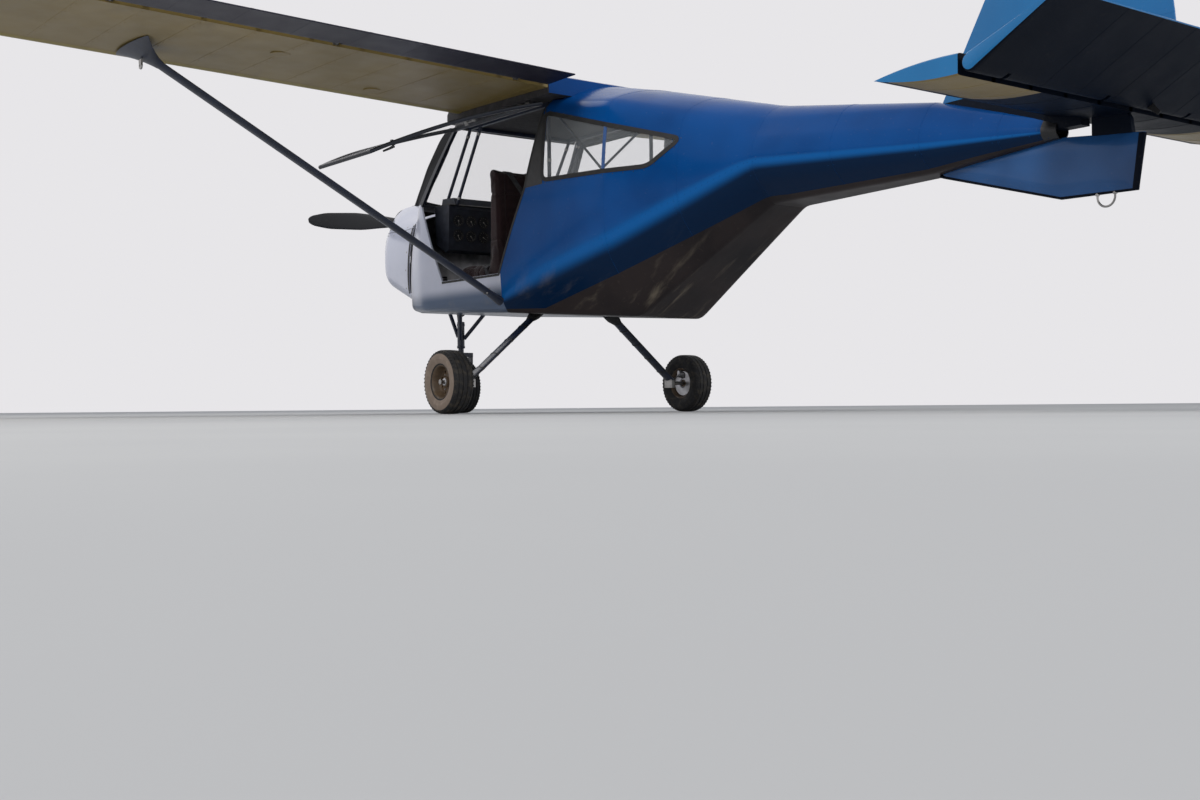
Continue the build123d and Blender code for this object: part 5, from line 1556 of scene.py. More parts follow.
# Engine: crankcase, four finned cylinders, gear case, carburettors, mount bars and exhaust
engine = Form()
engine.slab([(1.470, y, z) for y, z in ((-0.110, 1.130), (0.110, 1.130), (0.125, 1.230), (0.085, 1.345),
                                        (-0.085, 1.345), (-0.125, 1.230))], (0.370, 0, 0))
engine.slab([(1.840, y, z) for y, z in ((-0.068, 1.352), (0.068, 1.352), (0.068, 1.500), (0.045, 1.530),
                                        (-0.045, 1.530), (-0.068, 1.500))], (0.112, 0, 0))
engine.tube([(1.900, 0, SHAFT_Z), (2.112, 0, SHAFT_Z)], 0.0255, 24)
for side in (PORT, STARBOARD):
    for x in (1.560, 1.735):
        profile = [(0.118, 0.070)]
        for k in range(9):
            at = 0.126 + 0.0135 * k
            out = 0.081 if k < 6 else 0.077
            profile += [(at, 0.058), (at, out), (at + 0.004, out), (at + 0.004, 0.058)]
        profile += [(0.247, 0.066), (0.249, 0.040), (0.2495, 0.0001)]
        engine.turned(profile, (x, 0, 1.235), (0, side, 0), 28)
        engine.tube([(x, side * 0.150, 1.330), (x - 0.03, side * 0.120, 1.372),
                     (x - 0.07, side * 0.055, 1.386)], 0.018, 12)
    engine.turned([(0, 0.034), (0.018, 0.036), (0.020, 0.028), (0.060, 0.028), (0.062, 0.0001)],
                  (1.500, side * 0.06, 1.335), (0, 0, 1), 20)
    for z in (1.125, 1.360):
        engine.tube([(COWL_REAR_X, side * 0.220, z), (1.470, side * 0.205, z)], 0.0138, 12)
        engine.turned([(0, 0.030), (0.012, 0.032), (0.030, 0.022), (0.034, 0.0139)],
                      (COWL_REAR_X + 0.001, side * 0.220, z),
                      (1, 0, 0), 18)
    engine.tube([(1.470, side * 0.205, 1.125), (1.470, side * 0.205, 1.360)], 0.0135, 12)
engine.slab([(1.45, -0.24, 1.140), (1.475, -0.24, 1.140), (1.475, 0.24, 1.140), (1.45, 0.24, 1.140)],
            (0, 0, 0.045))
place(engine, "engine_unit", [CASTING], slot="cast_block", replaces=["engine"], bevel=0.0015)
pipes = Form()
for side in (PORT, STARBOARD):
    for x in (1.560, 1.735):
        pipes.tube([(x, side * 0.165, 1.165), (x, side * 0.165, 1.118), (x - 0.01, side * 0.13, 1.094),
                    (x - 0.03, side * 0.07, 1.090)], 0.0155, 14)
place(pipes, "exhaust_pipes", [STEEL], slot="bare_wire")

# Propeller and spinner
HUB_X, HUB_R, HUB_LENGTH = 2.085, 0.105, 0.084
BLADE_X = HUB_X + 0.042
# Columns: radius, chord, thickness, twist
BLADE_ROWS = ((0.060, 0.062, 0.052, 58), (0.190, 0.120, 0.034, 40), (0.430, 0.150, 0.020, 25),
              (0.700, 0.128, 0.013, 17),
              (0.835, 0.070, 0.007, 14))
NOSE_REACH = 2.290


def blade_at(radius):
    """Chord, thickness and twist of the blade at a radius."""
    for low, high in zip(BLADE_ROWS, BLADE_ROWS[1:]):
        if radius <= high[0]:
            t = max(0.0, (radius - low[0]) / (high[0] - low[0]))
            return [a + (b - a) * t for a, b in zip(low[1:], high[1:])]
    return list(BLADE_ROWS[-1][1:])


def blade_ring(radius, size=1.0):
    """The blade's section at a radius, its kinks between rows rounded."""
    span = [max(0.060, min(0.835, radius + d)) for d in (-0.03, -0.015, 0, 0.015, 0.03)]
    chord, thick, twist = (sum(v) / 5 for v in zip(*(blade_at(r) for r in span)))
    chord, thick = chord * size, thick * (0.4 + 0.6 * size) * 0.97
    a = math.radians(twist)
    along, across = Vector((math.sin(a), 0, math.cos(a))), Vector((math.cos(a), 0, -math.sin(a)))
    ring = []
    for i in range(28):
        t = TAU * i / 28
        c = math.cos(t)
        high = abs(math.sin(t)) ** 1.15 * (1 if math.sin(t) > 0 else -1)
        fat = 1.0 + 0.10 * c
        middle = Vector((BLADE_X, radius, SHAFT_Z)) + along * (c * chord / 2)
        ring.append(middle + across * (high * fat * thick * 0.48))
    return ring


propeller = Form()
blade_radii = [0.060 + 0.0325 * i for i in range(24)] + [0.830, 0.840, 0.846, 0.849]
for turn in range(3):
    blade = Form()
    rings = []
    for r in blade_radii:
        size = 1.0 if r <= 0.80 else max(0.42, math.sqrt(max(0.0, 1 - ((r - 0.80) / 0.052) ** 2)))
        rings.append(blade_ring(r, size))
    blade.skin(rings)
    spin = math.radians(-3.4 + 120 * turn)
    propeller.join(blade.turned_about((0, 0, SHAFT_Z), (1, 0, 0), spin))
    cuff = Form()
    cuff.turned([(0.098, 0.036), (0.103, 0.041), (0.120, 0.041), (0.126, 0.036), (0.126, 0.030)],
                (BLADE_X, 0, SHAFT_Z), (0, 1, 0), 28, 1)
    propeller.join(cuff.turned_about((0, 0, SHAFT_Z), (1, 0, 0), spin))
propeller.turned([(0.001, 0.027), (0.001, 0.098), (0.006, HUB_R - 0.0005), (0.010, HUB_R - 0.0005),
                  (0.014, 0.101),
                  (0.070, 0.101), (0.074, HUB_R - 0.0005), (HUB_LENGTH, HUB_R - 0.0005)],
                 (HUB_X, 0, SHAFT_Z), (1, 0, 0), 64, 0)
for i in range(6):
    a = TAU * i / 6 + 0.2
    at = (HUB_X - 0.004, 0.062 * math.cos(a), SHAFT_Z + 0.062 * math.sin(a))
    propeller.turned([(0, 0.007), (0.006, 0.007)], at, (1, 0, 0), 6, 1)
place(propeller, "propeller_unit", [BLADE, ALLOY], "propeller", "blade_black", ["propeller"], sharp=32)
spinner = Form()
spin_x = HUB_X + HUB_LENGTH
spin_length = NOSE_REACH - spin_x
curve = arc((0, HUB_R), (0.62 * spin_length, 0.70 * HUB_R), (spin_length, 0.014), 26)
profile = [(0.0, HUB_R - 0.004), (0.0, HUB_R)] + curve[1:-1]
profile += [(spin_length - 0.0008, 0.012), (spin_length, 0.006), (spin_length, 0.0001)]
spinner.turned(profile, (spin_x, 0, SHAFT_Z), (1, 0, 0), 72)
for i in range(12):
    a = TAU * i / 12
    out = Vector((0.08, math.cos(a), math.sin(a)))
    rim_r = HUB_R - 0.0006
    at = (spin_x + 0.007, rim_r * math.cos(a), SHAFT_Z + rim_r * math.sin(a))
    spinner.dome(at, out, 0.0036, 0.0014, 8, 1)
place(spinner, "spinner_cap", [BLADE, STEEL], "propeller", "blade_black", ["spinner"], sharp=30)
dress("firewall", ALLOY)


# Faired bars: a smooth lens section with round edges between two points
def lens_ring(centre, along, across, chord, thick, count=24):
    ring = []
    for i in range(count):
        t = TAU * i / count
        high = abs(math.sin(t)) ** 1.25 * (1 if math.sin(t) > 0 else -1)
        middle = Vector(centre) + along * (math.cos(t) * chord / 2)
        ring.append(middle + across * (high * thick * 0.5 * (1 + 0.16 * math.cos(t))))
    return ring


def bar_frame(start, end):
    """Directions along a bar, along its section and across it."""
    run = (Vector(end) - Vector(start)).normalized()
    along = (Vector((1, 0, 0)) - run * run.x).normalized()
    return run, along, run.cross(along)


def faired(start, end, rows):
    """A faired bar whose rows give share of the run, chord and thickness."""
    _, along, across = bar_frame(start, end)
    rings = [lens_ring(Vector(start).lerp(Vector(end), t), along, across, c, h) for t, c, h in rows]
    form = Form()
    form.skin(rings)
    return form


# Struts with root cuffs and bolts, fanned upper ends and tie-down lugs
STRUT_FOOT, STRUT_TOP = (0.043, 0.535, 0.702), (0.213, 2.860, 2.045)
GUSSET_Y = 2.740
share = (GUSSET_Y - STRUT_FOOT[1]) / (STRUT_TOP[1] - STRUT_FOOT[1])
GUSSET_X = STRUT_FOOT[0] + share * (STRUT_TOP[0] - STRUT_FOOT[0])
GUSSET_Z = STRUT_FOOT[2] + share * (STRUT_TOP[2] - STRUT_FOOT[2])
struts = faired(STRUT_FOOT, STRUT_TOP, [(0.0, 0.091, 0.033), (0.02, 0.092, 0.034)]
                + [(0.02 + 0.05 * i, 0.092, 0.034) for i in range(1, 20)])
cuffs = faired(STRUT_FOOT, STRUT_TOP,
               [(-0.004, 0.118, 0.052), (0.004, 0.118, 0.052), (0.016, 0.104, 0.044),
                (0.034, 0.0945, 0.0365), (0.036, 0.090, 0.032)])
fan = Form()
fan_rows = []
run, along, across = bar_frame(STRUT_FOOT, STRUT_TOP)
FAN_STEPS = 9
for i in range(FAN_STEPS + 1):
    t = i / FAN_STEPS
    centre = Vector(STRUT_FOOT).lerp(Vector(STRUT_TOP), 0.905 + 0.065 * t)
    turned_to = across.lerp(Vector((0, 1, 0)), t).normalized()
    chord = 0.096 + (0.50 - 0.096) * t ** 1.5
    fan_rows.append(lens_ring(centre, Vector((1, 0, 0)), turned_to, chord, 0.038 + 0.030 * t))
fan.skin(fan_rows)
lug = Form()
lug_x, lug_z = GUSSET_X + 0.015, GUSSET_Z - 0.070
lug.turned([(-0.005, 0.0072), (-0.005, 0.0185), (-0.0035, 0.020), (0.0035, 0.020), (0.005, 0.0185),
            (0.005, 0.0072)],
           (lug_x, GUSSET_Y, lug_z), (0, 1, 0), 32, closed=True)
lug.box((lug_x - 0.0195, GUSSET_Y - 0.005, lug_z + 0.012),
        (lug_x + 0.0195, GUSSET_Y + 0.005, lug_z + 0.034))
strut_bolts = Form()
for dx in (-0.018, 0.018):
    at = Vector(STRUT_FOOT).lerp(Vector(STRUT_TOP), 0.045) + along * dx
    strut_bolts.tube([at - across * 0.0195, at + across * 0.0195], 0.0065, 6)
place_both((
    ("strut_bar", struts, DARK_BAR, "dark_tube", "strut", 0, 35),
    ("strut_cuff", cuffs, DARK_BAR, "dark_tube", None, 0, 35),
    ("strut_fan", fan, DARK_BAR, "dark_tube", None, 0, 35),
    ("tiedown_lug", lug, STEEL, "bare_wire", "tiedown", 0, 35),
    ("strut_bolts", strut_bolts, STEEL, "bare_wire", None, 0, 35),
))

# Main gear legs with their cuffs, axles, brakes and brake lines
WHEEL_R, HALF_TRACK = 0.195, 0.950
LEG_TOP, LEG_FOOT = (0, 0.270, 0.655), (0, 0.800, 0.215)
legs = faired(LEG_TOP, LEG_FOOT, [(0.1 * i, 0.088, 0.028) for i in range(10)]
              + [(0.985, 0.087, 0.027), (1.0, 0.080, 0.022)])
leg_run, leg_along, leg_across = bar_frame(LEG_TOP, LEG_FOOT)
leg_cuff = faired(LEG_TOP, LEG_FOOT,
                  [(0.02, 0.130, 0.062), (0.09, 0.126, 0.058), (0.125, 0.105, 0.044),
                   (0.155, 0.0905, 0.030)])
axle = Form()
block = ((-0.038, 0.163), (0.038, 0.163), (0.038, 0.214), (0.022, 0.236), (-0.022, 0.236), (-0.038, 0.214))
axle.slab([(x, 0.782, z) for x, z in block], (0, 0.030, 0))
axle.tube([(0, 0.790, WHEEL_R), (0, 1.012, WHEEL_R)], 0.0118, 24)
axle.tube([(0, 0.998, WHEEL_R), (0, 1.0115, WHEEL_R)], 0.0178, 6)
for dx, dz in ((-0.026, -0.020), (0.026, -0.020), (-0.026, 0.018), (0.026, 0.018)):
    axle.tube([(dx, 0.779, WHEEL_R + dz), (dx, 0.815, WHEEL_R + dz)], 0.0058, 6)
caliper = Form()
block = rounded([(-0.030, 0.042), (-0.074, 0.030), (-0.078, 0.066), (-0.036, 0.088)], 0.010, 4)
caliper.slab([(x, 0.838, WHEEL_R + z) for x, z in block], (0, 0.034, 0))
caliper.turned([(0, 0.017), (0.006, 0.017), (0.008, 0.0001)], (-0.055, 0.837, WHEEL_R + 0.057),
               (0, -1, 0), 20)
line = [Vector(LEG_TOP).lerp(Vector(LEG_FOOT), 0.11 + 0.085 * i) - leg_along * 0.0455 for i in range(10)]
line += [Vector((-0.052, 0.800, 0.222)), Vector((-0.060, 0.822, 0.245))]
brake_line = Form().tube(line, 0.0034, 8)
for i in range(4):
    at = Vector(LEG_TOP).lerp(Vector(LEG_FOOT), 0.25 + 0.2 * i)
    brake_line.skin([lens_ring(at + leg_run * d, leg_along, leg_across, 0.0975, 0.0305)
                     for d in (0, 0.008)])
place_both((
    ("gear_leg", legs, DARK_BAR, "dark_tube", "main_leg", 0, 35),
    ("leg_cuff", leg_cuff, SEAL, "dark_plastic", None, 0, 35),
    ("stub_axle", axle, STEEL, "bare_wire", None, 0.0012, 35),
    ("brake_caliper", caliper, ALLOY, "bare_wire", None, 0, 35),
    ("brake_line", brake_line, BLACK_PLASTIC, "dark_plastic", None, 0, 35),
))


# Wheels: tyre with a grooved tread and a ring on its side, dished rim with holes, bolts and a brake disc
def tyre_profile(width, radius, rim_r):
    """The tyre's section as (across, out), from one bead over the grooved tread to the other."""
    half = width / 2
    side = [(0.80 * half, rim_r - 0.004), (0.86 * half, rim_r + 0.006), (0.955 * half, rim_r + 0.022),
            (0.955 * half, rim_r + 0.026), (0.985 * half, rim_r + 0.030),
            (0.998 * half, rim_r + 0.42 * (radius - rim_r)),
            (0.985 * half, rim_r + 0.60 * (radius - rim_r)), (0.94 * half, radius - 0.024),
            (0.90 * half, radius - 0.0165),
            (0.80 * half, radius - 0.0075)]
    deep = 0.0055
    tread = []
    for at in (0.62, 0.22):
        tread += [(at * half + 0.0035, radius - 0.0035 * at), (at * half + 0.0025, radius - deep),
                  (at * half - 0.0025, radius - deep),
                  (at * half - 0.0035, radius - 0.003 * at)]
    port_half = side + tread
    return port_half + [(-a, r) for a, r in reversed(port_half)]


def tyre(x, y, radius, width, rim_r):
    """A tyre with the blocks of its shoulders."""
    form = Form()
    profile = tyre_profile(width, radius, rim_r)
    count = len(profile)

    def mark(i):
        step = min(i, count - 2 - i) if i < count - 1 else 0
        return 1 if 1 <= step <= 6 else 0

    form.turned(profile, (x, y, radius), (0, 1, 0), 96, mark, closed=True)
    # Shoulder blocks
    for k in range(48):
        a = TAU * k / 48
        for side in (1, -1):
            low, high = 0.93 * width / 2, 0.80 * width / 2
            ring = []
            for da, across, out in ((-0.026, high, radius - 0.0078), (0.026, high, radius - 0.0078),
                                    (0.026, low, radius - 0.0190), (-0.026, low, radius - 0.0190)):
                ring.append(Vector((x + out * math.cos(a + da), y + side * across,
                                    radius + out * math.sin(a + da))))
            middle = sum(ring, Vector()) / 4
            out_dir = (Vector((math.cos(a), side * 0.75, math.sin(a)))).normalized()
            top = [p.lerp(middle, 0.12) + out_dir * 0.0032 for p in ring]
            form.skin([[p - out_dir * 0.002 for p in ring], top])
    return form


def rim(x, y, radius, width, rim_r, axle_r):
    """A dished rim, from one flange over web and hub to the other, with the tyre's seat outside."""
    half = 0.40 * width
    outline = [(half, rim_r - 0.001), (half + 0.001, rim_r - 0.004), (half - 0.003, rim_r - 0.0075),
               (half - 0.010, rim_r - 0.013),
               (0.022, rim_r - 0.017), (0.0085, rim_r - 0.026), (0.0065, 0.062), (0.0065, 0.048),
               (0.012, axle_r + 0.021),
               (0.026, axle_r + 0.017), (0.0278, axle_r + 0.013), (0.0278, axle_r + 0.0008)]
    back = [(-a, r) for a, r in reversed(outline)]
    outer = [(-half, rim_r - 0.001), (-half + 0.012, rim_r - 0.0035), (-0.012, rim_r - 0.006),
             (0.012, rim_r - 0.006), (half - 0.012, rim_r - 0.0035)]
    return Form().turned(outline + back[:-1] + outer, (x, y, radius), (0, 1, 0), 72, closed=True)


def rim_holes(x, y, radius, ring_r, hole_r, count, half=0.030):
    """Round bars that drill the holes of the web."""
    form = Form()
    for k in range(count):
        a = TAU * (k + 0.5) / count
        at = Vector((x + ring_r * math.cos(a), y, radius + ring_r * math.sin(a)))
        form.tube([at - Vector((0, half, 0)), at + Vector((0, half, 0))], hole_r, 18)
    return form


def rim_fittings(x, y, radius, axle_r, disc_side, rim_r):
    """Bolts round the hub, a valve and the hub cap. The brake disc sits on the side towards the leg."""
    form = Form()
    for k in range(6):
        a = TAU * k / 6
        at = Vector((x + 0.050 * math.cos(a), y, radius + 0.050 * math.sin(a)))
        form.tube([at - Vector((0, 0.0125, 0)), at + Vector((0, 0.0125, 0))], 0.0052, 6)
    a = 0.9
    at = Vector((x + (rim_r - 0.024) * math.cos(a), y, radius + (rim_r - 0.024) * math.sin(a)))
    form.tube([at - Vector((0, disc_side * d, 0)) for d in (0.006, 0.034)], 0.0036, 10)
    if disc_side:
        form.turned([(0, 0.034), (0, 0.083), (0.0045, 0.083), (0.0045, 0.034)],
                    (x, y - 0.031 * disc_side, radius), (0, -disc_side, 0), 64, closed=True)
        form.turned([(0, 0.036), (0.022, 0.036), (0.024, 0.026), (0.0, 0.026)],
                    (x, y - 0.008 * disc_side, radius), (0, -disc_side, 0), 48, closed=True)
    form.turned([(0, axle_r + 0.0125), (0.005, axle_r + 0.0115), (0.007, axle_r + 0.008),
                 (0.007, axle_r + 0.001), (0, axle_r + 0.001)],
                (x, y + 0.0272 * (disc_side or 1), radius), (0, disc_side or 1, 0), 36, closed=True)
    return form


RIM_R = 0.106
NOSE_WHEEL_X, NOSE_WHEEL_R, NOSE_TYRE = 1.400, 0.190, 0.118
for side_name, side, x, y, radius, width, rim_r, axle_r, body in (
    ("port", 1, 0, HALF_TRACK, WHEEL_R, 0.145, RIM_R, 0.012, "port_wheel"),
    ("starboard", -1, 0, -HALF_TRACK, WHEEL_R, 0.145, RIM_R, 0.012, "starboard_wheel"),
    ("nose", 0, NOSE_WHEEL_X, 0, NOSE_WHEEL_R, NOSE_TYRE, RIM_R - 0.008, 0.009, "nose_wheel"),
):
    place(tyre(x, y, radius, width, rim_r), f"tyre_tread_{side_name}",
          [TYRE, TYRE_RING if side_name == "port" else TYRE], body,
          "tyre", [f"tyre_{side_name}"], sharp=28)
    disc = place(rim(x, y, radius, width, rim_r, axle_r), f"rim_dish_{side_name}", [RIM], body,
                 "rim_metal", [f"rim_{side_name}"], sharp=30)
    cut(disc, rim_holes(x, y, radius, 0.068, 0.0085, 8), 30)
    place(rim_fittings(x, y, radius, axle_r, side, rim_r), f"rim_fittings_{side_name}", [ALLOY], body,
          "bare_wire", sharp=28)

# Nose leg: a sleeve with collars, its bars and their feet, then the steered fork and its axle
SLEEVE_LOW, SLEEVE_HIGH = 0.470, 0.650
nose_leg = Form()
nose_leg.turned([(0, 0.0203), (0, 0.028), (0.003, 0.0290), (0.016, 0.0290), (0.019, 0.0262),
                 (0.160, 0.0262), (0.163, 0.0290),
                 (0.177, 0.0290), (0.180, 0.028), (0.180, 0.0203)], (NOSE_WHEEL_X, 0, SLEEVE_LOW),
                (0, 0, 1), 40, closed=True)
for side in (PORT, STARBOARD):
    nose_leg.tube([(NOSE_WHEEL_X + 0.020, side * 0.012, 0.555), (1.634, side * 0.088, 1.080)], 0.0138, 16)
    nose_leg.tube([(NOSE_WHEEL_X - 0.020, side * 0.016, 0.540), (1.214, side * 0.1195, 0.750)],
                  0.0138, 16)
    nose_leg.turned([(0, 0.019), (0.016, 0.019), (0.018, 0.0139)],
                    (1.640 - 0.0115, side * (0.090 - 0.0044), 1.055), (0.41, side * 0.158, 0.92), 16)
place(nose_leg, "nose_leg_frame", [DARK_BAR], slot="dark_tube", replaces=["nose_leg"], sharp=30)
fork = Form()
crown_low, crown_high = 0.408, 0.438
blade_in, blade_out = NOSE_TYRE / 2 + 0.014, NOSE_TYRE / 2 + 0.026
fork.tube([(NOSE_WHEEL_X, 0, crown_high - 0.002), (NOSE_WHEEL_X, 0, SLEEVE_HIGH + 0.012)], 0.0199, 32)
fork.turned([(0, 0.0262), (0.002, 0.027), (0.009, 0.027), (0.011, 0.024), (0.011, 0.0001)],
            (NOSE_WHEEL_X, 0, SLEEVE_HIGH + 0.001), (0, 0, 1), 32)
crown = rounded_box((NOSE_WHEEL_X - 0.036, -blade_out), (NOSE_WHEEL_X + 0.036, blade_out), 0.014, 5)
fork.slab([(x, y, crown_low) for x, y in crown], (0, 0, crown_high - crown_low))
for side in (PORT, STARBOARD):
    blade = [(-0.026, 0.411), (-0.024, 0.30), (-0.024, 0.19), (-0.017, 0.171), (0, 0.1645),
             (0.017, 0.171), (0.024, 0.19), (0.024, 0.30), (0.026, 0.411)]
    low = blade_in if side == PORT else -blade_out
    fork.slab([(NOSE_WHEEL_X + x, low, z) for x, z in blade], (0, 0.012, 0))
    fork.tube([(NOSE_WHEEL_X, side * (blade_out - 0.002), NOSE_WHEEL_R),
               (NOSE_WHEEL_X, side * (blade_out + 0.014), NOSE_WHEEL_R)], 0.0165, 6)
axle_half = blade_out + 0.026
fork.tube([(NOSE_WHEEL_X, -axle_half + 0.0002, NOSE_WHEEL_R),
           (NOSE_WHEEL_X, axle_half - 0.0002, NOSE_WHEEL_R)], 0.0089, 20)
place(fork, "nose_fork_unit", [DARK_BAR], "nose_fork", "dark_tube", ["nose_fork"], bevel=0.0012, sharp=30)


# Roof between the wings with rounded sides, straps on it, and the doors' fixed knuckles
ROOF_HALF, ROOF_NOSE_X = 0.560, 0.640


def wing_xz(share, height):
    p = wing_point(share, height, WING_ROOT_Y)
    return (p.x, p.z)


nose_at = (ROOF_NOSE_X, 1.966)
crest = wing_xz(0.30, 0.112)
rear_top = wing_xz(FIXED_SHARE, 0.040)
rear_low = (wing_xz(FIXED_SHARE, 0)[0], ROOF_UNDERSIDE)
roof_line = arc(nose_at, wing_xz(0.07, 0.072), crest, 18)[:-1]
roof_line += arc(crest, wing_xz(0.55, 0.092), rear_top, 18)
roof_outline = roof_line + [(rear_low[0], rear_low[1] + 0.05), rear_low, (0.30, ROOF_UNDERSIDE),
                            (ROOF_NOSE_X - 0.012, ROOF_UNDERSIDE),
                            (ROOF_NOSE_X + 0.001, 1.930)]
ROOF_MIDDLE_Z = 1.98
roof_rings = []
ROOF_SIDE = ((ROOF_HALF, 0.965), (0.556, 0.99), (0.546, 1.0), (0.35, 1.0), (0.15, 1.0))
for y, size in [(-y, size) for y, size in ROOF_SIDE] + list(reversed(ROOF_SIDE)):
    ring = []
    for x, z in roof_outline:
        drawn = ROOF_MIDDLE_Z + (z - ROOF_MIDDLE_Z) * size if z > ROOF_UNDERSIDE + 0.01 else z
        ring.append(Vector((x, y, drawn)))
    roof_rings.append(ring)
roof = Form()
top_count = len(roof_line)
roof.skin(roof_rings, lambda r, i: 0 if 2 <= i < top_count + 1 else 1)
roof.marks[-2:] = [1, 1]
place(roof, "roof_skin", [BLUE, LINING], slot="blue_paint", replaces=["roof"], sharp=40)
roof_trim = Form()
for y in (-0.28, 0.0, 0.28):
    edges = ((-0.012, -0.001), (-0.011, 0.0007), (0.011, 0.0007), (0.012, -0.001))
    roof_trim.skin([[Vector((x, y + dy, z + lift)) for dy, lift in edges] for x, z in roof_line[2:]])
place(roof_trim, "roof_straps", [BLUE], slot="blue_paint")

HINGE_Y, HINGE_Z, KNUCKLE = 0.515, 1.892, 0.044
HINGE_STATIONS = (0.420, -0.190)
fixed_knuckles = Form()
for x in HINGE_STATIONS:
    for step in (-1, 1):
        middle = x + step * (KNUCKLE + 0.002)
        fixed_knuckles.tube([(middle - KNUCKLE / 2, HINGE_Y, HINGE_Z),
                             (middle + KNUCKLE / 2, HINGE_Y, HINGE_Z)], 0.0088, 18)
        fixed_knuckles.box((middle - KNUCKLE / 2, HINGE_Y - 0.009, HINGE_Z),
                           (middle + KNUCKLE / 2, HINGE_Y + 0.009, 1.906))
    fixed_knuckles.tube([(x - 0.070, HINGE_Y, HINGE_Z), (x + 0.070, HINGE_Y, HINGE_Z)], 0.0039, 10)
place_both((("roof_knuckles", fixed_knuckles, STEEL, "bare_wire", None, 0.0008, 35),))

# Doors: a curved frame with rounded edges, a seal, knuckles, rivets, latch pins and a handle
DOOR_THICK, DOOR_WIDE = 0.024, 0.034
DOOR_OUTLINE = [(0.016, 0.883), (0.694, 0.883), (0.952, 1.402), (0.592, 1.897), (-0.375, 1.897),
                (-0.235, 1.360)]


def door_y(z):
    """Half-width of the door's outer face at height z."""
    (y0, z0), (y1, z1), (y2, z2) = (0.560, 0.705), (0.578, 1.305), (0.505, 1.905)
    return (y0 * (z - z1) * (z - z2) / ((z0 - z1) * (z0 - z2))
            + y1 * (z - z0) * (z - z2) / ((z1 - z0) * (z1 - z2))
            + y2 * (z - z0) * (z - z1) / ((z2 - z0) * (z2 - z1)))


def inset(outline, amount):
    """A closed outline drawn inside by an amount, corner by corner."""
    count = len(outline)
    found = []
    for i in range(count):
        a, b, c = (Vector(outline[j % count]) for j in (i - 1, i, i + 1))
        u, v = (b - a).normalized(), (c - b).normalized()
        nu, nv = Vector((-u.y, u.x)), Vector((-v.y, v.x))
        lean = (nu + nv).normalized()
        found.append(tuple(b + lean * amount / max(0.3, lean.dot(nu))))
    return found


def door_loop(amount, depth, step=0.04):
    """Points round the door, inside its outline by an amount and below its face by a depth."""
    line = []
    drawn = inset(DOOR_OUTLINE, amount)
    for i, (a, b) in enumerate(zip(drawn, drawn[1:] + drawn[:1])):
        a, b = Vector(a), Vector(b)
        full = (Vector(DOOR_OUTLINE[(i + 1) % len(drawn)]) - Vector(DOOR_OUTLINE[i])).length
        count = max(2, round(full / step))
        near = 0.012 / full
        line += [a.lerp(b, t)
                 for t in sorted([0.0, near, 1 - near] + [k / count for k in range(1, count)])]
    return [Vector((p.x, door_y(p.y) - depth, p.y)) for p in line]


def loop_skin(form, section):
    """A bar right round the door, with a section of (amount inside, depth) rows."""
    loops = [door_loop(amount, depth) for amount, depth in section]
    rings = [list(points) for points in zip(*loops)]
    form.skin(rings + [rings[0]], caps=(False, False))


def door_parts():
    """Frame, seal, metal fittings and handle of the port door, drawn closed."""
    frame_form, seal, metal, grip = Form(), Form(), Form(), Form()
    section = [(0.0, 0.006), (0.0, 0.018), (0.003, DOOR_THICK), (DOOR_WIDE - 0.006, DOOR_THICK),
               (DOOR_WIDE, 0.020),
               (DOOR_WIDE, 0.004), (DOOR_WIDE - 0.005, 0.0005), (0.006, 0.0005)]
    loop_skin(frame_form, section)
    inner, outer = DOOR_WIDE - 0.002, DOOR_WIDE + 0.009
    loop_skin(seal, [(inner, 0.0035), (outer, 0.0035), (outer, 0.0062), (inner, 0.0062)])
    for x in HINGE_STATIONS:
        metal.tube([(x - KNUCKLE / 2 + 0.0004, HINGE_Y, HINGE_Z),
                    (x + KNUCKLE / 2 - 0.0004, HINGE_Y, HINGE_Z)], 0.0087, 18)
        metal.slab([(x - 0.021, HINGE_Y - 0.009, HINGE_Z - 0.002),
                    (x - 0.021, HINGE_Y + 0.002, HINGE_Z - 0.004),
                    (x - 0.021, HINGE_Y - 0.004, HINGE_Z - 0.040),
                    (x - 0.021, HINGE_Y - 0.012, HINGE_Z - 0.040)], (0.042, 0, 0))
        for dx in (-0.013, 0.013):
            metal.dome((x + dx, HINGE_Y - 0.0035, HINGE_Z - 0.028), (0, 1, 0.1), 0.0038, 0.0018, 8)
    for x, z in ((0.060, 0.900), (0.640, 0.900)):
        metal.tube([(x - 0.012, door_y(z) - 0.018, z), (x + 0.016, door_y(z) - 0.018, z)], 0.0055, 10)
    loop = door_loop(0.017, 0.0004, 0.11)
    for t in range(26):
        metal.dome(loop[(3 * t + 2) % len(loop)], (0, 1, 0), 0.0032, 0.0012, 7)
    at = Vector((-0.032, door_y(1.020), 1.020))
    grip.tube([(at.x, at.y - 0.030, at.z), (at.x, at.y + 0.0005, at.z)], 0.011, 18)
    grip.tube([(at.x, at.y - 0.034, at.z), (at.x + 0.006, at.y - 0.038, at.z - 0.03),
               (at.x + 0.010, at.y - 0.040, at.z - 0.075)], [0.009, 0.0075, 0.006], 12)
    grip.tube([(at.x - 0.014, at.y - 0.001, at.z - 0.004), (at.x + 0.02, at.y + 0.0008, at.z + 0.005)],
              0.0065, 10)
    return (
        ("door_rim", frame_form, DOOR_DARK, "dark_tube", "door_frame"),
        ("door_seal", seal, SEAL, "dark_plastic", None),
        ("door_metal", metal, STEEL, "bare_wire", None),
        ("door_grip", grip, BLACK_PLASTIC, "dark_plastic", None),
    )


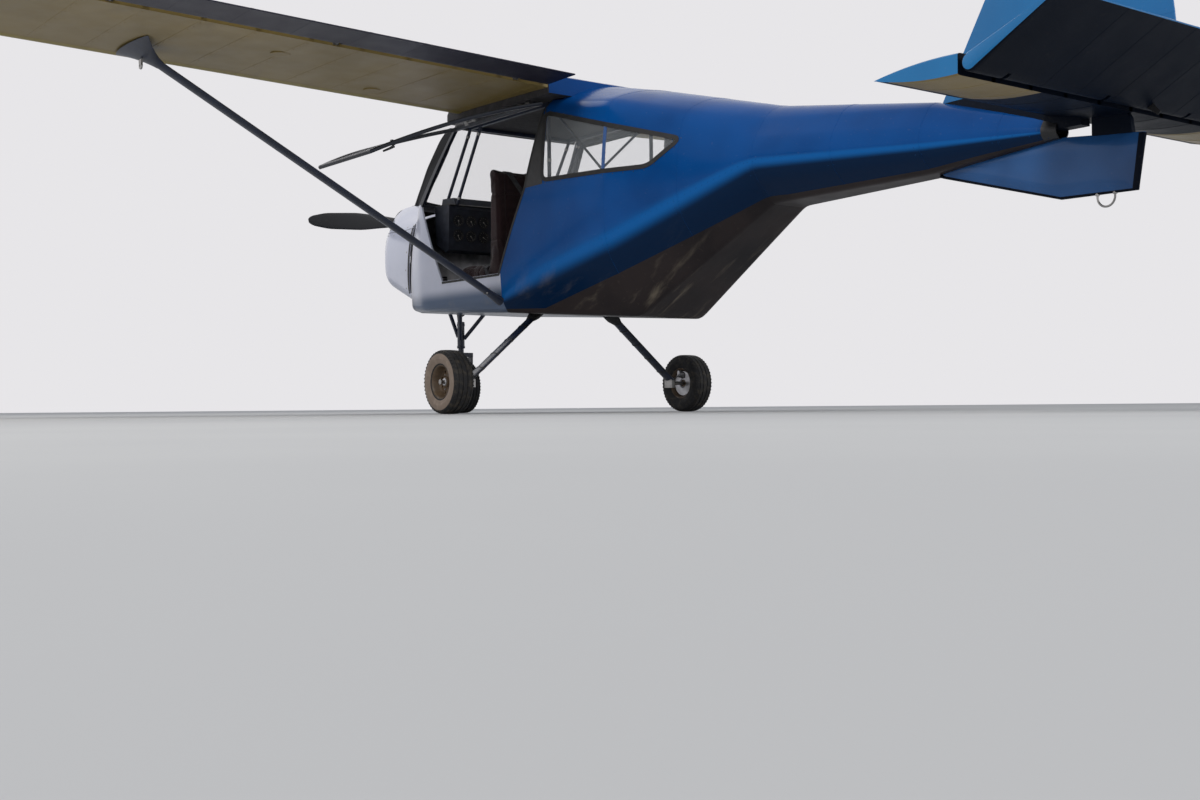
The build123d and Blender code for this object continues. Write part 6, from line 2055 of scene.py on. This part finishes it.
DOOR_OPEN = math.radians(67)
for side_name, side in SIDES:
    for name, form, material, slot, node in door_parts():
        if side == PORT:
            form.turned_about((0, HINGE_Y, HINGE_Z), (1, 0, 0), DOOR_OPEN)
        else:
            form = form.mirrored()
        hidden = [f"{node}_{side_name}"] if node else []
        place(form, f"{name}_{side_name}", [material], f"{side_name}_door", slot, hidden, sharp=38)

# Windscreen trim: strips with screws along its foot, its head and both pillars
for name in ("screen_pillar_port", "screen_pillar_starboard"):
    dress(name, DOOR_DARK)
SCREEN_FOOT, SCREEN_HEAD = (0.992, 0.566, 1.188), (0.620, 0.504, 0.626)
SCUTTLE_TOP = 1.418


def screen_line(share, count=33, lift=0.0):
    """Points across the windscreen at a share of its height."""
    edge_x, half, middle_x = [a + (b - a) * share for a, b in zip(SCREEN_FOOT, SCREEN_HEAD)]
    z = SCUTTLE_TOP + (ROOF_UNDERSIDE - SCUTTLE_TOP) * share
    plan = arc((edge_x, -half), (middle_x + 1e-6, 0), (edge_x, half), count)
    return [Vector((x + lift, y, z + lift * 0.8)) for x, y in plan if abs(y) <= half]


screen_trim, screen_screws = Form(), Form()
STRIP_SHARE = 0.045
for share in (0.012, 0.955):
    low, high = screen_line(share, lift=0.0022), screen_line(share + STRIP_SHARE, lift=0.0022)
    low_in, high_in = screen_line(share, lift=-0.001), screen_line(share + STRIP_SHARE, lift=-0.001)
    screen_trim.skin([list(points) for points in zip(low, high, high_in, low_in)])
    for p in resample(screen_line(share + STRIP_SHARE / 2, lift=0.0022), 15):
        screen_screws.dome(p, (0.7, 0, 0.7), 0.0042, 0.0018, 8)
for side in (PORT, STARBOARD):
    rings = []
    for i in range(17):
        share = 0.012 + 0.985 * i / 16
        row = screen_line(share, 81)
        edge = row[-1] if side == PORT else row[0]
        near = edge.lerp(row[-3] if side == PORT else row[2], 0.55)
        out = Vector((0.0022, side * 0.0008, 0.0016))
        rings.append([edge + out, near + out, near - out * 0.4, edge - out * 0.4])
    screen_trim.skin(rings)
    for p in resample([(r[0] + r[1]) / 2 for r in rings], 9):
        screen_screws.dome(p, (0.6, side * 0.35, 0.5), 0.0042, 0.0018, 8)
place(screen_trim, "screen_trim", [SEAL], slot="dark_plastic", sharp=30)
place(screen_screws, "screen_screws", [STEEL], slot="bare_wire")

# Cabin frame: the tubes stay, with clamps on them
dress("cabin_frame", DARK_METAL)
RAIL_Y, RAIL_Z, POST_X, CROSS_Z = 0.404, 1.893, -0.300, 1.180
clamps = Form()
for side in (PORT, STARBOARD):
    y = side * RAIL_Y
    for low_x, high_x in ((0.940, 0.600), (0.790, 0.470)):
        a, b = Vector((low_x, y, 1.388)), Vector((high_x, y, RAIL_Z))
        d = (b - a).normalized()
        for t in (0.12, 0.90):
            p = a.lerp(b, t)
            clamps.tube([p - d * 0.009, p + d * 0.009], 0.0132, 20)
    for z in (0.90, CROSS_Z, 1.55):
        clamps.tube([(POST_X, y, z - 0.010), (POST_X, y, z + 0.010)], 0.0145, 20)
place(clamps, "frame_clamps", [STEEL], slot="bare_wire", bevel=0.0008)

# Instrument panel: dials with bezels and needles, two screens, switches, buttons, pull knobs and a hood
dress("instrument_panel", DASH)
PANEL_LOW, PANEL_HIGH = Vector((0.790, 0, 1.100)), Vector((0.776, 0, 1.390))
panel_up = (PANEL_HIGH - PANEL_LOW).normalized()
panel_out = Vector((-panel_up.z, 0, panel_up.x)).normalized()
if panel_out.x > 0:
    panel_out = -panel_out


def panel_at(y, z, out=0.0):
    """A point on the panel's face, or out from it."""
    t = (z - PANEL_LOW.z) / (PANEL_HIGH.z - PANEL_LOW.z)
    p = PANEL_LOW.lerp(PANEL_HIGH, t)
    return Vector((p.x, y, z)) + panel_out * out


bezels, faces_form, marks_form = Form(), Form(), Form()


def panel_mark(y, z, out, angle, near, far, half, tip, thick):
    """A flat mark along a dial's radius, between two distances from its middle, narrowed at its far end."""
    across = Vector((0, math.cos(angle), 0)) + panel_up * math.sin(angle)
    off = across.cross(panel_out) * half
    p = panel_at(y, z, out)
    near, far = p + across * near, p + across * far
    marks_form.slab([near - off, far - off * tip, far + off * tip, near + off], panel_out * thick)


DIALS = [(y, z, 0.041) for z in (1.300, 1.200) for y in (0.395, 0.295, 0.195)]
DIALS += [(y, 1.310, 0.030) for y in (-0.150, -0.230, -0.310, -0.390)]
for y, z, r in DIALS:
    bezels.turned([(0.0, r), (0.007, r - 0.001), (0.0085, r - 0.004), (0.004, r - 0.007),
                   (0.0, r - 0.007)], panel_at(y, z), panel_out, 32, closed=True)
    faces_form.turned([(0.0, r - 0.006), (0.0018, r - 0.0065), (0.0018, 0.0001)], panel_at(y, z),
                      panel_out, 28)
    for k in range(12):
        panel_mark(y, z, 0.0022, TAU * k / 12, r - 0.013, r - 0.009, 0.0008, 1.0, 0.0004)
    panel_mark(y, z, 0.0026, 0.7 + 3.1 * y + 2.0 * z, -0.006, r - 0.012, 0.0013, 0.3, 0.0006)
    marks_form.turned([(0, 0.004), (0.002, 0.0035), (0.0022, 0.0001)], panel_at(y, z, 0.0026), panel_out,
                      12)
for y_low, y_high, z_low, z_high in ((-0.095, 0.095, 1.215, 1.345), (-0.095, 0.095, 1.128, 1.188)):
    corners = rounded_box((y_low, z_low), (y_high, z_high), 0.008, 4)
    bezels.slab([panel_at(y, z) for y, z in corners], panel_out * 0.010)
    inner = rounded_box((y_low + 0.010, z_low + 0.010), (y_high - 0.010, z_high - 0.010), 0.004, 3)
    faces_form.slab([panel_at(y, z, 0.0098) for y, z in inner], panel_out * 0.0010)
for i in range(9):
    y = -0.400 + 0.036 * i
    bezels.turned([(0, 0.0085), (0.003, 0.0085), (0.004, 0.006), (0.004, 0.0001)], panel_at(y, 1.150),
                  panel_out, 16)
    tip = panel_at(y, 1.150, 0.020) + panel_up * (0.006 if i % 3 else -0.006)
    bezels.tube([panel_at(y, 1.150, 0.003), tip], [0.0022, 0.0034], 8)
for i in range(7):
    bezels.turned([(0, 0.007), (0.008, 0.0065), (0.009, 0.0001)], panel_at(-0.390 + 0.036 * i, 1.215),
                  panel_out, 12)
for y in (-0.045, 0.045):
    bezels.tube([panel_at(y, 1.108, 0.0), panel_at(y, 1.108, 0.048)], 0.0042, 12)
    bezels.turned([(0, 0.011), (0.004, 0.0145), (0.015, 0.0145), (0.019, 0.011), (0.019, 0.0001)],
                  panel_at(y, 1.108, 0.046), panel_out, 24)
place(bezels, "panel_bezels", [BLACK_PLASTIC], slot="dark_plastic", sharp=30)
place(faces_form, "panel_faces", [DIAL_FACE], slot="dark_plastic")
place(marks_form, "panel_marks", [DIAL_MARK], slot="dark_plastic")
hood = Form()
hood_section = [(0.772, 1.396), (0.768, 1.404), (0.776, 1.411), (0.800, 1.412), (0.960, 1.412),
                (0.960, 1.404), (0.800, 1.400)]
hood.slab([(x, -0.466, z) for x, z in hood_section], (0, 0.932, 0))
place(hood, "panel_hood", [BLACK_PLASTIC], slot="dark_plastic", bevel=0.0015)

# The stick with its boot and grip, pads on the pedals, and floor mats
dress("seat_pan", LINING)
stick = Form()
stick_line = [(0.745, 0, 0.735), (0.744, 0, 0.80), (0.741, 0, 0.88), (0.737, 0, 0.96), (0.735, 0, 1.005)]
stick.tube(stick_line, 0.0098, 18)
stick.turned([(0.0, 0.031), (0.004, 0.034), (0.010, 0.028), (0.016, 0.032), (0.022, 0.024),
              (0.028, 0.027), (0.036, 0.018),
              (0.044, 0.020), (0.056, 0.0115), (0.060, 0.0095)], (0.7455, 0, 0.728), (-0.03, 0, 1), 28, 1)
plate = rounded_box((0.706, -0.036), (0.784, 0.036), 0.012, 4)
stick.slab([(x, y, 0.706) for x, y in plate], (0, 0, 0.024), 1)
grip_rows = [(0.0, 0.0125), (0.006, 0.0155), (0.016, 0.0168), (0.030, 0.0150), (0.044, 0.0168),
             (0.058, 0.0168), (0.066, 0.0158),
             (0.071, 0.0120), (0.0735, 0.0001)]
stick.turned(grip_rows, (0.7352, 0, 1.000), (-0.07, 0, 1), 24, 1)
stick.turned([(0, 0.0050), (0.003, 0.0048), (0.004, 0.0001)], (0.7235, 0, 1.066), (-0.8, 0, 0.6), 12, 0)
place(stick, "stick_unit", [ALLOY, BLACK_PLASTIC], slot="dark_plastic", replaces=["control_stick"],
      sharp=35)
dress("rudder_pedals", ALLOY)
pads = Form()
for y in (0.340, 0.160, -0.160, -0.340):
    for k in range(6):
        t = (k + 0.5) / 6
        x, z = 1.0615 + 0.0245 * t, 0.850 + 0.101 * t
        pads.slab([(x - 0.0035, y - 0.036, z - 0.004), (x + 0.002, y - 0.036, z - 0.005),
                   (x + 0.003, y - 0.036, z + 0.004),
                   (x - 0.0025, y - 0.036, z + 0.005)], (0, 0.072, 0))
place(pads, "pedal_pads", [SEAL], slot="dark_plastic", bevel=0.0006)
mats = Form()
for side in (PORT, STARBOARD):
    outline = rounded([(0.80, side * 0.07), (0.99, side * 0.07), (0.99, side * 0.44), (0.72, side * 0.44),
                       (0.72, side * 0.07)], 0.02, 4)
    mats.skin([[Vector((x, y, 0.645 + 0.0612 * x + dz)) for x, y in outline] for dz in (0.0, 0.006)])
place(mats, "floor_mats", [SEAL], slot="dark_plastic", bevel=0.001)


# Seats: cushions blown up from a slimmer start inside a cloth skin, then pressed seams, and belts
def cushion_start(outline, y_low, y_high, shrink):
    """A coarse slab, a little smaller than the cushion."""
    drawn = inset(outline, shrink)
    return Form().slab([(x, y_low + shrink, z) for x, z in rounded(drawn, 0.03, 3)],
                       (0, y_high - y_low - 2 * shrink, 0))


def blown(piece, voxel=0.006, frames=20, pressure=4.0):
    """Fine even quads, blown up by pressure under a sewn skin, then smoothed once."""
    bpy.context.view_layer.objects.active = piece
    remesh = piece.modifiers.new("remesh", "REMESH")
    remesh.mode, remesh.voxel_size = "VOXEL", voxel
    bpy.ops.object.modifier_apply(modifier="remesh")
    cloth = piece.modifiers.new("cloth", "CLOTH")
    settings = cloth.settings
    settings.use_pressure, settings.uniform_pressure_force = True, pressure
    settings.tension_stiffness, settings.compression_stiffness = 15, 15
    settings.bending_stiffness, settings.shear_stiffness = 1.5, 8
    settings.effector_weights.gravity = 0
    settings.quality = 5
    cloth.point_cache.frame_start, cloth.point_cache.frame_end = 1, frames
    start = [v.co.copy() for v in piece.data.vertices]
    scene = bpy.context.scene
    for frame_number in range(1, frames + 1):
        scene.frame_set(frame_number)
    depsgraph = bpy.context.evaluated_depsgraph_get()
    blown_mesh = bpy.data.meshes.new_from_object(piece.evaluated_get(depsgraph))
    piece.modifiers.remove(cloth)
    for before, now, vertex in zip(start, blown_mesh.vertices, piece.data.vertices):
        move = now.co - before
        if move.length > BLOWN_MOST:
            move = move.normalized() * BLOWN_MOST
        vertex.co = before + move
    bpy.data.meshes.remove(blown_mesh)
    scene.frame_set(1)
    smooth = piece.modifiers.new("smooth", "SUBSURF")
    smooth.levels = smooth.render_levels = 1


def channel(piece, line_of, depth, width):
    """Presses a stitched channel into a cushion where a point's distance from a line is small."""
    for vertex in piece.data.vertices:
        away = abs(line_of(vertex.co))
        if away < 2.2 * width:
            vertex.co -= vertex.normal * depth * math.exp(-(away / width) ** 2)


BASE_OUTLINE = [(0.372, 0.874), (0.684, 0.888), (0.688, 0.982), (0.372, 0.960)]
BACK_OUTLINE = [(0.180, 0.866), (0.368, 0.874), (0.352, 1.000), (0.336, 1.590), (0.258, 1.598),
                (0.240, 1.100)]
SEAT_Y, SEAT_HALF, SEAT_SHRINK, BLOWN_MOST = 0.240, 0.215, 0.012, 0.016
for side_name, side in SIDES:
    seat_y = side * SEAT_Y
    for kind, outline in (("base", BASE_OUTLINE), ("back", BACK_OUTLINE)):
        form = cushion_start(outline, seat_y - SEAT_HALF, seat_y + SEAT_HALF, SEAT_SHRINK)
        cushion = place(form, f"cushion_{kind}_{side_name}", [UPHOLSTERY], slot="upholstery",
                        replaces=[f"seat_{kind}_{side_name}"], sharp=180)
        blown(cushion)
        cushion.data.shade_smooth()
        if kind == "base":
            for offset in (-0.105, 0.105):
                channel(cushion, lambda p, o=offset: p.y - seat_y - o, 0.006, 0.006)
            channel(cushion, lambda p: p.x - AXLE_X - 0.460, 0.005, 0.006)
        else:
            for offset in (-0.120, 0.120):
                channel(cushion, lambda p, o=offset: p.y - seat_y - o, 0.006, 0.006)
            for height in (1.12, 1.42):
                channel(cushion, lambda p, h=height: p.z - h, 0.006, 0.006)


def strap(form, line, half, thick, across):
    """Flat webbing along a line, with its width along a direction."""
    points = [Vector(p) for p in line]
    across = Vector(across).normalized()
    rings = []
    for i, p in enumerate(points):
        run = (points[min(i + 1, len(points) - 1)] - points[max(i - 1, 0)]).normalized()
        up = run.cross(across).normalized() * thick
        rings.append([p - across * half, p + across * half, p + across * half + up,
                      p - across * half + up])
    form.skin(rings)


BELT_HALF, BELT_THICK = 0.022, 0.0016
SHOULDER_LINE = (
    (0.360, 1.02), (0.359, 1.10), (0.354, 1.25), (0.347, 1.42), (0.345, 1.54), (0.328, 1.566),
    (0.300, 1.573), (0.268, 1.565), (0.245, 1.54), (0.10, 1.40), (-0.10, 1.28), (-0.288, 1.185),
)
LAP_HALF = ((0.30, 0.232, 0.880), (0.34, 0.226, 0.945), (0.41, 0.17, 0.966), (0.44, 0.08, 0.974))
belts, buckles = Form(), Form()
for side in (PORT, STARBOARD):
    y = side * SEAT_Y
    for dy in (-0.085, 0.085):
        strap(belts, [(x, y + dy, z) for x, z in SHOULDER_LINE], BELT_HALF, BELT_THICK, (0, 1, 0))
        buckles.box((0.354, y + dy - 0.027, 1.180), (0.362, y + dy + 0.027, 1.205))
    lap = [(x, y - across, z) for x, across, z in LAP_HALF] + [(0.45, y, 0.975)]
    lap += [(x, y + across, z) for x, across, z in reversed(LAP_HALF)]
    strap(belts, lap, BELT_HALF, BELT_THICK, (0.9, 0, 0.3))
    buckles.slab([(0.425, y - 0.030, 0.976), (0.475, y - 0.030, 0.978), (0.475, y + 0.030, 0.978),
                  (0.425, y + 0.030, 0.976)], (-0.001, 0, 0.012))
place(belts, "seat_belts", [WEBBING], slot="upholstery", sharp=30)
place(buckles, "belt_buckles", [STEEL], slot="bare_wire", bevel=0.001)


# Floor, light and camera
def soft_lamp(name, place_at, aim, size, watts, colour=(1, 1, 1)):
    """A large soft area lamp."""
    data = bpy.data.lights.new(name, "AREA")
    data.shape, data.size, data.energy, data.color = "DISK", size, watts, colour
    lamp = bpy.data.objects.new(name, data)
    lamp.location = Vector(place_at)
    lamp.rotation_euler = (Vector(aim) - Vector(place_at)).to_track_quat("-Z", "Y").to_euler()
    bpy.context.scene.collection.objects.link(lamp)


def pale_floor():
    """A plain pale floor, with a faint mottle, that keeps the aircraft's shadow."""
    paint = Paint("pale_floor", rough=0.85)
    socket(paint.shader, "Specular IOR Level", 0.1)
    paint.colour(paint.mix(paint.ramp(paint.noise(0.7, 6), 0.3, 0.7), (0.66, 0.66, 0.65),
                           (0.62, 0.62, 0.615)))
    paint.bump(paint.noise(40, 6), 0.0005, 0.3)
    size = 60.0
    data = bpy.data.meshes.new("floor")
    data.from_pydata([(-size, -size, 0), (size, -size, 0), (size, size, 0), (-size, size, 0)], [],
                     [(0, 1, 2, 3)])
    data.materials.append(paint.material)
    floor = bpy.data.objects.new("floor", data)
    bpy.context.scene.collection.objects.link(floor)


def pale_world():
    """Even light from all round, seen as a pale backdrop."""
    world = bpy.data.worlds.new("studio")
    bpy.context.scene.world = world
    world.use_nodes = True
    tree = world.node_tree
    tree.nodes.clear()
    rays = tree.nodes.new("ShaderNodeLightPath")
    seen, seen_too = (tree.nodes.new("ShaderNodeMath") for _ in range(2))
    seen.operation = seen_too.operation = "MAXIMUM"
    light = tree.nodes.new("ShaderNodeBackground")
    light.inputs["Color"].default_value = (0.80, 0.83, 0.90, 1)
    light.inputs["Strength"].default_value = 0.55
    shown = tree.nodes.new("ShaderNodeBackground")
    shown.inputs["Color"].default_value = (0.80, 0.79, 0.81, 1)
    shown.inputs["Strength"].default_value = 1.0
    mix = tree.nodes.new("ShaderNodeMixShader")
    output = tree.nodes.new("ShaderNodeOutputWorld")
    tree.links.new(rays.outputs["Is Camera Ray"], seen.inputs[0])
    tree.links.new(rays.outputs["Is Glossy Ray"], seen.inputs[1])
    tree.links.new(seen.outputs[0], seen_too.inputs[0])
    tree.links.new(rays.outputs["Is Transmission Ray"], seen_too.inputs[1])
    tree.links.new(seen_too.outputs[0], mix.inputs["Fac"])
    tree.links.new(light.outputs[0], mix.inputs[1])
    tree.links.new(shown.outputs[0], mix.inputs[2])
    tree.links.new(mix.outputs[0], output.inputs["Surface"])


def photo_camera():
    """The photo's camera, close to the ground behind the port wing, fitted to points of the aircraft."""
    focal_px, image_width, sensor = 1405.764, 1200, 36.0
    yaw, pitch, roll = (math.radians(a) for a in (37.219, 0.299, -0.472))
    data = bpy.data.cameras.new("photo_camera")
    data.sensor_width = sensor
    data.lens = focal_px * sensor / image_width
    data.clip_start, data.clip_end = 0.05, 300
    camera = bpy.data.objects.new("photo_camera", data)
    ahead = Vector((math.cos(yaw) * math.cos(pitch), -math.sin(yaw) * math.cos(pitch), math.sin(pitch)))
    level = Vector((-math.sin(yaw), -math.cos(yaw), 0))
    up = level.cross(ahead)
    right = level * math.cos(roll) + up * math.sin(roll)
    top = up * math.cos(roll) - level * math.sin(roll)
    turn = Matrix((right, top, -ahead)).transposed().to_4x4()
    camera.matrix_world = Matrix.Translation(Vector((-7.335 + AXLE_X, 5.372, 0.034))) @ turn
    bpy.context.scene.collection.objects.link(camera)
    bpy.context.scene.camera = camera


pale_floor()
pale_world()
soft_lamp("key", (-3.0, 9.0, 8.5), (0.0, 0.0, 1.2), 6.0, 430, (1.0, 0.97, 0.93))
soft_lamp("fill", (-11.0, -2.0, 5.0), (-1.0, 0.0, 1.2), 5.0, 200, (0.92, 0.96, 1.0))
soft_lamp("front", (8.0, 1.5, 8.0), (0.0, 0.0, 1.4), 5.0, 100, (1.0, 0.98, 0.96))
photo_camera()
bpy.context.scene.view_settings.view_transform = "Standard"
